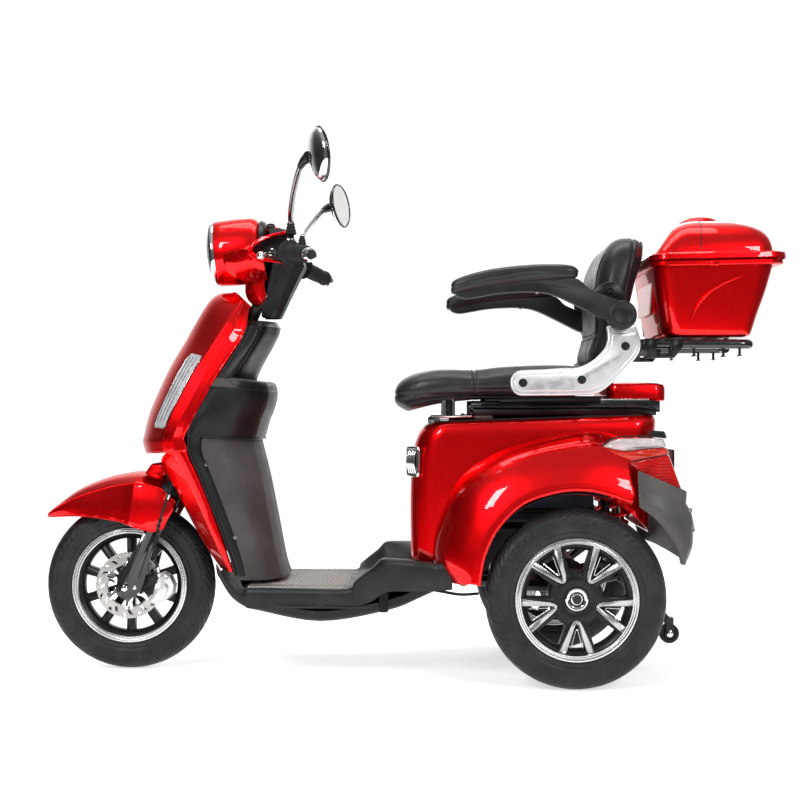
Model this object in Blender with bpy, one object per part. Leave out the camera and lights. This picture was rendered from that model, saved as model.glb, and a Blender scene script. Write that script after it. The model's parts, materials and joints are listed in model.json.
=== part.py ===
"""Three-wheeled mobility scooter, in metres, +Z up.

The vehicle drives towards -X and its left side is at -Y.  The origin lies on the floor, in the
middle of the length.  Each sub-part is one closed solid, and each moving body hangs from an empty
on its own joint axis.
"""

import math

import bmesh
import bpy
from mathutils import Matrix, Vector

# ---------------------------------------------------------------- driving dimensions
WHEEL_RADIUS = 0.203
TYRE_HALF_WIDTH = 0.040
BEAD_RADIUS = 0.142
FRONT_AXLE_X = -0.671
REAR_AXLE_X = 0.376
BODY_ARCH = 0.228
REAR_TRACK_HALF = 0.2875
RAKE = math.radians(24.4)
FORK_HALF = 0.078
CLEARANCE = 0.0006
SHELL = 0.0035

SEAT_HINGE = (0.0616, 0.0, 0.6007)
ARM_PIVOT = (0.479, 0.0, 0.837)
ARM_HALF = 0.280
BOX_HINGE = (0.5588, 0.0, 0.9690)
SWING_PIVOT = (0.130, 0.0, 0.225)
MIRROR_PIVOT = (-0.2715, 0.172, 1.030)
LEVER_PIVOT = (-0.3175, 0.160, 0.986)
KEY_PIVOT = (-0.3300, -0.045, 1.0630)
HORN_AT = (-0.2620, -0.172, 0.9960)
ANTI_TIP = (0.607, 0.150, 0.105)
ANTI_TIP_RADIUS = 0.023

STEER_DIRECTION = Vector((math.sin(RAKE), 0.0, math.cos(RAKE)))
FRONT_AXLE = Vector((FRONT_AXLE_X, 0.0, WHEEL_RADIUS))
REAR_AXLE = Vector((REAR_AXLE_X, 0.0, WHEEL_RADIUS))
SIDES = {"left": -1, "right": 1}

# ---------------------------------------------------------------- looks of the sub-parts
LOOKS = {
    "red": ((0.55, 0.004, 0.008), 0.22, 0.35),
    "black_plastic": ((0.022, 0.022, 0.024), 0.45, 0.0),
    "grey_panel": ((0.075, 0.066, 0.066), 0.50, 0.0),
    "grey_plastic": ((0.125, 0.118, 0.112), 0.48, 0.0),
    "black_steel": ((0.018, 0.018, 0.019), 0.40, 0.9),
    "chrome": ((0.78, 0.78, 0.79), 0.08, 1.0),
    "alloy": ((0.62, 0.62, 0.63), 0.24, 1.0),
    "silver_paint": ((0.70, 0.70, 0.71), 0.30, 0.6),
    "rubber": ((0.020, 0.020, 0.021), 0.75, 0.0),
    "leather": ((0.026, 0.026, 0.030), 0.46, 0.0),
    "mat": ((0.240, 0.225, 0.210), 0.70, 0.0),
    "clear_lens": ((0.85, 0.87, 0.88), 0.08, 0.0),
    "red_lens": ((0.60, 0.02, 0.02), 0.10, 0.0),
    "blue_case": ((0.03, 0.05, 0.09), 0.50, 0.0),
}


def look_material(name, look):
    """A Principled material of the sub-part's own."""
    colour, roughness, metallic = LOOKS[look]
    material = bpy.data.materials.new(name)
    material.use_nodes = True
    shader = material.node_tree.nodes["Principled BSDF"]
    shader.inputs["Base Color"].default_value = (*colour, 1.0)
    shader.inputs["Roughness"].default_value = roughness
    shader.inputs["Metallic"].default_value = metallic
    return material


# ---------------------------------------------------------------- bodies
def along_steering(distance, sideways=0.0, ahead=0.0):
    """A point on the steering axis at a distance above the front axle, moved sideways and ahead."""
    ahead_direction = Vector((-math.cos(RAKE), 0.0, math.sin(RAKE)))
    return FRONT_AXLE + STEER_DIRECTION * distance + ahead_direction * ahead + Vector((0, sideways, 0))


def mirrored(point, side):
    """A point given for the +Y side, placed on the side asked for."""
    return Vector((point[0], abs(point[1]) * side, point[2]))


def body_table():
    """Each moving body: its parent and the point of its joint axis."""
    table = {
        "root": (None, Vector((0, 0, 0))),
        "steering": ("root", FRONT_AXLE),
        "fork_lower": ("steering", FRONT_AXLE),
        "front_wheel": ("fork_lower", FRONT_AXLE),
        "throttle": ("steering", Vector((-0.273, 0.200, 0.987))),
        "horn": ("steering", Vector(HORN_AT)),
        "key": ("steering", Vector(KEY_PIVOT)),
        "rear_suspension": ("root", Vector(SWING_PIVOT)),
        "seat_lid": ("root", Vector(SEAT_HINGE)),
        "seat": ("seat_lid", Vector(SEAT_HINGE)),
        "box_lid": ("seat", Vector(BOX_HINGE)),
    }
    for name, side in SIDES.items():
        table["mirror_" + name] = ("steering", mirrored(MIRROR_PIVOT, side))
        table["lever_" + name] = ("steering", mirrored(LEVER_PIVOT, side))
        table["rear_wheel_" + name] = (
            "rear_suspension", mirrored((REAR_AXLE_X, REAR_TRACK_HALF, WHEEL_RADIUS), side)
        )
        table["anti_tip_" + name] = ("rear_suspension", mirrored(ANTI_TIP, side))
        table["armrest_" + name] = ("seat", mirrored((ARM_PIVOT[0], ARM_HALF, ARM_PIVOT[2]), side))
    return table


BODIES = body_table()
PIVOT_EMPTIES = {}


def make_pivots():
    """One empty on each joint axis, parented as the bodies are."""
    for name, (parent, pivot) in BODIES.items():
        empty = bpy.data.objects.new("pivot_" + name, None)
        empty.empty_display_size = 0.03
        bpy.context.scene.collection.objects.link(empty)
        if parent:
            empty.parent = PIVOT_EMPTIES[parent]
            empty.location = pivot - BODIES[parent][1]
        else:
            empty.location = pivot
        PIVOT_EMPTIES[name] = empty


# ---------------------------------------------------------------- modelling helpers
def mesh_object(name, points, faces):
    """An object from corner points and faces, with its faces pointing out."""
    mesh = bpy.data.meshes.new(name)
    mesh.from_pydata([tuple(point) for point in points], [], faces)
    mesh.validate()
    obj = bpy.data.objects.new(name, mesh)
    bpy.context.scene.collection.objects.link(obj)
    return obj


def face_outwards(obj):
    """Turns a closed mesh's faces outwards."""
    work = bmesh.new()
    work.from_mesh(obj.data)
    bmesh.ops.recalc_face_normals(work, faces=work.faces)
    work.to_mesh(obj.data)
    work.free()
    return obj


def node(obj, body, look):
    """Hangs a finished sub-part on its body's empty and gives it its look."""
    pivot = BODIES[body][1]
    if obj.type == "MESH":
        obj.data.transform(Matrix.Translation(-pivot))
        if len(obj.data.polygons) > 12:
            obj.data.shade_smooth()
            obj.data.set_sharp_from_angle(angle=math.radians(35))
    obj.parent = PIVOT_EMPTIES[body]
    obj.data.materials.append(look_material(obj.name, look))
    for modifier in obj.modifiers:
        if modifier.type == "BOOLEAN":
            move_guide(modifier.object, body)
    return obj


def move_guide(guide, body):
    """A guide shape moves with the sub-part that it cuts or joins."""
    if guide.parent is None:
        guide.data.transform(Matrix.Translation(-BODIES[body][1]))
        guide.parent = PIVOT_EMPTIES[body]


def combine(obj, guide, operation):
    """Cuts a guide shape away from a sub-part, or joins it on."""
    guide.hide_render = True
    guide.display_type = "WIRE"
    modifier = obj.modifiers.new(operation.lower() + "_" + guide.name, "BOOLEAN")
    modifier.operation = operation
    modifier.object = guide
    return obj


def joined(obj, *guides):
    for guide in guides:
        combine(obj, guide, "UNION")
    return obj


def cut(obj, *guides):
    for guide in guides:
        combine(obj, guide, "DIFFERENCE")
    return obj


def prism(name, outline, low, high, inset=0.0):
    """An outline in X and Z, extruded along Y from low to high; inset narrows the far face."""
    count = len(outline)
    middle_x = sum(x for x, _ in outline) / count
    middle_z = sum(z for _, z in outline) / count
    near = [(x, low, z) for x, z in outline]
    far = [(x + (middle_x - x) * inset, high, z + (middle_z - z) * inset) for x, z in outline]
    faces = [tuple(range(count)), tuple(range(2 * count - 1, count - 1, -1))]
    faces += [(i, count + i, count + (i + 1) % count, (i + 1) % count) for i in range(count)]
    return face_outwards(mesh_object(name, near + far, faces))


def block(name, low, high):
    """A box between two corners."""
    outline = [(low[0], low[2]), (high[0], low[2]), (high[0], high[2]), (low[0], high[2])]
    return prism(name, outline, low[1], high[1])


def loft(name, rings):
    """Closed rings of equal size joined in order, with both ends capped."""
    count = len(rings[0])
    points = [point for ring in rings for point in ring]
    faces = [tuple(range(count)), tuple(range((len(rings) - 1) * count, len(rings) * count))]
    for row in range(len(rings) - 1):
        start = row * count
        for i in range(count):
            after = (i + 1) % count
            faces.append((start + i, start + after, start + count + after, start + count + i))
    return face_outwards(mesh_object(name, points, faces))


def skin(name, rows, thickness=SHELL, outwards=None):
    """A sheet through rows of points, given its thickness on the side away from outwards."""
    count = len(rows[0])
    points = [Vector(point) for row in rows for point in row]
    faces = []
    for row in range(len(rows) - 1):
        for i in range(count - 1):
            at = row * count + i
            faces.append((at, at + 1, at + count + 1, at + count))
    obj = mesh_object(name, points, faces)
    middle = obj.data.polygons[len(obj.data.polygons) // 2]
    if outwards is not None and middle.normal.dot(Vector(outwards)) < 0:
        obj.data.flip_normals()
    wall = obj.modifiers.new("wall", "SOLIDIFY")
    wall.thickness = thickness
    wall.offset = -1.0
    wall.use_even_offset = True
    return obj


def frame_of(axis):
    """Two directions square to an axis."""
    axis = Vector(axis).normalized()
    start = Vector((0, 0, -1)) if abs(axis.z) < 0.9 else Vector((1, 0, 0))
    first = (start - axis * start.dot(axis)).normalized()
    return axis, first, axis.cross(first)


def turned(name, profile, centre, axis, steps, closed=False):
    """A profile of (radius, distance) points turned about an axis; radius 0 is a single point.

    A facet, not a corner, faces straight down on a level axle, and every radius is the facet's.
    """
    axis, first, second = frame_of(axis)
    centre = Vector(centre)
    points = []
    rings = []
    for radius, distance in profile:
        if radius < 1e-6:
            rings.append([len(points)] * steps)
            points.append(centre + axis * distance)
            continue
        corner = radius / math.cos(math.pi / steps)
        ring = []
        for step in range(steps):
            angle = 2 * math.pi * (step + 0.5) / steps
            ring.append(len(points))
            points.append(
                centre + axis * distance + (first * math.cos(angle) + second * math.sin(angle)) * corner
            )
        rings.append(ring)
    faces = []
    last = len(rings) if closed else len(rings) - 1
    for row in range(last):
        below = rings[row]
        above = rings[(row + 1) % len(rings)]
        for step in range(steps):
            after = (step + 1) % steps
            corners = [below[step], below[after], above[after], above[step]]
            unique = list(dict.fromkeys(corners))
            if len(unique) > 2:
                faces.append(tuple(unique))
    return face_outwards(mesh_object(name, points, faces))


def rod(name, start, end, radius, steps=10):
    """A straight round bar between two points."""
    start = Vector(start)
    end = Vector(end)
    length = (end - start).length
    profile = [(0, 0), (radius, 0), (radius, length), (0, length)]
    return turned(name, profile, start, end - start, steps)


def smooth_route(points, per_span):
    """A smooth curve through hand-placed points, read at even steps of each span."""
    points = [Vector(point) for point in points]
    ends = [points[0] * 2 - points[1]] + points + [points[-1] * 2 - points[-2]]
    route = []
    for i in range(1, len(ends) - 2):
        before, start, end, after = ends[i - 1], ends[i], ends[i + 1], ends[i + 2]
        for step in range(per_span):
            t = step / per_span
            route.append(
                0.5
                * (
                    start * 2
                    + (end - before) * t
                    + (before * 2 - start * 5 + end * 4 - after) * t**2
                    + (start * 3 - before - end * 3 + after) * t**3
                )
            )
    return route + [points[-1]]


def tube(name, points, radius, steps=8, per_span=1):
    """A round bar along a route, as a mesh."""
    route = smooth_route(points, per_span)
    rings = []
    side = None
    for i, point in enumerate(route):
        ahead = route[min(i + 1, len(route) - 1)] - route[max(i - 1, 0)]
        ahead.normalize()
        if side is None:
            _, side, _ = frame_of(ahead)
        side = (side - ahead * side.dot(ahead)).normalized()
        other = ahead.cross(side)
        angles = [2 * math.pi * step / steps for step in range(steps)]
        rings.append([point + (side * math.cos(a) + other * math.sin(a)) * radius for a in angles])
    return loft(name, rings)


def arc(centre, radius, start_degrees, end_degrees, steps):
    """Points of an arc in X and Z."""
    points = []
    for step in range(steps + 1):
        angle = math.radians(start_degrees + (end_degrees - start_degrees) * step / steps)
        points.append((centre[0] + radius * math.cos(angle), centre[1] + radius * math.sin(angle)))
    return points


def across(half_row):
    """A row given from the left edge to the middle, completed by its mirror image."""
    mirror = [(x, -y, z) for x, y, z in reversed(half_row[:-1])]
    return list(half_row) + mirror


# ---------------------------------------------------------------- wheels
TYRE_STEPS = 30
PAIR_SPREAD = 0.26


def tyre(name, centre, body):
    width = TYRE_HALF_WIDTH
    profile = [
        (BEAD_RADIUS, -0.030),
        (0.160, -width),
        (0.178, -width),
        (0.194, -0.031),
        (WHEEL_RADIUS, -0.016),
        (WHEEL_RADIUS, 0.016),
        (0.194, 0.031),
        (0.178, width),
        (0.160, width),
        (BEAD_RADIUS, 0.030),
    ]
    return node(turned(name, profile, centre, (0, 1, 0), TYRE_STEPS, closed=True), body, "rubber")


def spoke(name, centre, angle, offset, inner, outer, half_width, half_depth):
    """A straight arm of a wheel, at an angle, moved sideways by offset from the radius."""
    along = Vector((math.cos(angle), 0, math.sin(angle)))
    sideways = Vector((-math.sin(angle), 0, math.cos(angle)))
    rings = []
    for reach, spread in ((inner, half_width * 1.25), (outer, half_width)):
        middle = Vector(centre) + along * reach + sideways * offset
        rings.append(
            [
                middle + sideways * spread + Vector((0, -half_depth, 0)),
                middle - sideways * spread + Vector((0, -half_depth, 0)),
                middle - sideways * spread + Vector((0, half_depth, 0)),
                middle + sideways * spread + Vector((0, half_depth, 0)),
            ]
        )
    return loft(name, rings)


def rim(name, centre, body, arms, hub_radius, hub_half, bore, look):
    """Rim ring, hub and arms in one casting; arms are (angle, offset, half width)."""
    outside = BEAD_RADIUS - CLEARANCE
    ring = [(0.129, -0.028), (0.129, 0.028), (outside, 0.031), (outside, -0.031)]
    obj = turned(name, ring, centre, (0, 1, 0), TYRE_STEPS, closed=True)
    hub = [(bore, -hub_half), (hub_radius, -hub_half), (hub_radius, hub_half), (bore, hub_half)]
    guides = [turned(name + "_hub", hub, centre, (0, 1, 0), 16, closed=True)]
    for number, (angle, offset, half_width) in enumerate(arms):
        guides.append(
            spoke(f"{name}_arm_{number}", centre, angle, offset, hub_radius * 0.8, 0.133, half_width, 0.010)
        )
    return node(joined(obj, *guides), body, look)


def front_wheel():
    tyre("front_tyre", FRONT_AXLE, "front_wheel")
    arms = [(math.radians(90 + 36 * i), 0.0, 0.006) for i in range(10)]
    rim("front_rim", FRONT_AXLE, "front_wheel", arms, 0.030, 0.036, 0.0085, "alloy")
    disc = [(0.031, -0.0400), (0.078, -0.0400), (0.078, -0.0370), (0.031, -0.0370)]
    node(turned("brake_disc", disc, FRONT_AXLE, (0, 1, 0), 24, closed=True), "front_wheel", "chrome")


def rear_wheels():
    for name, side in SIDES.items():
        centre = Vector((REAR_AXLE_X, REAR_TRACK_HALF * side, WHEEL_RADIUS))
        body = "rear_wheel_" + name
        tyre("rear_tyre_" + name, centre, body)
        arms = []
        for i in range(5):
            angle = math.radians(90 + 72 * i)
            arms += [(angle + PAIR_SPREAD, 0.0, 0.0085), (angle - PAIR_SPREAD, 0.0, 0.0085)]
        rim("rear_rim_" + name, centre, body, arms, 0.062, 0.030, 0.0115, "alloy")


# ---------------------------------------------------------------- front fork and steering
def fork():
    """Lower legs with the front axle between them, and the calliper on the left leg."""
    reach = 0.205
    leg = [(0, -0.030), (0.0165, -0.030), (0.0165, reach), (0.0140, reach), (0.0140, 0.020), (0, 0.020)]
    axle = rod(
        "fork_lowers",
        FRONT_AXLE + Vector((0, -FORK_HALF, 0)),
        FRONT_AXLE + Vector((0, FORK_HALF, 0)),
        0.0078,
    )
    guides = []
    for name, side in SIDES.items():
        foot = FRONT_AXLE + Vector((0, FORK_HALF * side, 0))
        guides.append(turned("fork_leg_" + name, leg, foot, STEER_DIRECTION, 12))
    node(joined(axle, *guides), "fork_lower", "black_plastic")
    pads = prism(
        "brake_caliper",
        [(-0.622, 0.165), (-0.575, 0.172), (-0.560, 0.205), (-0.578, 0.235), (-0.606, 0.226)],
        -0.0585,
        -0.0350,
    )
    slot = turned(
        "caliper_slot", [
            (0, -0.0412), (0.0795, -0.0412), (0.0795, -0.0340), (0, -0.0340)
        ], FRONT_AXLE, (0, 1, 0), 24
    )
    node(cut(pads, slot), "fork_lower", "alloy")


STANCHION_RADIUS = 0.0132
CROWN_AT = 0.300
STEM_TOP = 0.836


def steering_column():
    """Stem, crown and the two upper tubes that slide in the lower legs."""
    stem = rod("steering_column", along_steering(CROWN_AT), along_steering(STEM_TOP), 0.0140, 12)
    crown_rings = []
    for side in (-1, 1):
        crown_rings.append(
            [
                along_steering(CROWN_AT + dz, side * (FORK_HALF + 0.018), ahead)
                for dz, ahead in ((-0.016, -0.022), (-0.016, 0.022), (0.016, 0.022), (0.016, -0.022))
            ]
        )
    guides = [loft("crown_block", crown_rings)]
    for name, side in SIDES.items():
        low = along_steering(0.060, FORK_HALF * side)
        guides.append(
            rod("upper_tube_" + name, low, along_steering(CROWN_AT, FORK_HALF * side), STANCHION_RADIUS, 12)
        )
    node(joined(stem, *guides), "steering", "black_steel")


def front_fender():
    """Wide guard over the front wheel, carried by the crown, with holes for the upper tubes."""
    ridge = [
        (-0.868, 0.372, 0.028),
        (-0.846, 0.388, 0.052),
        (-0.793, 0.417, 0.066),
        (-0.725, 0.440, 0.082),
        (-0.657, 0.454, 0.104),
        (-0.624, 0.451, 0.106),
        (-0.583, 0.440, 0.104),
        (-0.554, 0.412, 0.098),
    ]
    edge = [
        (-0.866, 0.367),
        (-0.835, 0.369),
        (-0.795, 0.371),
        (-0.745, 0.369),
        (-0.695, 0.362),
        (-0.645, 0.348),
        (-0.600, 0.338),
        (-0.578, 0.345),
    ]
    rows = []
    for (top_x, top_z, half), (edge_x, edge_z) in zip(ridge, edge):
        shoulder_z = top_z - (top_z - edge_z) * 0.12
        rows.append(
            across(
                [
                    (edge_x, -half, edge_z),
                    (edge_x * 0.5 + top_x * 0.5, -half * 0.99, (edge_z + top_z) / 2),
                    (top_x, -half * 0.80, shoulder_z),
                    (top_x, -half * 0.40, top_z),
                    (top_x, 0.0, top_z),
                ]
            )
        )
    guard = skin("front_fender", rows, 0.0030, outwards=(0, 0, 1))
    neck_rings = []
    for x, z, half in ((-0.612, 0.4475, 0.040), (-0.606, 0.470, 0.034), (-0.600, 0.487, 0.030)):
        neck_rings.append(
            [(x - 0.020, -half, z), (x + 0.016, -half, z), (x + 0.016, half, z), (x - 0.020, half, z)]
        )
    joined(guard, loft("fender_neck", neck_rings))
    holes = []
    for name, side in SIDES.items():
        low = along_steering(0.190, FORK_HALF * side)
        high = along_steering(CROWN_AT, FORK_HALF * side)
        holes.append(rod("fender_hole_" + name, low, high, 0.0185, 12))
    node(cut(guard, *holes), "steering", "red")


BAR_ROUTE = [
    (-0.212, 0.352, 0.966),
    (-0.273, 0.200, 0.987),
    (-0.298, 0.130, 0.990),
    (-0.311, 0.060, 0.986),
    (-0.311, -0.060, 0.986),
    (-0.298, -0.130, 0.990),
    (-0.273, -0.200, 0.987),
    (-0.212, -0.352, 0.966),
]
BAR_RADIUS = 0.0110


def handlebar():
    """Bent bar with its clamp on the stem; the right control perch is part of it."""
    bar = tube("handlebar", BAR_ROUTE, BAR_RADIUS, 10)
    clamp = turned(
        "bar_clamp",
        [(0.0146, 0), (0.0240, 0), (0.0240, 0.048), (0.0146, 0.048)],
        along_steering(0.815),
        STEER_DIRECTION,
        12,
        closed=True,
    )
    perch_low = Vector((-0.2945, 0.140, 0.9887))
    perch_high = Vector((-0.2748, 0.1950, 0.9870))
    perch = rod("right_perch", perch_low, perch_high, 0.0185, 10)
    node(joined(bar, clamp, perch), "steering", "black_steel")


def sleeve(name, start, end, outer, inner, steps=12):
    start = Vector(start)
    end = Vector(end)
    length = (end - start).length
    profile = [(inner, 0), (outer, 0), (outer, length), (inner, length)]
    return turned(name, profile, start, end - start, steps, closed=True)


GRIP_FLANGE = 0.028


def grips():
    """Left grip, right twist grip, and the left switch box with its horn button."""
    for name, side in SIDES.items():
        inner = mirrored((-0.273, 0.200, 0.987), side)
        outer = mirrored((-0.212, 0.352, 0.966), side)
        along = (outer - inner).normalized()
        profile = [
            (0.0122, 0.002),
            (GRIP_FLANGE, 0.002),
            (GRIP_FLANGE, 0.006),
            (0.0175, 0.010),
            (0.0165, 0.110),
            (0.0190, 0.128),
            (0.0170, 0.134),
            (0.0122, 0.134),
        ]
        grip_name = "grip_left" if name == "left" else "throttle_grip"
        grip = turned(grip_name, profile, inner, along, 14, closed=True)
        node(grip, "steering" if name == "left" else "throttle", "rubber")
    low = Vector((-0.2945, -0.140, 0.9887))
    high = Vector((-0.2740, -0.1970, 0.9872))
    switch = sleeve("switch_left", low, high, 0.0210, 0.0130, 10)
    seat_low = Vector(HORN_AT) + Vector((0.0010, 0, 0.0))
    pocket = rod(
        "horn_pocket", seat_low + Vector((-0.009, 0, 0)), seat_low + Vector((0.02, 0, 0)), 0.0068, 8
    )
    node(cut(switch, pocket), "steering", "black_plastic")
    button = rod(
        "horn_button",
        Vector(HORN_AT) + Vector((-0.004, 0, 0)),
        Vector(HORN_AT) + Vector((0.006, 0, 0)),
        0.0060,
        8,
    )
    node(button, "horn", "red")


def brake_levers():
    for name, side in SIDES.items():
        route = [
            mirrored((-0.3175, 0.158, 0.9860), side),
            mirrored((-0.3290, 0.200, 0.9840), side),
            mirrored((-0.3290, 0.260, 0.9770), side),
            mirrored((-0.3200, 0.310, 0.9700), side),
            mirrored((-0.3240, 0.335, 0.9660), side),
        ]
        node(tube("brake_lever_" + name, route, 0.0060, 8), "lever_" + name, "chrome")


def mirrors():
    """Round mirror with its stalk, turning on the boot."""
    for name, side in SIDES.items():
        boot = mirrored(MIRROR_PIVOT, side)
        centre = mirrored((-0.190, 0.430, 1.176), side)
        facing = Vector((0.93, -0.34 * side, 0.14)).normalized()
        head = [(0, -0.014), (0.040, -0.012), (0.058, 0.000), (0.060, 0.008), (0, 0.008)]
        dish = turned("mirror_" + name, head, centre, facing, 20)
        route = [
            boot + Vector((0, 0, 0.0005)),
            boot + Vector((0, 0, 0.035)),
            mirrored((-0.2560, 0.290, 1.112), side),
            mirrored((-0.2330, 0.395, 1.163), side),
            mirrored((-0.1975, 0.428, 1.1755), side),
        ]
        stalk = tube("mirror_stalk_" + name, route, 0.0048, 8)
        foot = turned(
            "mirror_boot_" + name, [
                (0, 0.0005), (0.013, 0.0005), (0.008, 0.034), (0, 0.036)
            ], boot, (0, 0, 1), 10
        )
        node(joined(dish, stalk, foot), "mirror_" + name, "black_plastic")


def headlight():
    """Round lamp shell with its two side wings in front of the bar, and the lens."""
    centre = Vector((-0.410, 0, 1.0065))
    pitch = Vector((-1, 0, -0.07)).normalized()
    shell = [
        (0.0745, 0.062),
        (0.0790, 0.060),
        (0.0800, 0.000),
        (0.0770, -0.036),
        (0.0560, -0.050),
        (0, -0.054),
        (0, -0.051),
        (0.0540, -0.047),
        (0.0740, -0.034),
        (0.0765, 0.000),
    ]
    cup = turned("headlight_housing", shell, centre, pitch, 24, closed=True)
    wings = []
    for name, side in SIDES.items():
        rows = []
        for y, front, back, top, bottom in (
            (0.068, -0.376, -0.300, 1.056, 0.944),
            (0.090, -0.350, -0.292, 1.048, 0.950),
            (0.135, -0.325, -0.292, 1.030, 0.962),
        ):
            middle = (top + bottom) / 2
            rows.append(
                [
                    (back, y * side, top - 0.008),
                    (back * 0.5 + front * 0.5, y * side, top),
                    (front, y * side, middle + 0.018),
                    (front, y * side, middle - 0.018),
                    (back * 0.4 + front * 0.6, y * side, bottom),
                ]
            )
        wings.append(skin("headlight_wing_" + name, rows, 0.0030, outwards=(-1, 0, 0)))
    node(joined(cup, *wings), "steering", "red")
    dome = [
        (0, 0.0760),
        (0.040, 0.0730),
        (0.064, 0.0640),
        (0.0735, 0.0500),
        (0.0735, 0.0470),
        (0.060, 0.0590),
        (0, 0.0700),
    ]
    node(turned("headlight_lens", dome, centre, pitch, 24), "steering", "clear_lens")


def handlebar_cover():
    """Black cover behind the bar: instrument panel above, column cover below, with the bar's hole."""
    rows = []
    for z, front, back, half in (
        (0.846, -0.348, -0.313, 0.036),
        (0.905, -0.338, -0.284, 0.046),
        (0.966, -0.322, -0.255, 0.058),
        (1.010, -0.326, -0.262, 0.064),
        (1.046, -0.330, -0.284, 0.066),
        (1.060, -0.3345, -0.300, 0.064),
    ):
        rows.append(
            across(
                [
                    (front, -half, z),
                    (back * 0.7 + front * 0.3, -half, z),
                    (back, -half * 0.62, z),
                    (back + 0.003, 0.0, z),
                ]
            )
        )
    rows.append([(min(x, -0.322), y * 0.75, z + 0.006) for x, y, z in rows[-1]])
    cover = skin("handlebar_cover", rows, 0.0030, outwards=(1, 0, 0))
    bar_hole = rod("bar_hole", (-0.3085, -0.09, 0.9875), (-0.3085, 0.09, 0.9875), 0.0175, 12)
    key_hole = rod(
        "key_hole",
        Vector(KEY_PIVOT) - Vector((0, 0, 0.02)),
        Vector(KEY_PIVOT) + Vector((0, 0, 0.02)),
        0.0075,
        8,
    )
    node(cut(cover, bar_hole, key_hole), "steering", "black_plastic")
    key = prism(
        "ignition_key",
        [(-0.0100, 0), (0.0100, 0), (0.0110, 0.014), (0.0, 0.020), (-0.0110, 0.014)],
        -0.0012,
        0.0012,
    )
    key.data.transform(Matrix.Translation(Vector(KEY_PIVOT) + Vector((0, 0, 0.0035))))
    barrel = rod(
        "key_barrel",
        Vector(KEY_PIVOT) - Vector((0, 0, 0.012)),
        Vector(KEY_PIVOT) + Vector((0, 0, 0.0045)),
        0.0062,
        8,
    )
    node(joined(key, barrel), "key", "black_steel")


def brake_hose():
    """Hose from the left control down to the calliper; it is held all the way and turns with the fork."""
    route = [
        (-0.3000, -0.1120, 0.9660),
        (-0.3060, -0.1020, 0.9360),
        (-0.3300, -0.0760, 0.8960),
        (-0.3760, -0.0600, 0.8400),
        (-0.4300, -0.0540, 0.7400),
        (-0.4800, -0.0560, 0.6300),
        (-0.5200, -0.0760, 0.5450),
        (-0.5420, -0.1060, 0.4850),
        (-0.5660, -0.1120, 0.4200),
        (-0.5880, -0.1120, 0.3500),
        (-0.5970, -0.1060, 0.2900),
        (-0.5950, -0.0780, 0.2400),
    ]
    node(tube("brake_hose", route, 0.0032, 6, 2), "steering", "rubber")


# ---------------------------------------------------------------- front shield and floor
RIM_LINE = [
    # rear rim of the shield: x, z and half width, then the point on the middle or front edge
    ((-0.3760, 0.8620, 0.108), (-0.4330, 0.9090)),
    ((-0.3830, 0.8050, 0.128), (-0.4920, 0.8690)),
    ((-0.4140, 0.7500, 0.152), (-0.5400, 0.7870)),
    ((-0.4465, 0.6950, 0.172), (-0.5740, 0.7290)),
    ((-0.4980, 0.5980, 0.192), (-0.6250, 0.6130)),
    ((-0.5160, 0.5600, 0.192), (-0.6405, 0.5490)),
    ((-0.5080, 0.5300, 0.190), (-0.6330, 0.5200)),
]
SPREAD = ((0.0, 1.0), (0.22, 1.02), (0.40, 0.96), (0.74, 0.62), (0.93, 0.30), (1.0, 0.0))
LEG_LINE = [
    # side legs below the nose: rear rim x, z, half width, then the front edge
    ((-0.4990, 0.5050, 0.188), (-0.5780, 0.5000)),
    ((-0.4670, 0.4300, 0.180), (-0.5400, 0.4260)),
    ((-0.4280, 0.3200, 0.170), (-0.4850, 0.3180)),
    ((-0.4050, 0.2480, 0.160), (-0.4420, 0.2520)),
]


def shield_row(rim_point, front_point):
    """Half a row of the shield, from the left rim round to the middle."""
    rim_x, rim_z, half = rim_point
    front_x, front_z = front_point
    row = []
    for along, wide in SPREAD:
        row.append((rim_x + (front_x - rim_x) * along, -half * wide, rim_z + (front_z - rim_z) * along))
    return row


def leg_row(rim_point, front_point):
    """A row of a side leg: only the outer strip of the shield's row."""
    rim_x, rim_z, half = rim_point
    front_x, front_z = front_point
    return [
        (rim_x, -half, rim_z),
        (rim_x * 0.62 + front_x * 0.38, -half * 1.02, rim_z * 0.62 + front_z * 0.38),
        (front_x, -half * 0.86, front_z),
    ]


def front_shield():
    rows = [across(shield_row(rim_point, front_point)) for rim_point, front_point in RIM_LINE]
    shield = skin("front_shield", rows, SHELL, outwards=(-1, 0, 0))
    lowest = shield_row(*RIM_LINE[-1])
    legs = []
    for name, side in SIDES.items():
        leg_rows = [[(x, (0.0004 - y) * side, z + 0.006) for x, y, z in lowest[:3]]]
        for rim_point, front_point in LEG_LINE:
            leg_rows.append([(x, -y * side, z) for x, y, z in leg_row(rim_point, front_point)])
        legs.append(skin("shield_leg_" + name, leg_rows, SHELL + 0.0004, outwards=(0, side, 0)))
    node(joined(shield, *legs), "root", "red")
    for name, side in SIDES.items():
        lens_rows = []
        for level in (5.5, 5.0, 4.0, 3.0, 2.4):
            lines = [shield_row(*RIM_LINE[int(level) + step]) for step in (0, 1)]
            lens_row = []
            for along in (0.08, 0.78):
                above, below = [Vector(line[2]).lerp(Vector(line[3]), along) for line in lines]
                point = above.lerp(below, level % 1) + Vector((-0.0048, -0.0048, 0.0020))
                lens_row.append((point.x, point.y * -side, point.z))
            lens_rows.append(lens_row)
        lens = skin("led_lens_" + name, lens_rows, 0.0030, outwards=(1, -side, 0))
        node(lens, "root", "clear_lens")


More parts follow.
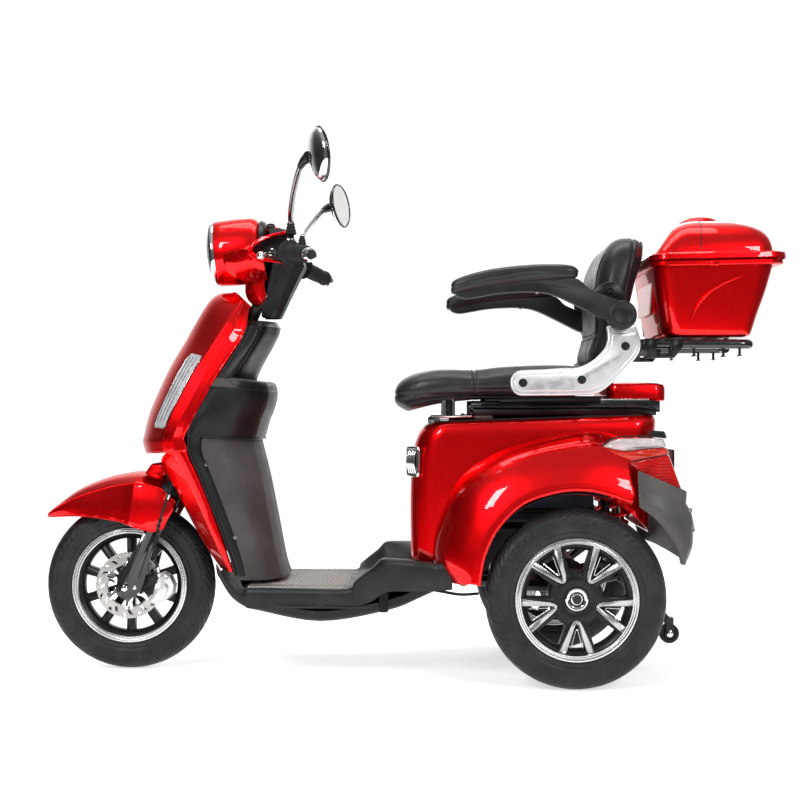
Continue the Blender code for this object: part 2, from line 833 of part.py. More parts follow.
PANEL_LINE = [
    # inner panel behind the rider's side of the shield: height, rear x, half width of the rear face
    (0.822, -0.3130, 0.070),
    (0.780, -0.3300, 0.075),
    (0.690, -0.3740, 0.085),
    (0.600, -0.3680, 0.100),
    (0.540, -0.3560, 0.110),
    (0.466, -0.3380, 0.120),
    (0.354, -0.3160, 0.125),
    (0.270, -0.3000, 0.128),
    (0.2280, -0.2870, 0.128),
]


def rim_at(height):
    """Rear rim of the shield at a height: its x and half width."""
    line = [rim_point for rim_point, _ in RIM_LINE + LEG_LINE]
    for upper, lower in zip(line, line[1:]):
        if lower[1] <= height <= upper[1]:
            share = (height - lower[1]) / (upper[1] - lower[1])
            return lower[0] + (upper[0] - lower[0]) * share, lower[2] + (upper[2] - lower[2]) * share
    return (line[0][0], line[0][2]) if height > line[0][1] else (line[-1][0], line[-1][2])


def leg_shield():
    """Inner panel that closes the shield on the rider's side, and the pocket across it."""
    rows = []
    for height, rear, half in PANEL_LINE:
        rim_x, rim_half = rim_at(height)
        start = rim_x + 0.006
        rows.append(
            across(
                [
                    (start, -(rim_half - 0.006), height),
                    (start * 0.45 + rear * 0.55, -(rim_half * 0.45 + half * 0.62), height),
                    (rear - 0.012, -half * 0.80, height),
                    (rear, -half * 0.40, height),
                    (rear, 0.0, height),
                ]
            )
        )
    node(skin("leg_shield", rows, SHELL, outwards=(1, 0, 0)), "root", "grey_panel")
    pocket_rows = []
    for height, rear, half in (
        (0.682, -0.3250, 0.118),
        (0.655, -0.3240, 0.120),
        (0.600, -0.3400, 0.120),
        (0.562, -0.3490, 0.122),
    ):
        rim_x, rim_half = rim_at(height)
        start = rim_x + 0.010
        pocket_rows.append(
            across(
                [
                    (start, -(rim_half + 0.001), height + 0.010),
                    (start * 0.5 + rear * 0.5, -(rim_half * 0.50 + half * 0.60), height + 0.006),
                    (rear - 0.018, -half * 0.86, height + 0.002),
                    (rear - 0.002, -half * 0.45, height),
                    (rear, 0.0, height),
                ]
            )
        )
    node(skin("leg_shield_pocket", pocket_rows, 0.0030, outwards=(1, 0, 0)), "root", "black_plastic")


FLOOR_LINE = [
    # floor tray: x, top z, bottom z of the skirt, half width
    (-0.3650, 0.2120, 0.2050, 0.196),
    (-0.3450, 0.2150, 0.1690, 0.206),
    (-0.1400, 0.2150, 0.1705, 0.220),
    (-0.1226, 0.2305, 0.1720, 0.220),
    (-0.0790, 0.2610, 0.1900, 0.220),
    (-0.0620, 0.2750, 0.2030, 0.220),
    (0.0171, 0.2745, 0.2140, 0.220),
    (0.0560, 0.2730, 0.2170, 0.220),
]


def floor():
    rows = []
    for x, top, bottom, half in FLOOR_LINE:
        rows.append(
            across(
                [
                    (x, -half, bottom),
                    (x, -half, top - 0.006),
                    (x, -half + 0.008, top),
                    (x, -0.10, top),
                    (x, 0.0, top),
                ]
            )
        )
    node(skin("floorboard", rows, 0.0040, outwards=(0, 0, 1)), "root", "black_plastic")
    mat = block("foot_mat", (-0.2700, -0.170, 0.2155), (-0.1450, 0.170, 0.2190))
    node(mat, "root", "mat")
    pan_rows = []
    for x, z in (
        (-0.3850, 0.1650), (-0.3540, 0.1560), (-0.2050, 0.1300), (-0.0465, 0.1480), (0.0500, 0.1900)
    ):
        rim = z + 0.028
        pan_rows.append(across([(x, -0.150, rim), (x, -0.132, z), (x, 0.0, z)]))
    node(skin("belly_pan", pan_rows, 0.0030, outwards=(0, 0, -1)), "root", "black_plastic")


# ---------------------------------------------------------------- frame, battery and rear drive
HEAD_LOW = 0.360
HEAD_HIGH = 0.640


def chassis_frame():
    """Head tube, down tube, rails, seat hinge posts and swing-arm mounts in one welded frame."""
    head = turned(
        "chassis_frame",
        [(0.0155, HEAD_LOW), (0.0240, HEAD_LOW), (0.0240, HEAD_HIGH), (0.0155, HEAD_HIGH)],
        FRONT_AXLE,
        STEER_DIRECTION,
        12,
        closed=True,
    )
    down = along_steering(HEAD_LOW + 0.070, 0.0, -0.0335)
    parts = [
        tube(
            "down_tube",
            [
                down,
                (-0.440, 0, 0.400),
                (-0.414, 0, 0.270),
                (-0.390, 0, 0.2050),
                (-0.360, 0, 0.1845),
                (-0.320, 0, 0.1840),
            ],
            0.0155,
            8,
        ),
        rod("front_cross", (-0.327, -0.112, 0.1845), (-0.327, 0.112, 0.1845), 0.0120, 8),
    ]
    for name, side in SIDES.items():
        y = 0.100 * side
        rail = [
            (-0.330, y, 0.1845),
            (0.020, y, 0.1990),
            (0.085, y, 0.2580),
            (0.105, y, 0.3300),
            (0.160, y, 0.3450),
            (0.500, y, 0.3450),
        ]
        parts.append(tube("rail_" + name, rail, 0.0120, 8))
        parts.append(rod("hinge_post_" + name, (0.0730, y, 0.2500), (0.0730, y, 0.5740), 0.0100, 8))
        parts.append(rod("rear_post_" + name, (0.490, y, 0.3450), (0.490, y, 0.5740), 0.0100, 8))
        parts.append(
            rod(
                "shock_mount_" + name,
                (0.490, 0.090 * side, 0.4850),
                (0.490, 0.160 * side, 0.4850),
                0.0090,
                8,
            )
        )
        parts.append(rod("swing_mount_" + name, (0.0830, y, 0.2560), (0.1180, y, 0.2350), 0.0110, 8))
        parts.append(rod("swing_gusset_" + name, (0.1180, y, 0.2350), (0.1300, y, 0.2250), 0.0100, 8))
    parts.append(rod("middle_cross", (0.300, -0.105, 0.3450), (0.300, 0.105, 0.3450), 0.0100, 8))
    parts.append(rod("rear_cross", (0.490, -0.105, 0.3500), (0.490, 0.105, 0.3500), 0.0100, 8))
    parts.append(rod("hinge_cross", (0.0730, -0.105, 0.5680), (0.0730, 0.105, 0.5680), 0.0095, 8))
    parts.append(rod("swing_pin", (0.130, -0.112, 0.225), (0.130, 0.112, 0.225), 0.0080, 10))
    node(joined(head, *parts), "root", "black_steel")
    node(block("battery_pack", (0.105, -0.085, 0.3590), (0.440, 0.085, 0.5450)), "root", "blue_case")


def rear_suspension():
    """Swinging axle housing with its motor, shock springs and anti-tip arms."""
    axle = rod(
        "axle_housing", REAR_AXLE + Vector((0, -0.2500, 0)), REAR_AXLE + Vector((0, 0.2500, 0)), 0.0240, 12
    )
    parts = [
        turned(
            "differential",
            [(0, -0.045), (0.045, -0.040), (0.062, 0), (0.045, 0.040), (0, 0.045)],
            REAR_AXLE,
            (0, 1, 0),
            16,
        )
    ]
    for name, side in SIDES.items():
        y = 0.075 * side
        parts.append(
            tube(
                "swing_arm_" + name, [(0.148, y, 0.2220), (0.260, y, 0.2080), (0.376, y, 0.2030)], 0.0130, 8
            )
        )
        parts.append(
            rod("wheel_spindle_" + name, REAR_AXLE, REAR_AXLE + Vector((0, 0.3160 * side, 0)), 0.0100, 10)
        )
        y = 0.150 * side
        parts.append(
            tube("shock_foot_" + name, [(0.376, y, 0.203), (0.430, y, 0.225), (0.490, y, 0.2400)], 0.0100, 8)
        )
        parts.append(
            tube(
                "anti_tip_arm_" + name,
                [(0.486, y, 0.2380), (0.560, y, 0.185), (0.6030, y, 0.1350)],
                0.0090,
                8,
            )
        )
        parts.append(
            rod("anti_tip_pin_" + name, (0.607, y - 0.014, 0.105), (0.607, y + 0.014, 0.105), 0.0050, 8)
        )
        for edge in (-0.0115, 0.0115):
            parts.append(
                block(
                    f"anti_tip_ear_{name}_{edge}",
                    (0.598, y + edge - 0.002, 0.096),
                    (0.616, y + edge + 0.002, 0.1400),
                )
            )
        parts.append(
            block(f"anti_tip_bridge_{name}", (0.598, y - 0.0135, 0.1320), (0.616, y + 0.0135, 0.1420))
        )
    sleeve_cut = rod("pivot_clearance", (0.130, -0.112, 0.225), (0.130, 0.112, 0.225), 0.0110, 12)
    knuckles = sleeve("swing_knuckle", (0.130, -0.088, 0.225), (0.130, 0.088, 0.225), 0.0180, 0.0095, 12)
    joined(axle, knuckles, *parts)
    node(cut(axle, sleeve_cut), "rear_suspension", "black_steel")
    motor = rod("drive_motor", (0.3080, 0, 0.2030), (0.1950, 0, 0.2110), 0.0460, 14)
    node(motor, "rear_suspension", "black_steel")
    for name, side in SIDES.items():
        y = 0.150 * side
        spring = rod("shock_spring_" + name, (0.490, y, 0.2510), (0.490, y, 0.4755), 0.0240, 12)
        node(spring, "root", "red")
        wheel = sleeve(
            "anti_tip_wheel_" + name,
            (0.607, y - 0.0085, 0.105),
            (0.607, y + 0.0085, 0.105),
            ANTI_TIP_RADIUS,
            0.0056,
            14,
        )
        node(wheel, "anti_tip_" + name, "rubber")


# ---------------------------------------------------------------- rear body
def rear_body():
    """Red body shell over the battery, open below and cut out over the rear wheels."""
    rings = []
    for z, front, rear, half, corner in (
        (0.2780, 0.0100, 0.5520, 0.2150, 0.030),
        (0.4000, 0.0080, 0.5640, 0.2150, 0.030),
        (0.5400, 0.0160, 0.5700, 0.2150, 0.035),
        (0.5850, 0.0320, 0.5740, 0.2120, 0.040),
        (0.5980, 0.0560, 0.5650, 0.1900, 0.045),
    ):
        rings.append(
            [
                (front + corner * 0.7, -half, z),
                (front + 0.012, -half + corner, z),
                (front - 0.004, -half * 0.45, z),
                (front - 0.004, half * 0.45, z),
                (front + 0.012, half - corner, z),
                (front + corner * 0.7, half, z),
                (0.300, half, z + (z - 0.278) * 0.02),
                (rear - corner, half, z + (z - 0.278) * 0.03),
                (rear, half - corner, z + (z - 0.278) * 0.03),
                (rear, -half + corner, z + (z - 0.278) * 0.03),
                (rear - corner, -half, z + (z - 0.278) * 0.03),
                (0.300, -half, z + (z - 0.278) * 0.02),
            ]
        )
    outer = loft("rear_body", rings)
    inner_rings = []
    for number, ring in enumerate(rings):
        inner = []
        for x, y, z in ring:
            inner.append((x + (0.29 - x) * 0.016, y * (1 - 0.020), z - (0.10 if number == 0 else 0.0045)))
        inner_rings.append(inner)
    hollow = loft("body_hollow", inner_rings)
    outline = arc((REAR_AXLE_X, WHEEL_RADIUS), BODY_ARCH, 0, 180, 14)
    outline += [(REAR_AXLE_X - BODY_ARCH, 0.150), (REAR_AXLE_X + BODY_ARCH, 0.150)]
    arch = prism("body_arch", outline, -0.300, 0.300)
    node(cut(cut(outer, hollow), arch), "root", "red")


RIDGE = [
    (0.0900, 0.2370),
    (0.0600, 0.3000),
    (0.0760, 0.3760),
    (0.1200, 0.4670),
    (0.1880, 0.5175),
    (0.2570, 0.5450),
    (0.3490, 0.5640),
    (0.4250, 0.5700),
]
ARCH = [
    (0.1590, 0.2360),
    (0.1640, 0.2720),
    (0.1740, 0.3110),
    (0.1990, 0.3620),
    (0.2530, 0.4160),
    (0.3200, 0.4410),
    (0.3790, 0.4478),
    (0.4470, 0.4370),
]
ARCH_TAIL = [((0.4900, 0.5350), (0.4960, 0.4200))]


def fenders():
    """Red flare over each rear wheel, from the body side out to the lip of the arch."""
    for name, side in SIDES.items():
        rows = []
        for ridge, lip in list(zip(RIDGE, ARCH)) + ARCH_TAIL:
            ridge_x, ridge_z = ridge
            lip_x, lip_z = lip
            rows.append(
                [
                    (ridge_x, 0.2165 * side, ridge_z),
                    (ridge_x * 0.85 + lip_x * 0.15, 0.275 * side, ridge_z * 0.86 + lip_z * 0.14),
                    (ridge_x * 0.45 + lip_x * 0.55, 0.322 * side, ridge_z * 0.45 + lip_z * 0.55),
                    (lip_x, 0.335 * side, lip_z),
                ]
            )
        node(skin("rear_fender_" + name, rows, 0.0030, outwards=(0, side, 1)), "root", "red")


def tail():
    """Tail lights on the rear corners and the grey bumper that wraps the back."""
    lamp = [(0.5100, 0.4960), (0.4960, 0.5400), (0.5000, 0.5600), (0.5700, 0.5600), (0.6180, 0.4520)]
    for name, side in SIDES.items():
        low, high = sorted((0.2170 * side, 0.3050 * side))
        if side < 0:
            solid = prism("tail_light_" + name, lamp, high, low, 0.18)
        else:
            solid = prism("tail_light_" + name, lamp, low, high, 0.18)
        node(solid, "root", "red_lens")
    rows = []
    for front, rear in (
        ((0.5120, 0.4890), (0.6240, 0.4410)),
        ((0.5120, 0.4500), (0.6220, 0.4140)),
        ((0.5160, 0.4170), (0.6360, 0.3870)),
        ((0.5550, 0.3820), (0.6380, 0.3550)),
        ((0.5950, 0.3270), (0.6380, 0.3270)),
        ((0.6080, 0.2820), (0.6200, 0.2820)),
    ):
        rows.append(
            across(
                [
                    (front[0], -0.318, front[1]),
                    (front[0] * 0.35 + rear[0] * 0.65, -0.318, front[1] * 0.35 + rear[1] * 0.65),
                    (rear[0], -0.295, rear[1]),
                    (rear[0] + 0.008, -0.160, rear[1]),
                    (rear[0] + 0.010, 0.0, rear[1]),
                ]
            )
        )
    node(skin("rear_bumper", rows, 0.0035, outwards=(1, 0, 0)), "root", "grey_plastic")


# ---------------------------------------------------------------- seat group
def seat_base():
    """Hinged base: rails, front post and hinge leaf, with the red tail cover behind."""
    plate = block("seat_base_plate", (0.150, -0.175, 0.6290), (0.560, 0.175, 0.6350))
    parts = []
    for name, side in SIDES.items():
        y = 0.150 * side
        parts.append(block("seat_rail_" + name, (0.146, y - 0.014, 0.6200), (0.584, y + 0.014, 0.6430)))
        parts.append(block("hinge_leaf_" + name, (0.052, y - 0.012, 0.6060), (0.160, y + 0.012, 0.6110)))
        parts.append(block("hinge_riser_" + name, (0.146, y - 0.012, 0.6080), (0.158, y + 0.012, 0.6300)))
        parts.append(block("hinge_eye_" + name, (0.052, y - 0.012, 0.6020), (0.072, y + 0.012, 0.6090)))
        parts.append(rod("front_post_" + name, (0.095, y, 0.6090), (0.095, y, 0.6480), 0.0120, 8))
    node(joined(plate, *parts), "seat_lid", "black_steel")
    cover = []
    for x, half, low, high in (
        (0.470, 0.150, 0.6500, 0.6800), (0.560, 0.150, 0.6470, 0.6840), (0.594, 0.130, 0.6520, 0.6800)
    ):
        cover.append([(x, -half, low), (x, half, low), (x, half, high), (x, -half, high)])
    node(loft("tail_cover", cover), "seat_lid", "red")


def seat():
    """Cushion, backrest, side brackets and the rack for the top box."""
    cushion = []
    for x, low, high, half in (
        (-0.0340, 0.6380, 0.6740, 0.150),
        (-0.0100, 0.6520, 0.6900, 0.195),
        (0.0500, 0.6520, 0.7100, 0.215),
        (0.1500, 0.6560, 0.7120, 0.220),
        (0.3000, 0.6560, 0.7240, 0.220),
        (0.4050, 0.6560, 0.7240, 0.215),
    ):
        cushion.append(
            [
                (x, -half, low + 0.012),
                (x, -half + 0.020, low),
                (x, half - 0.020, low),
                (x, half, low + 0.012),
                (x, half, high - 0.016),
                (x, half - 0.030, high),
                (x, -half + 0.030, high),
                (x, -half, high - 0.016),
            ]
        )
    node(loft("seat_cushion", cushion), "seat", "leather")
    back = []
    for z, front, rear, half in (
        (0.7300, 0.4180, 0.4700, 0.170),
        (0.7800, 0.4400, 0.4950, 0.185),
        (0.8800, 0.4410, 0.5160, 0.205),
        (0.9600, 0.4490, 0.5360, 0.200),
        (1.0100, 0.4740, 0.5460, 0.170),
        (1.0260, 0.4980, 0.5350, 0.120),
    ):
        back.append(
            [
                (front + 0.014, -half, z),
                (front, -half + 0.040, z),
                (front, half - 0.040, z),
                (front + 0.014, half, z),
                (rear - 0.012, half, z),
                (rear, half - 0.030, z),
                (rear, -half + 0.030, z),
                (rear - 0.012, -half, z),
            ]
        )
    node(loft("seat_backrest", back), "seat", "leather")
    outline = arc((0.2600, 0.6855), 0.0290, 100, 255, 5)
    outline += [
        (0.3700, 0.6580),
        (0.4346, 0.6648),
        (0.4820, 0.7058),
        (0.5198, 0.7501),
        (0.5261, 0.7816),
        (0.5135, 0.8170),
    ]
    outline += [
        (0.4480, 0.8120),
        (0.4521, 0.7879),
        (0.4442, 0.7627),
        (0.4188, 0.7373),
        (0.3873, 0.7215),
        (0.3500, 0.7190),
    ]
    for name, side in SIDES.items():
        low, high = sorted((0.2400 * side, 0.2580 * side))
        node(prism("seat_bracket_" + name, outline, low, high), "seat", "silver_paint")


def armrests():
    """Swing-up armrests: a moulded shell with a round knuckle, and the pad on top."""
    shell_line = [
        (0.1100, 0.8840),
        (0.1300, 0.8750),
        (0.2020, 0.8860),
        (0.2915, 0.8885),
        (0.3275, 0.8820),
        (0.4386, 0.8270),
    ]
    shell_line += arc((ARM_PIVOT[0], ARM_PIVOT[2]), 0.0330, 215, 400, 8)
    shell_line += [
        (0.4670, 0.8710),
        (0.4100, 0.8960),
        (0.3800, 0.9160),
        (0.3095, 0.9190),
        (0.2020, 0.9080),
        (0.1300, 0.8920),
    ]
    for name, side in SIDES.items():
        low, high = sorted(((ARM_HALF - 0.0180) * side, (ARM_HALF + 0.0180) * side))
        node(prism("arm_shell_" + name, shell_line, low, high), "armrest_" + name, "black_plastic")
        rings = []
        for x, bottom, top, half in (
            (0.0980, 0.8900, 0.9080, 0.018),
            (0.1300, 0.8965, 0.9250, 0.030),
            (0.2020, 0.9125, 0.9410, 0.034),
            (0.2735, 0.9200, 0.9480, 0.035),
            (0.3500, 0.9215, 0.9490, 0.034),
            (0.3780, 0.9225, 0.9380, 0.024),
        ):
            y = ARM_HALF * side
            rings.append(
                [
                    (x, y - half * 0.8, bottom),
                    (x, y + half * 0.8, bottom),
                    (x, y + half, (bottom + top) / 2),
                    (x, y + half * 0.7, top),
                    (x, y - half * 0.7, top),
                    (x, y - half, (bottom + top) / 2),
                ]
            )
        node(loft("arm_pad_" + name, rings), "armrest_" + name, "leather")


def box_ring(x_low, x_high, half, z, tilt=0.0):
    """Rounded rectangle of the top box at a height; tilt raises its rear."""
    corner = 0.045
    ring = []
    for centre_x, centre_y, start in (
        (x_high - corner, half - corner, 0),
        (x_low + corner, half - corner, 90),
        (x_low + corner, -half + corner, 180),
        (x_high - corner, -half + corner, 270),
    ):
        for step in range(4):
            angle = math.radians(start + 30 * step)
            x = centre_x + corner * math.cos(angle)
            ring.append((x, centre_y + corner * math.sin(angle), z + tilt * (x - x_low)))
    return ring


def top_box():
    """Open tub with its flange, and the domed lid hinged along the front edge."""
    shell = 0.0035
    tub = loft(
        "box_tub",
        [
            box_ring(0.6000, 0.7900, 0.160, 0.7940),
            box_ring(0.5860, 0.8040, 0.172, 0.8040, 0.005),
            box_ring(0.5760, 0.8300, 0.184, 0.8900, 0.01),
            box_ring(0.5700, 0.8460, 0.194, 0.9540, 0.02),
            box_ring(0.5600, 0.8700, 0.202, 0.9560, 0.02),
            box_ring(0.5600, 0.8700, 0.202, 0.9680, 0.02),
        ],
    )
    inside = loft(
        "tub_inside",
        [
            box_ring(0.6040, 0.7860, 0.156, 0.7990),
            box_ring(0.5900, 0.8000, 0.168, 0.8085, 0.005),
            box_ring(0.5800, 0.8260, 0.180, 0.8900, 0.01),
            box_ring(0.5740, 0.8420, 0.190, 0.9540, 0.02),
            box_ring(0.5740, 0.8420, 0.190, 0.9900, 0.02),
        ],
    )
    node(cut(tub, inside), "seat", "red")
    lid_rows = [
        box_ring(0.5590, 0.8751, 0.204, 0.9690, 0.02),
        box_ring(0.5590, 0.8751, 0.204, 0.9810, 0.02),
        box_ring(0.5720, 0.8480, 0.194, 0.9860, 0.02),
        box_ring(0.5900, 0.8280, 0.180, 1.0250, 0.01),
        box_ring(0.6150, 0.7900, 0.150, 1.0560, 0.0),
        box_ring(0.6500, 0.7550, 0.100, 1.0740, 0.0),
        box_ring(0.6500, 0.7450, 0.080, 1.0890, 0.0),
    ]
    lid = loft("box_lid", lid_rows)
    lid_hollow = loft(
        "lid_hollow",
        [
            box_ring(0.5740, 0.8440, 0.190, 0.9500, 0.02),
            box_ring(0.5760, 0.8440, 0.190, 0.9860, 0.02),
            box_ring(0.5940, 0.8240, 0.176, 1.0215, 0.01),
            box_ring(0.6190, 0.7860, 0.146, 1.0520, 0.0),
            box_ring(0.6540, 0.7510, 0.096, 1.0700, 0.0),
        ],
    )
    node(cut(lid, lid_hollow), "box_lid", "red")
    rack = block("cargo_rack", (0.6000, -0.150, 0.7800), (0.7900, 0.150, 0.7860))
    parts = []
    for name, side in SIDES.items():
        y = 0.160 * side
        parts.append(
            tube(
                "rack_tube_" + name,
                [(0.5420, y, 0.7780), (0.7000, y, 0.7780), (0.7930, y, 0.7780)],
                0.0110,
                8,
            )
        )
        parts.append(block("rack_bracket_" + name, (0.5410, y - 0.008, 0.7480), (0.6290, y + 0.008, 0.7860)))
        foot_low, foot_high = sorted((0.1500 * side, 0.2350 * side))
        parts.append(block("rack_foot_" + name, (0.5300, foot_low, 0.7480), (0.5440, foot_high, 0.7760)))
        parts.append(
            block(
                "rack_ear_" + name,
                (0.4980, 0.2340 * side - 0.004, 0.7480),
                (0.5440, 0.2340 * side + 0.004, 0.7760),
            )
        )
    node(joined(rack, *parts), "seat", "black_steel")


def build():
    for obj in list(bpy.data.objects):
        bpy.data.objects.remove(obj, do_unlink=True)
    make_pivots()
    front_wheel()
    rear_wheels()
    fork()
    steering_column()
    front_fender()
    handlebar()
    grips()
    brake_levers()
    mirrors()
    headlight()
    handlebar_cover()
    brake_hose()
    front_shield()
    leg_shield()
    floor()
    chassis_frame()
    rear_suspension()
    rear_body()
    fenders()
    tail()
    seat_base()
    seat()
    armrests()
    top_box()


build()
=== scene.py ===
"""Looks of a three-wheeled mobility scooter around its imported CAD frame, in metres, +Z up.

The vehicle faces -X and its left side is at -Y, towards the camera.
"""
import json
import math

import bmesh
import bpy
import numpy as np
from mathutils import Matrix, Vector


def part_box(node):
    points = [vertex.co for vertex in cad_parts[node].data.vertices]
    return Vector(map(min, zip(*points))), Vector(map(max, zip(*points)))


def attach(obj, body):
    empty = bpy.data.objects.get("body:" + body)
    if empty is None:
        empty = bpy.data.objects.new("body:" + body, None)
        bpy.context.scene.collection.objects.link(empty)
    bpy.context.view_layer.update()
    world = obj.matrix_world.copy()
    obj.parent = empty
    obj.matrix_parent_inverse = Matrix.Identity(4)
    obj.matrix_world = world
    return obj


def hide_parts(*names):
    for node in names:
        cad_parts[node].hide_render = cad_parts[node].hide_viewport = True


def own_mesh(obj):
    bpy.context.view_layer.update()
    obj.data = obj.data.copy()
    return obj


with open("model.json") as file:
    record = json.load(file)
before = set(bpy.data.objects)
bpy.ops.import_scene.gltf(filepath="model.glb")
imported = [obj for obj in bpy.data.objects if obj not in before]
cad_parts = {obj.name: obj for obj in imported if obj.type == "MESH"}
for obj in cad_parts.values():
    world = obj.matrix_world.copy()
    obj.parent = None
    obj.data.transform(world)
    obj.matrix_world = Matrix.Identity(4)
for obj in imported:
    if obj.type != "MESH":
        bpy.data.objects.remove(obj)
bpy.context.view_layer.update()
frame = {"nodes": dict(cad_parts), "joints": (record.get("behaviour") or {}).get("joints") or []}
SIDES = {"left": -1, "right": 1}
SCENE = bpy.context.scene

# ---------------------------------------------------------------- places read from the frame


def joint_axis(name):
    return next(j for j in frame["joints"] if j["name"] == name)


def middle(node):
    low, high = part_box(node)
    return (low + high) / 2


FRONT_AXLE = middle("front_tyre")
REAR_AXLE = {name: middle("rear_tyre_" + name) for name in SIDES}
RAKE = math.radians(24.4)
STEER = Vector((math.sin(RAKE), 0, math.cos(RAKE)))
AHEAD = Vector((-math.cos(RAKE), 0, math.sin(RAKE)))
FORK_HALF = 0.078


def steering_point(distance, sideways=0.0, ahead=0.0):
    return FRONT_AXLE + STEER * distance + AHEAD * ahead + Vector((0, sideways, 0))


# ---------------------------------------------------------------- camera, light and stage
CAMERA_PLACE = (0.0228, -3.7, 0.636)
FOCAL_LENGTH = 68.6
LENS_SHIFT = (-0.0225, 0.00625)
PAPER_BRIGHTNESS = 1.15
FLOOR_RADIUS = 2.3
LAMPS = [
    # name, place, aim, size, power
    ("key", (-1.35, -2.6, 2.15), (0.0, 0, 0.55), (0.42, 0.95), 48),
    ("fill", (1.75, -2.7, 1.9), (0.35, 0, 0.6), (0.38, 0.85), 30),
    ("top", (0.0, 0.2, 3.1), (0, 0, 0.5), (2.2, 1.2), 34),
    ("back", (0.4, 3.0, 1.9), (0, 0, 0.6), (2.4, 1.2), 14),
]


def camera_and_light():
    camera = bpy.data.cameras.new("camera")
    camera.lens = FOCAL_LENGTH
    camera.sensor_width = 36
    camera.shift_x, camera.shift_y = LENS_SHIFT
    holder = bpy.data.objects.new("camera", camera)
    holder.location = CAMERA_PLACE
    holder.rotation_euler = (math.pi / 2, 0, 0)
    SCENE.collection.objects.link(holder)
    SCENE.camera = holder
    SCENE.view_settings.view_transform = "Standard"
    surroundings()
    for lamp in LAMPS:
        softbox(*lamp)
    turn = [2 * math.pi * step / 96 for step in range(96)]
    edge = [(FLOOR_RADIUS * math.cos(a), FLOOR_RADIUS * math.sin(a), 0) for a in turn]
    floor = mesh_object("floor", edge, [tuple(range(96))])
    floor.data.materials.append(floor_finish())


def ranged(tree, value, start, end, eased=False):
    """A node value mapped from one range to another."""
    node = tree.nodes.new("ShaderNodeMapRange")
    if eased:
        node.interpolation_type = "SMOOTHSTEP"
    for socket, number in zip(("From Min", "From Max", "To Min", "To Max"), (*start, *end)):
        node.inputs[socket].default_value = number
    tree.links.new(value, node.inputs["Value"])
    return node.outputs["Result"]


def combined(tree, operation, first, second):
    node = tree.nodes.new("ShaderNodeMath")
    node.operation = operation
    tree.links.new(first, node.inputs[0])
    tree.links.new(second, node.inputs[1])
    return node.outputs["Value"]


def surroundings():
    """A studio that brightens upwards and behind the object, darker ahead of it, white to the camera."""
    world = bpy.data.worlds.new("studio")
    SCENE.world = world
    world.use_nodes = True
    tree = world.node_tree
    sky = tree.nodes["Background"]
    split = tree.nodes.new("ShaderNodeSeparateXYZ")
    tree.links.new(tree.nodes.new("ShaderNodeTexCoord").outputs["Generated"], split.inputs[0])
    rise = ranged(tree, split.outputs["Z"], (0.0, 0.7), (0.12, 0.42))
    paper = ranged(tree, split.outputs["Y"], (0.45, 0.85), (0.0, 0.75), True)
    front = ranged(tree, split.outputs["X"], (-0.95, -0.35), (0.22, 1.0), True)
    strength = combined(tree, "MULTIPLY", combined(tree, "ADD", rise, paper), front)
    tree.links.new(strength, sky.inputs["Strength"])
    seen = tree.nodes.new("ShaderNodeBackground")
    seen.inputs["Strength"].default_value = PAPER_BRIGHTNESS
    for node in (sky, seen):
        node.inputs["Color"].default_value = (1, 1, 1, 1)
    mix = tree.nodes.new("ShaderNodeMixShader")
    tree.links.new(tree.nodes.new("ShaderNodeLightPath").outputs["Is Camera Ray"], mix.inputs[0])
    tree.links.new(sky.outputs[0], mix.inputs[1])
    tree.links.new(seen.outputs[0], mix.inputs[2])
    tree.links.new(mix.outputs[0], tree.nodes["World Output"].inputs["Surface"])


def softbox(name, place, aim, size, power):
    lamp = bpy.data.lights.new(name, "AREA")
    lamp.shape = "RECTANGLE"
    lamp.size, lamp.size_y = size
    lamp.energy = power
    holder = bpy.data.objects.new(name, lamp)
    holder.location = place
    holder.rotation_euler = (Vector(aim) - Vector(place)).to_track_quat("-Z", "Y").to_euler()
    SCENE.collection.objects.link(holder)


# ---------------------------------------------------------------- finishes
FINISHES = {}


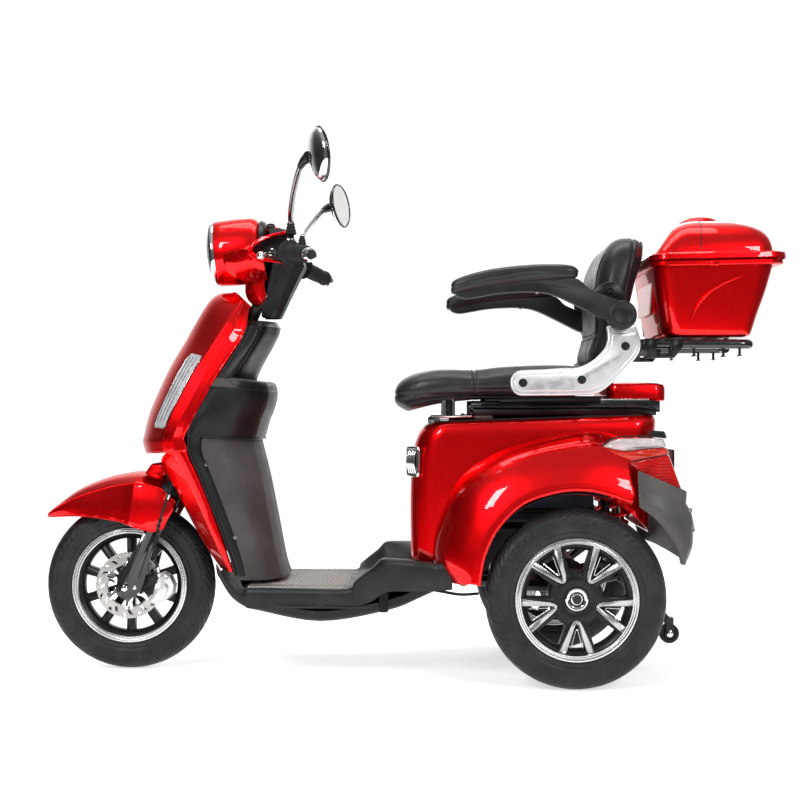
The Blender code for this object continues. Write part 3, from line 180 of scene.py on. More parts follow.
class Shader:
    """A Principled material under construction, with object coordinates for its textures."""

    def __init__(self, name, **constants):
        self.material = bpy.data.materials.new(name)
        self.material.use_nodes = True
        self.tree = self.material.node_tree
        self.surface = self.tree.nodes["Principled BSDF"]
        self.place = self.tree.nodes.new("ShaderNodeTexCoord").outputs["Object"]
        for socket, value in constants.items():
            socket = socket.replace("_", " ")
            held = self.surface.inputs[socket]
            held.default_value = (*value, 1) if isinstance(value, tuple) and len(value) == 3 else value
        self.heights = []

    def link(self, start, end):
        self.tree.links.new(start, end)
        return self

    def stretched(self, scale):
        mapping = self.tree.nodes.new("ShaderNodeMapping")
        mapping.inputs["Scale"].default_value = scale
        self.link(self.place, mapping.inputs["Vector"])
        return mapping.outputs["Vector"]

    def noise(self, scale, detail=3.0, stretch=None):
        texture = self.tree.nodes.new("ShaderNodeTexNoise")
        texture.inputs["Scale"].default_value = scale
        texture.inputs["Detail"].default_value = detail
        self.link(self.stretched(stretch) if stretch else self.place, texture.inputs["Vector"])
        return texture.outputs["Fac"]

    def cells(self, scale, feature="F1", stretch=None):
        texture = self.tree.nodes.new("ShaderNodeTexVoronoi")
        texture.feature = feature
        texture.inputs["Scale"].default_value = scale
        self.link(self.stretched(stretch) if stretch else self.place, texture.inputs["Vector"])
        return texture.outputs["Distance"]

    def waves(self, scale, axis="X", distortion=0.5):
        texture = self.tree.nodes.new("ShaderNodeTexWave")
        texture.bands_direction = axis
        texture.inputs["Scale"].default_value = scale
        texture.inputs["Distortion"].default_value = distortion
        self.link(self.place, texture.inputs["Vector"])
        return texture.outputs["Fac"]

    def spread(self, fac, low, high):
        """A value between low and high, for roughness."""
        return ranged(self.tree, fac, (0.3, 0.7), (low, high))

    def colours(self, fac, *stops):
        """A colour ramp; each stop is (position, colour)."""
        ramp = self.tree.nodes.new("ShaderNodeValToRGB")
        elements = ramp.color_ramp.elements
        for number, (position, colour) in enumerate(stops):
            element = elements[number] if number < 2 else elements.new(position)
            element.position = position
            element.color = (*colour, 1)
        self.link(fac, ramp.inputs["Fac"])
        return ramp.outputs["Color"]

    def varied(self, fac, dark, light, low=0.35, high=0.65):
        self.link(self.colours(fac, (low, dark), (high, light)), self.surface.inputs["Base Color"])
        return self

    def rough(self, fac, low, high):
        return self.link(self.spread(fac, low, high), self.surface.inputs["Roughness"])

    def bump(self, fac, strength, distance):
        node = self.tree.nodes.new("ShaderNodeBump")
        node.inputs["Strength"].default_value = strength
        node.inputs["Distance"].default_value = distance
        self.link(fac, node.inputs["Height"])
        if self.heights:
            self.link(self.heights[-1], node.inputs["Normal"])
        self.heights.append(node.outputs["Normal"])
        return self.link(node.outputs["Normal"], self.surface.inputs["Normal"])


def floor_finish():
    """White studio floor that melts into the white surroundings away from the object."""
    shade = Shader("floor_white", Roughness=0.9)
    shade.varied(shade.noise(1.5), (0.9, 0.9, 0.9), (0.95, 0.95, 0.95))
    shade.surface.inputs["Emission Color"].default_value = (1, 1, 1, 1)
    away = shade.tree.nodes.new("ShaderNodeVectorMath")
    away.operation = "LENGTH"
    shade.link(shade.place, away.inputs[0])
    glow = ranged(shade.tree, away.outputs["Value"], (0.7, 2.1), (0.6, 1.06), True)
    shade.link(glow, shade.surface.inputs["Emission Strength"])
    return shade.material


def finish(name):
    """The material of that name, made on its first use."""
    if name not in FINISHES:
        FINISHES[name] = MAKERS[name](name)
    return FINISHES[name]


def red_paint(name):
    shade = Shader(
        name, Metallic=0.92, Coat_Weight=1.0, Coat_Roughness=0.015, Coat_IOR=1.32, IOR=1.45,
        Specular_Tint=(1.0, 0.25, 0.25, 1.0)
    )
    flakes = shade.cells(1500)
    shade.varied(flakes, (0.66, 0.0004, 0.0016), (0.96, 0.001, 0.004), 0.05, 0.75)
    shade.rough(shade.noise(700, 1), 0.26, 0.36)
    shade.bump(shade.noise(900, 1), 0.05, 0.0003).bump(shade.noise(45, 1), 0.02, 0.0006)
    return shade.material


def moulded(colour_low, colour_high, rough_low, rough_high, grain=900, depth=0.22, **more):
    """Grained plastic: pebble grain, slight clouding and uneven sheen."""

    def make(name):
        shade = Shader(name, **more)
        shade.varied(shade.noise(14, 6), colour_low, colour_high)
        shade.rough(shade.noise(35, 5), rough_low, rough_high)
        shade.bump(shade.cells(grain), depth, 0.0004).bump(shade.noise(grain * 2.2, 2), depth * 0.5, 0.0002)
        return shade.material

    return make


def metal(colour_low, colour_high, rough_low, rough_high, scratch=None, **more):
    def make(name):
        shade = Shader(name, Metallic=1.0, **more)
        shade.varied(shade.noise(20, 6), colour_low, colour_high)
        shade.rough(shade.noise(60, 5), rough_low, rough_high)
        if scratch:
            shade.bump(shade.noise(160, 3, scratch), 0.1, 0.0003)
        else:
            shade.bump(shade.noise(90, 2), 0.02, 0.0003)
        return shade.material

    return make


def leather(name):
    shade = Shader(name, Specular_IOR_Level=0.34, Coat_Weight=0.1, Coat_Roughness=0.3)
    wear = shade.noise(7, 7)
    shade.varied(wear, (0.01, 0.01, 0.0115), (0.02, 0.0195, 0.0215))
    shade.rough(shade.noise(26, 6), 0.34, 0.5)
    shade.bump(shade.noise(18, 4), 0.22, 0.004)
    shade.bump(shade.cells(420, "DISTANCE_TO_EDGE"), 0.32, 0.0007)
    shade.bump(shade.noise(1300, 2), 0.12, 0.0003)
    return shade.material


def tyre_rubber(name):
    shade = Shader(name, Specular_IOR_Level=0.34)
    shade.varied(shade.noise(22, 8), (0.009, 0.009, 0.0105), (0.02, 0.02, 0.022))
    shade.rough(shade.noise(40, 6), 0.4, 0.62)
    shade.bump(shade.noise(320, 6), 0.3, 0.0008).bump(shade.noise(30, 5), 0.2, 0.003)
    return shade.material


def lens(colour_low, colour_high, transmission, rough=0.03, ribs=None, **more):
    def make(name):
        shade = Shader(name, Transmission_Weight=transmission, Roughness=rough, IOR=1.46, **more)
        shade.varied(shade.noise(30, 3), colour_low, colour_high)
        shade.bump(shade.noise(70, 2), 0.03, 0.0005)
        if ribs:
            shade.bump(shade.waves(ribs, "Z", 0.0), 0.5, 0.0012)
        return shade.material

    return make


def mat_rubber(name):
    shade = Shader(name, Specular_IOR_Level=0.3)
    shade.varied(shade.noise(600, 4), (0.3, 0.29, 0.27), (0.5, 0.48, 0.45))
    shade.rough(shade.noise(50, 5), 0.6, 0.8)
    shade.bump(shade.noise(900, 3), 0.3, 0.0004)
    return shade.material


def spun_alloy(name):
    """Polished wheel metal with an anisotropic shine and faint tarnish."""
    shade = Shader(name, Metallic=1.0, Anisotropic=0.4)
    shade.varied(shade.noise(9, 3), (0.6, 0.6, 0.61), (0.76, 0.76, 0.77))
    shade.rough(shade.noise(14, 3), 0.18, 0.26)
    return shade.material


def display(name):
    """Dark instrument glass."""
    shade = Shader(name, Coat_Weight=1.0, Coat_Roughness=0.03)
    shade.varied(shade.noise(40, 3), (0.006, 0.008, 0.009), (0.016, 0.02, 0.022))
    shade.rough(shade.noise(50, 3), 0.12, 0.22)
    shade.bump(shade.noise(60, 2), 0.02, 0.0003)
    return shade.material


MAKERS = {
    "red_paint": red_paint, "leather": leather, "tyre_rubber": tyre_rubber, "mat_rubber": mat_rubber,
    "spun_alloy": spun_alloy, "display": display,
    "black_plastic": moulded(
        (0.009, 0.009, 0.01), (0.018, 0.018, 0.02), 0.34, 0.48, Specular_IOR_Level=0.3
    ),
    "satin_black": moulded(
        (0.007, 0.007, 0.008), (0.013, 0.013, 0.014), 0.28, 0.4, 1400, 0.1, Specular_IOR_Level=0.28
    ),
    "gloss_black": moulded(
        (0.008, 0.008, 0.009), (0.014, 0.014, 0.015), 0.1, 0.18, 1600, 0.03, Coat_Weight=0.6
    ),
    "grey_panel": moulded((0.05, 0.044, 0.043), (0.076, 0.067, 0.066), 0.42, 0.54, Specular_IOR_Level=0.3),
    "grey_bumper": moulded(
        (0.066, 0.062, 0.06), (0.098, 0.092, 0.089), 0.36, 0.48, Specular_IOR_Level=0.35
    ),
    "rubber": moulded(
        (0.01, 0.01, 0.011), (0.02, 0.02, 0.022), 0.55, 0.75, 700, 0.3, Specular_IOR_Level=0.3
    ),
    # Painted shade for the tyre's grooves: near-black, dull rubber.
    "groove_shade_rubber": moulded(
        (0.003, 0.003, 0.003), (0.007, 0.007, 0.007), 0.75, 0.9, 700, 0.3, Specular_IOR_Level=0.1
    ),
    "thread": moulded((0.03, 0.03, 0.033), (0.075, 0.073, 0.076), 0.55, 0.7, 2500, 0.3),
    "battery_case": moulded((0.02, 0.03, 0.055), (0.034, 0.05, 0.085), 0.4, 0.55),
    "cut_alloy": metal((0.44, 0.44, 0.45), (0.56, 0.56, 0.57), 0.22, 0.32),
    "silver_paint": metal(
        (0.72, 0.72, 0.73), (0.82, 0.82, 0.83), 0.36, 0.48, Coat_Weight=0.5, Coat_Roughness=0.12
    ),
    "chrome": metal((0.8, 0.8, 0.81), (0.92, 0.92, 0.93), 0.03, 0.09),
    "dark_chrome": metal((0.3, 0.3, 0.31), (0.42, 0.42, 0.43), 0.12, 0.22),
    "cast_alloy": metal((0.42, 0.42, 0.43), (0.58, 0.58, 0.59), 0.3, 0.46),
    "machined": metal((0.48, 0.465, 0.45), (0.6, 0.585, 0.57), 0.26, 0.36),
    "black_steel": metal((0.03, 0.03, 0.031), (0.06, 0.06, 0.062), 0.32, 0.46, Specular_IOR_Level=0.5),
    "mirror_glass": metal((0.92, 0.9, 0.86), (0.97, 0.96, 0.93), 0.005, 0.015),
    "clear_lens": lens((0.95, 0.96, 0.97), (1, 1, 1), 0.94),
    "ribbed_lens": lens((0.6, 0.6, 0.64), (0.76, 0.76, 0.8), 0.2, 0.14, None, Coat_Weight=0.8),
    "pale_lens": lens((0.86, 0.76, 0.76), (0.98, 0.9, 0.9), 0.45, 0.05, 46, Coat_Weight=1.0),
    "red_lens": lens(
        (0.5, 0.001, 0.001), (0.74, 0.003, 0.002), 0.3, 0.06, 46, Coat_Weight=0.5, Specular_IOR_Level=0.3
    ),
    "amber_lens": lens(
        (0.72, 0.012, 0.003), (0.88, 0.034, 0.008), 0.3, 0.06, 46, Coat_Weight=0.5, Specular_IOR_Level=0.3
    ),
}


# ---------------------------------------------------------------- mesh helpers
def smooth(points, steps, corners=()):
    """A smooth curve (or a smooth family of rows) through points, broken at the corners."""
    points = np.asarray(points, float)
    stops = sorted({0, len(points) - 1, *corners})
    out = []
    for first, last in zip(stops, stops[1:]):
        run = points[first : last + 1]
        ends = [2 * run[0] - run[1], *run, 2 * run[-1] - run[-2]]
        for a, b, c, d in zip(ends, ends[1:], ends[2:], ends[3:]):
            for t in np.arange(steps) / steps:
                out.append(
                    0.5
                    * (
                        2
                        * b
                        + (c - a)
                        * t
                        + (2 * a - 5 * b + 4 * c - d)
                        * t**2
                        + (3 * b - a - 3 * c + d)
                        * t**3
                    )
                )
    out.append(points[-1])
    return np.array(out)


def loop(points, steps):
    """A smooth closed outline through points."""
    points = np.asarray(points, float)
    count = len(points)
    run = smooth(np.vstack([points[-2:], points, points[:2]]), steps)
    return run[2 * steps : (2 + count) * steps]


def surface(rows, u, v, u_corners=(), v_corners=()):
    """Rows of points refined both ways."""
    net = smooth(rows, u, u_corners)
    return smooth(net.swapaxes(0, 1), v, v_corners).swapaxes(0, 1)


def across(half_row):
    """A row from the left edge to the middle, with its mirror image."""
    return list(half_row) + [(x, -y, z) for x, y, z in reversed(half_row[:-1])]


def mesh_object(name, points, faces):
    mesh = bpy.data.meshes.new(name)
    mesh.from_pydata([tuple(map(float, point)) for point in points], [], faces)
    mesh.validate()
    obj = bpy.data.objects.new(name, mesh)
    SCENE.collection.objects.link(obj)
    return obj


def outwards(obj):
    work = bmesh.new()
    work.from_mesh(obj.data)
    bmesh.ops.recalc_face_normals(work, faces=work.faces)
    work.to_mesh(obj.data)
    work.free()
    return obj


def grid_faces(row_count, count, closed_rows=False, closed_cols=False):
    faces = []
    for row in range(row_count if closed_rows else row_count - 1):
        for i in range(count if closed_cols else count - 1):
            below, above = row * count, (row + 1) % row_count * count
            after = (i + 1) % count
            faces.append((below + i, below + after, above + after, above + i))
    return faces


def grid_object(name, rows, closed_rows=False, closed_cols=False):
    points = [point for row in rows for point in row]
    return mesh_object(name, points, grid_faces(len(rows), len(rows[0]), closed_rows, closed_cols))


def sheet(name, rows, thickness, out, bevel=0.0012):
    """A skin through rows of points, thickened on the side away from out."""
    obj = grid_object(name, rows)
    middle_face = obj.data.polygons[len(obj.data.polygons) // 2 - 1]
    if middle_face.normal.dot(Vector(out)) < 0:
        obj.data.flip_normals()
    return edged(walled(obj, thickness), bevel, 60)


def walled(obj, thickness, offset=-1):
    """Gives a skin its wall: offset -1 grows it inwards, 1 outwards."""
    wall = obj.modifiers.new("wall", "SOLIDIFY")
    wall.thickness = thickness
    wall.offset = offset
    return obj


def edged(obj, width, angle=35, segments=2):
    """Rounds the sharp edges, so that they catch light."""
    if width:
        bevel = obj.modifiers.new("edge", "BEVEL")
        bevel.width = width
        bevel.segments = segments
        bevel.limit_method = "ANGLE"
        bevel.angle_limit = math.radians(angle)
        bevel.harden_normals = True
    return obj


def loft(name, rings, caps=True):
    """Closed rings joined in order, with both ends filled."""
    count = len(rings[0])
    points = [point for ring in rings for point in ring]
    faces = grid_faces(len(rings), count, closed_cols=True)
    if caps:
        faces += [tuple(range(count)), tuple(range((len(rings) - 1) * count, len(rings) * count))]
    return outwards(mesh_object(name, points, faces))


def open_shell(name, rings, closed_ring, thickness):
    """A lofted shell, closed by a face over one of its end rings and open at the other."""
    count = len(rings[0])
    first = closed_ring % len(rings) * count
    obj = loft(name, list(rings), caps=False)
    work = bmesh.new()
    work.from_mesh(obj.data)
    work.verts.ensure_lookup_table()
    work.faces.new([work.verts[first + i] for i in range(count)])
    bmesh.ops.recalc_face_normals(work, faces=work.faces)
    work.to_mesh(obj.data)
    work.free()
    return walled(obj, thickness)


def slab(name, outline, low, high, bevel=0.001, segments=2):
    """An outline in X and Z, extruded along Y."""
    rings = [[(x, y, z) for x, z in outline] for y in sorted((low, high))]
    return edged(loft(name, rings), bevel, 40, segments)


def box_piece(name, low, high, bevel=0.001):
    return slab(
        name, [(low[0], low[2]), (high[0], low[2]), (high[0], high[2]), (low[0], high[2])], low[1], high[1],
        bevel
    )


def frame_of(axis):
    axis = Vector(axis).normalized()
    start = Vector((0, 0, -1)) if abs(axis.z) < 0.9 else Vector((1, 0, 0))
    first = (start - axis * start.dot(axis)).normalized()
    return axis, first, axis.cross(first)


def lathe(name, profile, centre, axis, steps=64, closed=False):
    """A profile of (radius, distance) turned about an axis."""
    axis, first, second = frame_of(axis)
    centre = Vector(centre)
    turn = [(math.cos(a), math.sin(a)) for a in np.arange(steps) * 2 * math.pi / steps]
    rings = []
    for radius, distance in profile:
        radius = max(radius, 0.00002)
        rings.append([centre + axis * distance + (first * c + second * s) * radius for c, s in turn])
    faces = grid_faces(len(rings), steps, closed, True)
    if not closed:
        faces += [tuple(range(steps)), tuple(range((len(rings) - 1) * steps, len(rings) * steps))]
    return outwards(mesh_object(name, [point for ring in rings for point in ring], faces))


def rod(name, start, end, radius, steps=24, bevel=0.0008):
    start, end = Vector(start), Vector(end)
    length = (end - start).length
    bevel = min(bevel, radius * 0.4, length * 0.4)
    profile = [
        (0, 0), (radius - bevel, 0), (radius, bevel), (radius, length - bevel), (radius - bevel, length),
        (0, length)
    ]
    return lathe(name, profile, start, end - start, steps)


def sweep(name, points, radius, steps=16, per_span=6, flat=1.0, corners=(), closed=False):
    """A round or oval bar along a smooth route; radius may be one number or one for each point."""
    radii = np.full(len(points), radius) if np.isscalar(radius) else np.asarray(radius, float)
    route = np.column_stack([np.asarray(points, float), radii])
    route = loop(route, per_span) if closed else smooth(route, per_span, corners)
    rings, side = [], None
    for i, (*point, size) in enumerate(route):
        before = route[i - 1] if closed or i else route[0]
        after = route[(i + 1) % len(route)] if closed else route[min(i + 1, len(route) - 1)]
        ahead = Vector(after[:3] - before[:3]).normalized()
        side = frame_of(ahead)[1] if side is None else (side - ahead * side.dot(ahead)).normalized()
        other = ahead.cross(side)
        angles = np.arange(steps) * 2 * math.pi / steps
        rings.append([
            Vector(point) + (side * math.cos(a) * flat + other * math.sin(a)) * size for a in angles
        ])
    if closed:
        return outwards(grid_object(name, rings, True, True))
    return loft(name, rings)


def stud(name, at, axis, radius, height):
    """A domed bolt head with a recess, on a washer."""
    profile = [
        (0, 0), (radius * 1.35, 0), (radius * 1.35, height * 0.2), (radius, height * 0.25),
        (radius, height * 0.7)
    ]
    profile += [
        (radius * 0.8, height), (radius * 0.5, height), (radius * 0.42, height * 0.55), (0, height * 0.5)
    ]
    return lathe(name, profile, at, axis, 28)


def hex_nut(name, at, axis, radius, height):
    profile = [
        (0, 0), (radius, 0), (radius, height * 0.8), (radius * 0.86, height), (radius * 0.45, height),
        (0, height * 1.1)
    ]
    return edged(lathe(name, profile, at, axis, 6), radius * 0.06)


def paint(obj, *names):
    for name in names:
        obj.data.materials.append(finish(name))
    return obj


def add(pieces, look, *objects):
    """Paints new pieces and puts them with the others."""
    pieces.extend(paint(obj, look) for obj in objects)


def merged(name, *objects):
    """One mesh from several, with their modifiers applied and their materials kept."""
    graph = bpy.context.evaluated_depsgraph_get()
    work = bmesh.new()
    materials = []
    for obj in objects:
        mesh = bpy.data.meshes.new_from_object(obj.evaluated_get(graph))
        own = [slot.material for slot in obj.material_slots]
        materials += [m for m in own if m not in materials]
        start = len(work.faces)
        work.from_mesh(mesh)
        work.faces.ensure_lookup_table()
        for face in work.faces[start:]:
            face.material_index = materials.index(own[face.material_index]) if own else 0
    mesh = bpy.data.meshes.new(name)
    work.to_mesh(mesh)
    work.free()
    for material in materials:
        mesh.materials.append(material)
    for obj in objects:
        bpy.data.objects.remove(obj)
    result = bpy.data.objects.new(name, mesh)
    SCENE.collection.objects.link(result)
    return result


def place(obj, body, slot, material=None, replaces=(), angle=38):
    """Finishes a piece: its material, smooth shading and the body it rides on; the slot is not used."""
    if material:
        paint(obj, material)
    obj.data.shade_smooth()
    obj.data.set_sharp_from_angle(angle=math.radians(angle))
    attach(obj, body)
    if replaces:
        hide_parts(*replaces)
    return obj


def keep(node, material):
    """A CAD node whose shape stays, with a detailed finish."""
    obj = frame["nodes"][node]
    for slot in obj.material_slots:
        slot.material = finish(material)
    if not obj.material_slots:
        obj.data.materials.append(finish(material))


def mirrored(points, side):
    """Points given for the +Y side, placed on the side asked for."""
    return [(x, abs(y) * side, z) for x, y, z in points]


# ---------------------------------------------------------------- wheels
TREAD = [
    (0, 0), (0.03, 1), (0.14, 1), (0.17, 0), (0.36, 0), (0.52, 0), (0.545, 0.7), (0.6, 0.7), (0.625, 0),
    (0.82, 0)
]
TYRE_SECTION = [
    (0.138, 0.03), (0.1396, 0.0338), (0.143, 0.0362), (0.147, 0.0378), (0.15, 0.0386), (0.1512, 0.0372),
    (0.1526, 0.0372), (0.1538, 0.0386), (0.16, 0.0394), (0.169, 0.04), (0.1755, 0.0402), (0.1768, 0.0388),
    (0.179, 0.0386), (0.1802, 0.0388), (0.185, 0.0368), (0.1895, 0.0338), (0.193, 0.03), (0.1962, 0.025),
    (0.199, 0.019), (0.201, 0.013), (0.2022, 0.0075), (0.2022, 0.0058), (0.2027, 0.005), (0.203, 0.002),
]


def tyre(name, centre, body, node):
    """Scooter tyre with slanted shoulder grooves, sipes, two centre grooves and stepped sidewalls; painted
    shade darkens the deep shoulder grooves.
    """
    section = [(r, -y) for r, y in TYRE_SECTION] + [(r, y) for r, y in reversed(TYRE_SECTION)]
    pitches = 30
    rings = []
    for pitch in range(pitches):
        for share, depth in TREAD:
            ring = []
            for radius, y in section:
                reach = abs(y) / 0.04
                on_tread = max(0.0, min(1.0, (reach - 0.25) * 6, (radius - 0.17) * 110))
                centre_groove = 0.0016 if 0.0045 < abs(y) < 0.006 else 0.0
                angle = 2 * math.pi * (pitch + share) / pitches + 0.3 * reach**1.6
                size = radius - depth * on_tread * 0.0046 - centre_groove
                ring.append(centre + Vector((math.cos(angle) * size, y, math.sin(angle) * size)))
            rings.append(ring)
    obj = paint(outwards(grid_object(name, rings, closed_rows=True)), "tyre_rubber", "groove_shade_rubber")
    # Painted shade: faces in the deep shoulder grooves get a near-black, dull rubber so that the tread
    # pattern reads dark.
    across_count = len(section) - 1
    for number, face in enumerate(obj.data.polygons):
        row, i = divmod(number, across_count)
        cut = min(TREAD[row % len(TREAD)][1], TREAD[(row + 1) % len(TREAD)][1]) > 0.5
        if cut and section[i][0] > 0.181 and section[i + 1][0] > 0.181 and abs(section[i][1]) > 0.011:
            face.material_index = 1
    place(obj, body, "tyre", replaces=(node,), angle=50)


LIP = [
    (0.1378, -0.029), (0.1386, -0.033), (0.1372, -0.0352), (0.1346, -0.0352), (0.1334, -0.033),
    (0.1324, -0.0316), (0.131, -0.033), (0.1292, -0.033), (0.1284, -0.031), (0.1272, -0.0298),
    (0.1262, -0.031), (0.1248, -0.0306), (0.124, -0.0285), (0.1236, -0.024), (0.13, -0.0235),
]


def rim_base(centre, barrel_material="satin_black"):
    """Polished double lips on both faces with the dark barrel between them."""
    lips = []
    for side in (-1, 1):
        profile = [(r, y * -side) for r, y in LIP]
        add(lips, "spun_alloy", lathe("lip", profile, centre, (0, 1, 0), 120, True))
    barrel = [
        (0.129, -0.0258), (0.12, -0.02), (0.113, -0.015), (0.111, -0.006), (0.111, 0.006), (0.113, 0.015),
        (0.12, 0.02)
    ]
    barrel += [(0.129, 0.0258), (0.1355, 0.0262), (0.1355, -0.0262)]
    return lips, paint(lathe("barrel", barrel, centre, (0, 1, 0), 120, True), barrel_material)


def polar(centre, angle, along, sideways, y):
    """A point on a wheel: along and sideways are measured from the arm's own direction."""
    c, s = math.cos(angle), math.sin(angle)
    return (centre.x + along * c - sideways * s, centre.y + y, centre.z + along * s + sideways * c)


def arm(name, centre, angle, outline, low, high, bevel):
    """An outline of (along, sideways) points, extruded across the wheel."""
    rings = [[polar(centre, angle, u, v, y) for u, v in outline] for y in sorted((low, high))]
    return edged(loft(name, rings), bevel, 40)


def front_wheel():
    tyre("tyre_front", FRONT_AXLE, "front_wheel", "front_tyre")
    lips, barrel = rim_base(FRONT_AXLE)
    spokes = []
    bar = [(0.026, -0.009), (0.128, -0.0112), (0.128, 0.0112), (0.026, 0.009)]
    for i in range(10):
        add(
            spokes, "satin_black",
            arm("spoke", FRONT_AXLE, math.radians(90 + 36 * i), bar, -0.013, 0.013, 0.0022)
        )
    hub = [
        (0.009, -0.036), (0.024, -0.036), (0.03, -0.032), (0.031, -0.018), (0.034, -0.012), (0.034, 0.012),
        (0.031, 0.018)
    ]
    hub += [(0.03, 0.032), (0.024, 0.036), (0.009, 0.036)]
    add(spokes, "satin_black", lathe("hub", hub, FRONT_AXLE, (0, 1, 0), 64, True))
    place(merged("rim_front_lips", *lips), "front_wheel", "alloy")
    place(
        merged("rim_front_cast", barrel, *spokes), "front_wheel", "black_plastic", replaces=("front_rim",)
    )
    radii = [0.05, 0.054, 0.059, 0.064, 0.069, 0.074, 0.0775, 0.0795]
    steps = 216
    points, faces = [], []
    for number, radius in enumerate(radii):
        for step in range(steps):
            angle = 2 * math.pi * step / steps + (radius - 0.066) * 9
            points.append(
                FRONT_AXLE + Vector((math.cos(angle) * radius, -0.0372, math.sin(angle) * radius))
            )
    for number, face in enumerate(grid_faces(len(radii), steps, closed_cols=True)):
        ring, step = divmod(number, steps)
        slotted = ring in (2, 3) and step % 18 in (0, 1, 2) or ring == 4 and step % 18 in (9, 10, 11)
        if not slotted:
            faces.append(face)
    disc = mesh_object("disc_ring", points, faces)
    edged(walled(disc, 0.003, 0), 0.0004, 60, 1)
    paint(disc, "machined")
    web = [
        (0.022, -0.013), (0.04, -0.0075), (0.056, -0.01), (0.0575, 0), (0.056, 0.01), (0.04, 0.0075),
        (0.022, 0.013)
    ]
    carrier = []
    for i in range(6):
        angle = math.radians(30 + 60 * i)
        add(carrier, "chrome", arm("web", FRONT_AXLE, angle, web, -0.0395, -0.0355, 0.0006))
        at = polar(FRONT_AXLE, angle, 0.0535, 0, -0.0388)
        add(carrier, "dark_chrome", stud("web_stud", at, (0, -1, 0), 0.0032, 0.0022))
    ring = [(0.011, -0.04), (0.0265, -0.04), (0.0285, -0.0385), (0.0285, -0.0355), (0.011, -0.0355)]
    add(carrier, "chrome", lathe("web_hub", ring, FRONT_AXLE, (0, 1, 0), 48, True))
    place(merged("brake_disc_slotted", disc, *carrier), "front_wheel", "chrome", replaces=("brake_disc",))


V_FACE = [(0.123, 0.042), (0.09, 0.0268), (0.0585, 0.0128), (0.049, 0.0072), (0.0455, 0)]
V_NOTCH = [(0.0535, 0), (0.0565, 0.0026), (0.066, 0.0062), (0.096, 0.016), (0.1268, 0.0262)]


def rear_wheel(name, side):
    centre = REAR_AXLE[name]
    body = "rear_wheel_" + name
    tyre("tyre_rear_" + name, centre, body, "rear_tyre_" + name)
    lips, barrel = rim_base(centre)
    cast, faces = [barrel], list(lips)
    for i in range(5):
        angle = math.radians(-90 + 72 * i)
        for turn in (-0.262, 0.262):
            bar = [(0.05, -0.0082), (0.129, -0.012), (0.129, 0.012), (0.05, 0.0082)]
            add(
                cast, "satin_black",
                arm("arm", centre, angle + turn, bar, -0.013 * side, 0.02 * side, 0.002)
            )
        for turn in (-1, 1):
            plate = [(u, v * turn) for u, v in V_FACE + V_NOTCH]
            add(
                faces, "cut_alloy",
                arm("arm_face", centre, angle, plate, 0.0195 * side, 0.0232 * side, 0.0009)
            )
            ridge = [polar(centre, angle, u, v * turn, 0.0205 * side) for u, v in
                     ((0.108, 0.0135), (0.086, 0.0072), (0.07, 0.0028), (0.067, 0.0))]
            add(faces, "spun_alloy", sweep("arm_ridge", ridge, 0.0011, 8, 4))
    hub = [(0.012, -0.03), (0.044, -0.03), (0.05, -0.024), (0.062, -0.016), (0.062, 0.015), (0.06, 0.018)]
    hub += [(0.048, 0.0205), (0.03, 0.0215), (0.0285, 0.02), (0.012, 0.02)]
    hub = [(r, y * side) for r, y in hub]
    add(cast, "satin_black", lathe("hub", hub, centre, (0, 1, 0), 96, True))
    cap = [(0, 0.0225), (0.0085, 0.0225), (0.01, 0.0215), (0.015, 0.021), (0.016, 0.024), (0.0185, 0.0262)]
    cap += [(0.0225, 0.0262), (0.025, 0.0245), (0.0258, 0.0205), (0, 0.02)]
    add(faces, "chrome", lathe("cap", [(r, y * side) for r, y in cap], centre, (0, 1, 0), 64))
    nut = hex_nut("nut", centre + Vector((0, 0.0215 * side, 0)), (0, side, 0), 0.0098, 0.0052)
    add(faces, "dark_chrome", nut)
    place(merged("rim_polish_" + name, *faces), body, "alloy")
    place(merged("rim_cast_" + name, *cast), body, "black_plastic", replaces=("rear_rim_" + name,))
    centre = middle("anti_tip_wheel_" + name)
    roller = [
        (0.006, -0.0085), (0.012, -0.0085), (0.0125, -0.006), (0.014, -0.006), (0.015, -0.0085),
        (0.0215, -0.0085)
    ]
    roller = roller + [(0.023, -0.0065), (0.023, 0.0065)] + [(r, -y) for r, y in reversed(roller)]
    wheel = paint(lathe("roller", roller, centre, (0, 1, 0), 48, True), "rubber")
    place(
        wheel, "anti_tip_" + name, "grip_rubber", replaces=("anti_tip_wheel_" + name,)
    ).name = "anti_tip_roller_" + name
    pin = [(0, 0.009), (0.0075, 0.009), (0.0075, 0.0145), (0.005, 0.016), (0, 0.016)]
    caps = [lathe("pin", [(r, y * s) for r, y in pin], centre, (0, 1, 0), 24) for s in (-1, 1)]
    place(
        merged("anti_tip_pin_cap_" + name, *[paint(c, "chrome") for c in caps]), "rear_suspension", "chrome"
    )


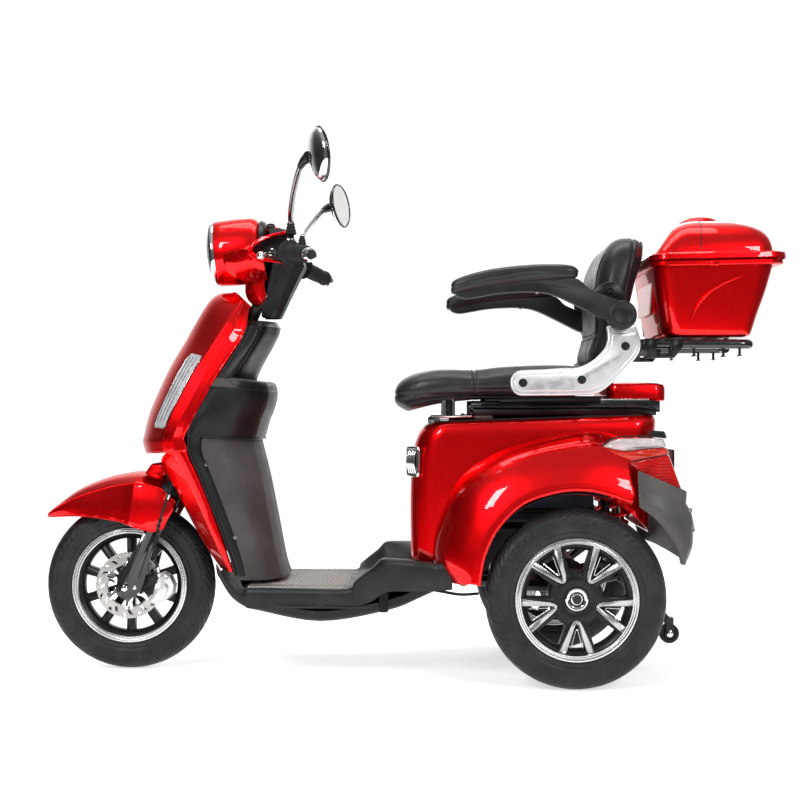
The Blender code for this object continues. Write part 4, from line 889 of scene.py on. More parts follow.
# ---------------------------------------------------------------- fork, fender and steering
def fork():
    """Lower legs with forged feet, seals, axle ends and calliper; upper tubes and crown are CAD nodes."""
    bars = []
    for side in (-1, 1):
        foot = steering_point(0, FORK_HALF * side)
        leg = [
            (0, -0.024), (0.012, -0.024), (0.0165, -0.018), (0.0165, 0.186), (0.0178, 0.188),
            (0.0178, 0.203), (0.016, 0.205)
        ]
        leg += [(0.0137, 0.205), (0.0137, 0.15), (0, 0.15)]
        add(bars, "gloss_black", lathe("leg", leg, foot, STEER, 40))
        outline = [
            (-0.021, -0.01), (-0.012, -0.023), (0.006, -0.027), (0.026, -0.018), (0.034, -0.002),
            (0.032, 0.012)
        ]
        outline += [(0.024, 0.026), (0.014, 0.046), (-0.006, 0.05), (-0.017, 0.03)]
        outline = [(FRONT_AXLE.x + x, FRONT_AXLE.z + z) for x, z in loop(outline, 4)]
        y = FORK_HALF * side
        add(bars, "gloss_black", slab("foot", outline, y - 0.011, y + 0.011, 0.0022, 3))
        casting = [
            (-0.018, -0.011), (-0.001, -0.02), (0.016, -0.017), (0.036, -0.009), (0.044, 0.012),
            (0.058, 0.066), (0.079, 0.132), (0.046, 0.138), (0.028, 0.099), (0.014, 0.079), (-0.012, 0.024)
        ]
        casting = [(FRONT_AXLE.x + x, FRONT_AXLE.z + z) for x, z in casting]
        add(bars, "gloss_black", slab("casting", casting, y + 0.004 * side, y + 0.015 * side, 0.0032, 3))
        for start, end in (((0.004, 0.016), (0.033, 0.096)), ((0.033, 0.022), (0.056, 0.092))):
            rib = [(FRONT_AXLE.x + x, y + 0.0152 * side, FRONT_AXLE.z + z) for x, z in (start, end)]
            add(bars, "gloss_black", sweep("casting_rib", rib, 0.0022, 10, 1))
        for x, z, size in ((0, 0, 0.0085), (0.0235, 0.001, 0.0052)):
            at = (FRONT_AXLE.x + x, y + 0.0148 * side, FRONT_AXLE.z + z)
            add(bars, "chrome", hex_nut("nut", at, (0, side, 0), size, size * 0.85))
        add(
            bars, "gloss_black",
            rod("brace", steering_point(0.125, y, -0.014), steering_point(0.165, y, -0.02), 0.005)
        )
    add(
        bars, "dark_chrome",
        rod("axle", FRONT_AXLE + Vector((0, -0.07, 0)), FRONT_AXLE + Vector((0, 0.07, 0)), 0.0074)
    )
    for side in (-1, 1):
        low, high = sorted((0.0375 * side, 0.067 * side))
        spacer = [(0.008, low), (0.013, low), (0.013, high), (0.008, high)]
        add(bars, "machined", lathe("spacer", spacer, FRONT_AXLE, (0, 1, 0), 32, True))
    place(merged("fork_legs", *bars), "fork_lower", "black_plastic", replaces=("fork_lowers",))
    body = [
        (-0.622, 0.168), (-0.606, 0.16), (-0.58, 0.168), (-0.563, 0.186), (-0.56, 0.206), (-0.57, 0.228),
        (-0.588, 0.238), (-0.606, 0.228), (-0.6, 0.205), (-0.607, 0.186)
    ]
    parts = [
        paint(slab("half", body, -0.06, -0.0425, 0.003, 3), "silver_paint"),
        paint(slab("half", [(x + 0.003, z) for x, z in body[2:8]], -0.034, -0.027, 0.0015), "cast_alloy"),
        paint(
            slab(
                "bridge",
                [
                    (-0.578, 0.17), (-0.561, 0.188), (-0.559, 0.208), (-0.569, 0.228), (-0.578, 0.222),
                    (-0.5815, 0.19)
                ],
                -0.044, -0.028, 0.002
            ),
            "cast_alloy"
        ),
        paint(
            slab(
                "bracket",
                [
                    (-0.64, 0.196), (-0.622, 0.178), (-0.585, 0.196), (-0.572, 0.226), (-0.59, 0.236),
                    (-0.622, 0.224)
                ],
                -0.058, -0.054, 0.0012
            ),
            "satin_black"
        ),
        paint(
            slab(
                "lug",
                [
                    (-0.638, 0.208), (-0.63, 0.198), (-0.605, 0.208), (-0.596, 0.226), (-0.61, 0.236),
                    (-0.628, 0.226)
                ],
                -0.064, -0.058, 0.0015
            ),
            "satin_black"
        ),
        paint(
            slab(
                "cheek",
                [
                    (-0.612, 0.176), (-0.6, 0.166), (-0.582, 0.172), (-0.574, 0.196), (-0.588, 0.216),
                    (-0.604, 0.21)
                ],
                -0.064, -0.06, 0.003, 3
            ),
            "silver_paint"
        ),
    ]
    for x, z in ((-0.592, 0.176), (-0.577, 0.224)):
        add(parts, "chrome", stud("pin", (x, -0.058, z), (0, -1, 0), 0.0048, 0.005))
    add(
        parts, "machined",
        lathe(
            "piston", [(0, 0), (0.0115, 0), (0.0115, 0.003), (0.0085, 0.0042), (0, 0.0042)],
            (-0.584, -0.058, 0.2), (0, -1, 0), 40
        )
    )
    place(merged("calliper", *parts), "fork_lower", "alloy", replaces=("brake_caliper",))
    keep("steering_column", "black_steel")
    crown = []
    for side in (-1, 1):
        seat = steering_point(0.283, FORK_HALF * side)
        crown.append(lathe(
            "socket",
            [
                (0.014, -0.004), (0.0225, -0.004), (0.024, 0), (0.024, 0.034), (0.0215, 0.038),
                (0.014, 0.038)
            ],
            seat, STEER, 40, True
        ))
        crown.append(stud(
            "pinch", steering_point(0.3, (FORK_HALF + 0.0185) * side, 0.01), (0, side, 0), 0.0052, 0.0055
        ))
    place(merged("crown_sockets", *crown), "steering", "black_steel", "satin_black")


FENDER_RIDGE = [
    (-0.874, 0.369, 0.012), (-0.868, 0.374, 0.028), (-0.846, 0.39, 0.046), (-0.793, 0.417, 0.06),
    (-0.725, 0.44, 0.076), (-0.67, 0.452, 0.094), (-0.648, 0.4545, 0.104), (-0.624, 0.4515, 0.106),
    (-0.583, 0.44, 0.1045), (-0.551, 0.408, 0.101),
]
FENDER_EDGE = [
    (-0.873, 0.366), (-0.866, 0.367), (-0.835, 0.369), (-0.795, 0.371), (-0.745, 0.369),
    (-0.685, 0.3605), (-0.66, 0.353), (-0.632, 0.344), (-0.598, 0.337), (-0.578, 0.345),
]


def front_fender():
    """Sharp-nosed guard with a crease under its crown, flared where it passes the fork."""
    rows = []
    for (x, z, half), (edge_x, edge_z) in zip(FENDER_RIDGE, FENDER_EDGE):
        drop = z - edge_z
        crown = 0.021 * min(1.0, max(0.0, (x + 0.872) / 0.1)) + 0.0012
        rows.append(across([
            (edge_x, -half * 1.0, edge_z),
            (edge_x * 0.6 + x * 0.4, -half * 1.015, edge_z + drop * 0.36),
            (edge_x * 0.2 + x * 0.8, -half * 1.0, edge_z + drop * 0.66),
            (x, -half * 0.93, z - drop * 0.03),
            (x, -half * 0.62, z + crown * 0.62),
            (x, -half * 0.22, z + crown * 0.95),
            (x, 0.0, z + crown),
        ]))
    guard = sheet("guard", surface(rows, 6, 4, (5, 6), (3, 9)), 0.0028, (0, 0, 1), 0.001)
    trim = []
    for side in (-1, 1):
        for place_in_row in (0, 3):
            line = [row[place_in_row if side < 0 else -1 - place_in_row] for row in rows[1:]]
            lift = 0.0012 if place_in_row else 0.0006
            line = [(x, y + lift * side, z) for x, y, z in line]
            trim.append(sweep("line", line, 0.0013, 8, 5))
    neck = []
    for x, z, half, length in (
        (-0.614, 0.46, 0.036, 0.056), (-0.608, 0.474, 0.033, 0.054), (-0.601, 0.488, 0.03, 0.05),
        (-0.596, 0.498, 0.028, 0.046)
    ):
        corners = [(-0.5, -1), (-0.5, 1), (0.5, 1), (0.5, -1)]
        neck.append([(x + u * length, half * v, z + u * 0.006) for u, v in corners])
    block = edged(loft("neck", neck), 0.003, 30, 3)
    place(
        merged(
            "fender_shell", paint(guard, "red_paint"), *[paint(t, "red_paint") for t in trim],
            paint(block, "red_paint")
        ),
        "steering", "red_paint", replaces=("front_fender",), angle=32
    )
    grommets = []
    for side in (-1, 1):
        at = steering_point(0.252, FORK_HALF * side)
        grommets.append(lathe(
            "grommet", [(0.015, -0.006), (0.0225, -0.006), (0.0225, 0.004), (0.0195, 0.01), (0.015, 0.014)],
            at, STEER, 40, True
        ))
    place(merged("fender_grommets", *grommets), "steering", "grip_rubber", "rubber")


BAR_ROUTE = [
    (-0.212, 0.352, 0.966), (-0.273, 0.2, 0.987), (-0.298, 0.13, 0.99), (-0.311, 0.06, 0.986),
    (-0.311, -0.06, 0.986), (-0.298, -0.13, 0.99), (-0.273, -0.2, 0.987), (-0.212, -0.352, 0.966),
]


def handlebar():
    bar = sweep("bar", BAR_ROUTE, 0.0108, 24, 6)
    clamp = lathe(
        "clamp",
        [(0.0146, 0), (0.0235, 0), (0.024, 0.004), (0.024, 0.044), (0.0225, 0.048), (0.0146, 0.048)],
        steering_point(0.815), STEER, 40, True
    )
    perch = lathe(
        "perch", [(0, 0), (0.0175, 0), (0.019, 0.003), (0.019, 0.052), (0.017, 0.058), (0, 0.058)],
        (-0.2945, 0.14, 0.9887), (0.0197, 0.055, -0.0017), 40
    )
    bosses = []
    for side in (-1, 1):
        foot = (-0.273, 0.172 * side, 0.984)
        add(
            bosses, "satin_black",
            lathe(
                "boss",
                [
                    (0, 0), (0.012, 0), (0.012, 0.026), (0.0095, 0.029), (0.0078, 0.03), (0.0078, 0.046),
                    (0, 0.046)
                ],
                foot, (0.0015, 0, 0.046), 40
            )
        )
        add(
            bosses, "dark_chrome",
            hex_nut("boss_nut", (-0.2721, 0.172 * side, 1.013), (0, 0, 1), 0.0112, 0.009)
        )
    place(
        merged(
            "bar_and_clamp",
            *[paint(o, "black_steel") for o in (bar, clamp)],
            paint(perch, "satin_black"), *bosses
        ),
        "steering", "black_steel", replaces=("handlebar",)
    )
    for name, side in SIDES.items():
        inner = Vector((-0.273, 0.2 * side, 0.987))
        outer = Vector((-0.212, 0.352 * side, 0.966))
        along = (outer - inner).normalized()
        profile = [
            (0.0125, 0.001), (0.027, 0.001), (0.0282, 0.0025), (0.0282, 0.005), (0.0265, 0.0068),
            (0.019, 0.0082)
        ]
        at = 0.012
        while at < 0.122:
            swell = 0.0166 + 0.0016 * math.sin((at - 0.012) / 0.11 * math.pi * 0.9 + 0.4)
            profile += [
                (swell, at), (swell + 0.0011, at + 0.0012), (swell + 0.0011, at + 0.0034),
                (swell, at + 0.0046)
            ]
            at += 0.0068
        profile += [(0.0188, 0.126), (0.0195, 0.129), (0.0195, 0.132), (0.0175, 0.135), (0.0125, 0.1352)]
        grip = lathe("grip", profile, inner, along, 56, True)
        body = "steering" if name == "left" else "throttle"
        node = "grip_left" if name == "left" else "throttle_grip"
        place(grip, body, "grip_rubber", "rubber", (node,)).name = "ribbed_" + node
        end = [
            (0, 0.134), (0.0125, 0.1345), (0.0165, 0.1375), (0.0168, 0.144), (0.014, 0.15),
            (0.0105, 0.1512), (0.009, 0.148), (0, 0.1478)
        ]
        weight = lathe("bar_end_" + name, [(r, d + 0.0125) for r, d in end], inner, along, 48)
        place(weight, "steering", "chrome", "chrome")
    low, high = Vector((-0.2945, -0.14, 0.9887)), Vector((-0.274, -0.197, 0.9872))
    run = high - low
    profile = [
        (0.013, 0.001), (0.0185, 0.001), (0.021, 0.004), (0.021, run.length * 0.46),
        (0.02, run.length * 0.475), (0.021, run.length * 0.49), (0.021, run.length - 0.004),
        (0.019, run.length - 0.001), (0.013, run.length - 0.001)
    ]
    parts = [paint(lathe("switch", profile, low, run, 48, True), "satin_black")]
    for share, look in ((0.24, "satin_black"), (0.52, "grey_bumper")):
        at = low + run * share
        key = [
            (at.x - 0.006, at.z + 0.0195), (at.x + 0.006, at.z + 0.0195), (at.x + 0.0045, at.z + 0.0245),
            (at.x - 0.0045, at.z + 0.0235)
        ]
        add(parts, look, slab("rocker", key, at.y - 0.006, at.y + 0.006, 0.0012))
    place(merged("switch_box", *parts), "steering", "black_plastic", replaces=("switch_left",))
    low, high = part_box("horn_button")
    horn = lathe(
        "horn_cap", [(0, 0), (0.0056, 0), (0.0056, 0.008), (0.0046, 0.0098), (0, 0.0105)],
        (low.x, (low.y + high.y) / 2, (low.z + high.z) / 2), (1, 0, 0), 32
    )
    place(horn, "horn", "red_paint", "red_paint", ("horn_button",))


def levers_and_mirrors():
    for name, side in SIDES.items():
        route = mirrored(
            [
                (-0.316, 0.152, 0.9865), (-0.3205, 0.168, 0.986), (-0.329, 0.2, 0.984),
                (-0.331, 0.26, 0.9775), (-0.322, 0.305, 0.9705), (-0.3225, 0.322, 0.968)
            ],
            side
        )
        blade = sweep("blade", route, [0.0088, 0.0082, 0.0068, 0.0062, 0.0056, 0.0052], 20, 7, 0.72)
        ball = lathe(
            "ball", [(0.009 * math.sin(a), -0.009 * math.cos(a)) for a in np.linspace(0, math.pi, 13)],
            (-0.325, 0.331 * side, 0.966), (-0.2, side, -0.2), 28
        )
        place(
            merged("lever_blade_" + name, blade, ball),
            "lever_" + name, "chrome", "chrome", ("brake_lever_" + name,)
        )
        holder = sweep(
            "holder",
            mirrored([(-0.296, 0.158, 0.988), (-0.312, 0.158, 0.9865), (-0.318, 0.16, 0.986)], side),
            [0.0125, 0.0105, 0.0098], 20, 4
        )
        pin = stud("pin", (-0.317, 0.159 * side, 0.995), (0, 0, 1), 0.005, 0.004)
        place(
            merged("lever_holder_" + name, paint(holder, "satin_black"), paint(pin, "chrome")),
            "steering", "black_plastic"
        )
        foot = Vector((-0.2715, 0.172 * side, 1.03))
        boot = lathe(
            "boot",
            [
                (0, 0.0006), (0.0125, 0.0006), (0.0135, 0.004), (0.0115, 0.007), (0.0125, 0.01),
                (0.01, 0.0135), (0.0108, 0.017), (0.0085, 0.021), (0.0092, 0.025), (0.007, 0.029),
                (0.0062, 0.035), (0, 0.036)
            ],
            foot, (0, 0, 1), 36
        )
        stalk_base = [
            (-0.2715, 0.172, 1.0315), (-0.2712, 0.178, 1.062), (-0.268, 0.215, 1.076), (-0.256, 0.29, 1.11),
            (-0.24, 0.36, 1.144), (-0.229, 0.392, 1.16)
        ]
        rod_part = paint(sweep("stalk", mirrored(stalk_base, side), 0.0066, 18, 7), "dark_chrome")
        centre = Vector((-0.19, 0.43 * side, 1.176))
        facing, first, second = frame_of((0.93, -0.34 * side, 0.14))
        joint = paint(
            sweep(
                "joint",
                mirrored([(-0.233, 0.383, 1.1555), (-0.224, 0.402, 1.164), (-0.212, 0.418, 1.171)], side),
                [0.0075, 0.01, 0.013], 20, 4
            ),
            "satin_black"
        )
        outline = mirror_outline(first, second)
        rows = []
        for size, depth in (
            (1.0, 0.003), (0.985, -0.001), (0.93, -0.006), (0.8, -0.0112), (0.55, -0.016), (0.25, -0.0186),
            (0.02, -0.0192)
        ):
            rows.append([centre + p * size + facing * depth for p in outline])
        dome = outwards(loft("dome", rows))
        rim = sweep(
            "rim", [tuple(centre + p * 1.0 + facing * 0.0045) for p in outline[::4]], 0.0034, 14, 4,
            closed=True
        )
        face = loft("glass", [[centre + p * 0.965 + facing * d for p in outline] for d in (0.004, 0.0058)])
        head = merged(
            "mirror_head_" + name, paint(boot, "rubber"), rod_part, joint, paint(dome, "chrome"),
            paint(rim, "gloss_black"), paint(face, "mirror_glass")
        )
        place(head, "mirror_" + name, "chrome", replaces=("mirror_" + name,))


def mirror_outline(first, second):
    """Round mirror that runs out to a blunt corner at its lower inner edge."""
    outline = []
    for a in np.arange(72) * 2 * math.pi / 72:
        pointed = max(0.0, math.cos(a)) ** 10
        outline.append((first * math.cos(a) + second * math.sin(a)) * (0.056 + 0.003 * pointed))
    return outline


def headlight():
    """Red lamp bucket with its chrome bezel and lens, black rear cap, side wings and hump."""
    centre = Vector((-0.41, 0, 1.0065))
    pitch = Vector((-1, 0, -0.09)).normalized()
    shell = [
        (0.0735, 0.054), (0.077, 0.055), (0.0785, 0.052), (0.079, 0.03), (0.08, 0.01), (0.0802, -0.01),
        (0.0798, -0.036), (0.0756, -0.048), (0.067, -0.056), (0.056, -0.06), (0, -0.062), (0, -0.059),
        (0.054, -0.057), (0.073, -0.044), (0.0765, 0.0), (0.0735, 0.04)
    ]
    bucket = paint(lathe("bucket", shell, centre, pitch, 96, True), "red_paint")
    facets = []
    for side in (-1, 1):
        line = [
            centre + Vector((x, y * side, z))
            for x, y, z in (
                (-0.042, 0.06, 0.052), (-0.01, 0.064, 0.05), (0.03, 0.061, 0.047), (0.05, 0.05, 0.042)
            )
        ]
        add(facets, "red_paint", sweep("facet", line, [0.0012, 0.002, 0.002, 0.001], 10, 6))
    wings = []
    cheek_line = [
        # upper edge, ridge, middle and lower edge of each section of the cheek
        ((-0.4395, 0.078, 0.996), (-0.44, 0.0785, 0.9914), (-0.4395, 0.0775, 0.975), (-0.435, 0.064, 0.955)),
        ((-0.415, 0.078, 1.009), (-0.415, 0.09, 0.9995), (-0.413, 0.086, 0.969), (-0.41, 0.062, 0.938)),
        ((-0.396, 0.078, 1.015), (-0.396, 0.098, 1.003), (-0.393, 0.09, 0.966), (-0.388, 0.06, 0.93)),
        ((-0.38, 0.078, 1.018), (-0.379, 0.105, 1.001), (-0.374, 0.093, 0.964), (-0.368, 0.058, 0.929)),
        ((-0.365, 0.078, 1.016), (-0.362, 0.106, 0.983), (-0.358, 0.094, 0.957), (-0.35, 0.056, 0.931)),
        ((-0.342, 0.078, 1.0), (-0.34, 0.098, 0.972), (-0.338, 0.088, 0.952), (-0.335, 0.054, 0.934)),
    ]
    for side in (-1, 1):
        net = surface([mirrored(row, side) for row in cheek_line], 5, 5, (), (1,))
        add(wings, "red_paint", sheet("cheek", net, 0.0026, (0, side, 0), 0.0008))
        bow = [
            (-0.3783, 1.0007), (-0.3671, 1.015), (-0.3466, 1.0294), (-0.3161, 1.0385), (-0.2837, 1.044),
            (-0.2837, 1.0378), (-0.3161, 1.0322), (-0.3426, 1.0218), (-0.3625, 1.009), (-0.366, 1.0),
            (-0.3625, 0.9925), (-0.353, 0.9862), (-0.3426, 0.9826), (-0.3161, 0.9768), (-0.295, 0.9722),
            (-0.295, 0.968), (-0.3161, 0.97), (-0.343, 0.974), (-0.364, 0.98), (-0.376, 0.9895)
        ]
        rings = [
            [(x + back, y * side, z) for x, z in bow]
            for y, back in ((0.076, 0.004), (0.118, 0.001), (0.128, 0.0), (0.13, 0.002))
        ]
        add(wings, "red_paint", edged(loft("cowl", rings), 0.0012, 35, 3))
        # Painted shade: a black plate closes the cowl's opening and stands for the dark cavity behind the
        # bow.
        opening = [
            (-0.365, 1.0), (-0.3615, 1.0095), (-0.342, 1.0225), (-0.3161, 1.0328), (-0.28, 1.0384),
            (-0.272, 1.0), (-0.294, 0.9718), (-0.3161, 0.9764), (-0.3426, 0.9822), (-0.353, 0.9858),
            (-0.3615, 0.9922)
        ]
        add(wings, "satin_black", slab("cowl_shade_plate", opening, 0.095 * side, 0.099 * side, 0.0005))
        add(wings, "chrome", stud("cowl_bolt", (-0.346, 0.099 * side, 0.993), (0, side, 0), 0.005, 0.006))
    neck_rows = []
    for x, z, half in (
        (-0.39, 0.944, 0.052), (-0.396, 0.925, 0.05), (-0.395, 0.902, 0.046), (-0.383, 0.883, 0.042),
        (-0.36, 0.87, 0.04)
    ):
        neck_rows.append(across([
            (x + 0.052, -half, z + 0.004), (x + 0.02, -half * 0.96, z + 0.002),
            (x + 0.004, -half * 0.66, z), (x, 0.0, z)
        ]))
    neck = paint(sheet("neck", surface(neck_rows, 5, 4, (), (2, 4)), 0.003, (-1, 0, 0)), "red_paint")
    place(
        merged("lamp_bucket", bucket, neck, *facets, *wings),
        "steering", "red_paint", replaces=("headlight_housing",), angle=32
    )
    hump = []
    for x, half, top in (
        (-0.342, 0.05, 1.06), (-0.335, 0.058, 1.068), (-0.32, 0.062, 1.067), (-0.306, 0.06, 1.064),
        (-0.301, 0.054, 1.056)
    ):
        hump.append([
            (x, half * math.sin(a), top - 0.02 * (1 - math.cos(a)) ** 1.3)
            for a in np.linspace(-1.35, 1.35, 25)
        ])
    place(
        sheet("instrument_hood", surface(hump, 5, 1), 0.003, (0, 0, 1)),
        "steering", "red_paint", "red_paint"
    )
    bezel = [
        (0.07, 0.05), (0.077, 0.0505), (0.0782, 0.056), (0.0772, 0.062), (0.074, 0.0655), (0.0705, 0.066),
        (0.069, 0.063)
    ]
    place(lathe("lamp_bezel", bezel, centre, pitch, 120, True), "steering", "chrome", "chrome")
    dome = [
        (0, 0.0775), (0.02, 0.077), (0.04, 0.0745), (0.056, 0.0705), (0.0695, 0.064), (0.07, 0.062),
        (0.056, 0.068), (0.04, 0.0718), (0.02, 0.0744), (0, 0.075)
    ]
    place(
        lathe("lamp_lens", dome, centre, pitch, 96),
        "steering", "clear_lens", "clear_lens", ("headlight_lens",)
    )
    bowl = [
        (0.069, 0.06), (0.06, 0.038), (0.044, 0.018), (0.026, 0.006), (0.011, 0.001), (0, 0.0), (0, -0.002),
        (0.012, -0.0015), (0.027, 0.004), (0.0455, 0.016), (0.062, 0.0365), (0.07, 0.059)
    ]
    parts = [paint(lathe("bowl", bowl, centre, pitch, 96, False), "chrome")]
    add(
        parts, "spun_alloy",
        lathe(
            "bulb",
            [
                (0, 0.001), (0.01, 0.0012), (0.01, 0.014), (0.013, 0.02), (0.013, 0.032), (0.009, 0.039),
                (0, 0.041)
            ],
            centre, pitch, 32
        )
    )
    for turn in np.arange(10) * 2 * math.pi / 10:
        first, second = frame_of(pitch)[1:]
        out = first * math.cos(turn) + second * math.sin(turn)
        rib = [
            tuple(centre + out * r + pitch * (d + 0.0016))
            for r, d in ((0.018, 0.004), (0.044, 0.018), (0.066, 0.05))
        ]
        add(parts, "chrome", sweep("rib", rib, 0.0012, 6, 4))
    place(merged("lamp_reflector", *parts), "steering", "chrome")
    cap = []
    for x, size in ((-0.36, 0.074), (-0.358, 0.08), (-0.348, 0.077), (-0.34, 0.068), (-0.337, 0.058)):
        cap.append([
            (x, size * 0.98 * math.sin(a), 1.003 + size * math.cos(a))
            for a in np.arange(72) * 2 * math.pi / 72
        ])
    place(edged(loft("lamp_back_cap", cap), 0.0008), "steering", "black_plastic", "satin_black")


def cover_and_key():
    """Black column cover and instrument surround, with its screen, key and screws."""
    rows = []
    for z, front, back, half in (
        (0.845, -0.35, -0.312, 0.034), (0.857, -0.353, -0.306, 0.038), (0.905, -0.34, -0.284, 0.046),
        (0.966, -0.326, -0.254, 0.058), (0.972, -0.326, -0.253, 0.06), (1.01, -0.328, -0.264, 0.063),
        (1.044, -0.331, -0.282, 0.064), (1.058, -0.333, -0.298, 0.062)
    ):
        rows.append(across([
            (front, -half, z), (back * 0.7 + front * 0.3, -half, z), (back + 0.002, -half * 0.66, z),
            (back, -half * 0.3, z), (back, 0.0, z)
        ]))
    cover = sheet("column_cover", surface(rows, 4, 4, (4,), (1, 2, 6, 7)), 0.0028, (1, 0, 0), 0.0016)
    place(cover, "steering", "black_plastic", "black_plastic", ("handlebar_cover",))
    facia = [(-0.334, 1.06), (-0.296, 1.052), (-0.286, 1.042), (-0.285, 1.039), (-0.334, 1.0555)]
    screen = [(-0.329, 1.0612), (-0.2985, 1.0548), (-0.2988, 1.0536), (-0.3292, 1.0598)]
    parts = [
        paint(slab("facia", facia, -0.06, 0.06, 0.0012), "satin_black"),
        paint(slab("screen", screen, -0.02, 0.048, 0.0004), "display")
    ]
    for turn in range(9):
        a = math.radians(-60 + turn * 15)
        start = Vector((-0.314, 0.014, 1.0594)) + Vector((
            -math.cos(a) * 0.0105, math.sin(a) * 0.018, math.cos(a) * 0.0022
        ))
        end = Vector((-0.314, 0.014, 1.0594)) + Vector((
            -math.cos(a) * 0.013, math.sin(a) * 0.022, math.cos(a) * 0.0027
        ))
        add(parts, "silver_paint", rod("tick", start, end, 0.0005, 6))
    needle = rod("needle", (-0.312, 0.014, 1.0592), (-0.32, 0.002, 1.0612), 0.0006, 8)
    add(parts, "red_paint", needle)
    low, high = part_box("ignition_key")
    at = ((low.x + high.x) / 2, (low.y + high.y) / 2, low.z)
    add(
        parts, "satin_black",
        lathe(
            "lock_ring",
            [(0.0066, 0.006), (0.01, 0.006), (0.0105, 0.012), (0.0085, 0.014), (0.0066, 0.014)], at,
            (0, 0, 1), 36, True
        )
    )
    place(merged("instrument", *parts), "steering", "black_plastic")
    bow = loop(
        [
            (-0.0098, 0.0), (-0.011, 0.008), (-0.0075, 0.015), (0.0, 0.0165), (0.0075, 0.015),
            (0.011, 0.008), (0.0098, 0.0), (0.0, -0.002)
        ],
        5
    )
    key = slab(
        "bow", [(at[0] + x, high.z - 0.0318 + z) for x, z in bow], at[1] - 0.0012, at[1] + 0.0012, 0.0005
    )
    barrel = lathe(
        "barrel",
        [
            (0, 0.001), (0.006, 0.001), (0.006, high.z - low.z - 0.034), (0.0045, high.z - low.z - 0.0325),
            (0, high.z - low.z - 0.0325)
        ],
        at, (0, 0, 1), 28
    )
    place(
        merged("key_and_barrel", paint(key, "satin_black"), paint(barrel, "chrome")),
        "key", "chrome", replaces=("ignition_key",)
    )
    screws = []
    for side in (-1, 1):
        screws.append(stud("screw", (-0.337, 0.0445 * side, 0.893), (0, side, 0), 0.0042, 0.0032))
        screws.append(stud("screw", (-0.29, 0.059 * side, 0.985), (0, side, 0), 0.0036, 0.0028))
    place(merged("cover_screws", *screws), "steering", "chrome", "dark_chrome")


def brake_hose():
    route = [
        (-0.3, -0.112, 0.966), (-0.306, -0.102, 0.936), (-0.33, -0.076, 0.896), (-0.376, -0.06, 0.84),
        (-0.43, -0.054, 0.74), (-0.48, -0.056, 0.63), (-0.52, -0.076, 0.545), (-0.542, -0.106, 0.485),
        (-0.566, -0.112, 0.42), (-0.588, -0.112, 0.35), (-0.597, -0.106, 0.29), (-0.595, -0.078, 0.24)
    ]
    hose = paint(sweep("hose", route, 0.0031, 14, 8), "rubber")
    parts = [hose]
    line = smooth(route, 10)
    for number in range(88, 104, 2):
        at, after = Vector(line[number]), Vector(line[number + 1])
        add(
            parts, "rubber",
            lathe("fold", [(0.0032, -0.0022), (0.0062, 0), (0.0032, 0.0022)], at, after - at, 20)
        )
    at, after = Vector(line[80]), Vector(line[81])
    add(
        parts, "chrome",
        lathe(
            "clip", [(0.0033, -0.006), (0.0068, -0.006), (0.0068, 0.006), (0.0033, 0.006)], at, after - at,
            24, True
        )
    )
    at, after = Vector(line[-3]), Vector(line[-1])
    add(
        parts, "chrome",
        lathe(
            "end", [(0, -0.004), (0.005, -0.004), (0.005, 0.01), (0.004, 0.012), (0, 0.012)], at,
            after - at, 6
        )
    )
    place(merged("front_hose", *parts), "steering", "grip_rubber", replaces=("brake_hose",))


# ---------------------------------------------------------------- front shield
RIM_LINE = [
    # rear rim of the shield: x, z and half width, then the point on its middle edge
    ((-0.376, 0.864, 0.106), (-0.418, 0.908)),
    ((-0.383, 0.805, 0.128), (-0.476, 0.892)),
    ((-0.414, 0.75, 0.152), (-0.54, 0.787)),
    ((-0.4465, 0.695, 0.172), (-0.574, 0.729)),
    ((-0.472, 0.646, 0.184), (-0.602, 0.67)),
    ((-0.498, 0.598, 0.192), (-0.625, 0.613)),
    ((-0.516, 0.56, 0.192), (-0.6405, 0.549)),
    ((-0.508, 0.53, 0.19), (-0.633, 0.52)),
]
SPREAD = ((0.0, 1.0), (0.22, 1.02), (0.4, 0.96), (0.74, 0.62), (0.93, 0.3), (1.0, 0.0))
LEG_LINE = [
    ((-0.499, 0.505, 0.188), (-0.578, 0.5)),
    ((-0.467, 0.43, 0.18), (-0.54, 0.426)),
    ((-0.428, 0.32, 0.17), (-0.485, 0.318)),
    ((-0.405, 0.248, 0.16), (-0.442, 0.252)),
]


def shield_row(rim, front):
    row = []
    for along, wide in SPREAD:
        row.append((
            rim[0] + (front[0] - rim[0]) * along, -rim[2] * wide, rim[1] + (front[1] - rim[1]) * along
        ))
    return row


def leg_row(rim, front):
    return [
        (rim[0], -rim[2], rim[1]),
        (rim[0] * 0.72 + front[0] * 0.28, -rim[2] * 1.02, rim[1] * 0.72 + front[1] * 0.28),
        (front[0], -rim[2] * 0.68, front[1]),
    ]


SHIELD_HALF = surface([shield_row(*pair) for pair in RIM_LINE], 6, 6, (6,), (2,))


def on_shield(s, t, lift, side):
    """A point of the shield's skin: s runs down its rows, t from the rim to the middle."""
    u = s * 6
    v = t * 6
    i, j = int(min(u, SHIELD_HALF.shape[0] - 2)), int(min(v, SHIELD_HALF.shape[1] - 2))
    a, b = u - i, v - j
    net = SHIELD_HALF
    point = (net[i, j] * (1 - b) + net[i, j + 1] * b) * (1 - a) + (
        net[i + 1, j] * (1 - b) + net[i + 1, j + 1] * b
    ) * a
    normal = np.cross(net[i + 1, j] - net[i, j], net[i, j + 1] - net[i, j])
    normal = normal / np.linalg.norm(normal)
    if normal[1] > 0:
        normal = -normal
    point = point + normal * lift
    return (float(point[0]), float(point[1]) * -side, float(point[2]))


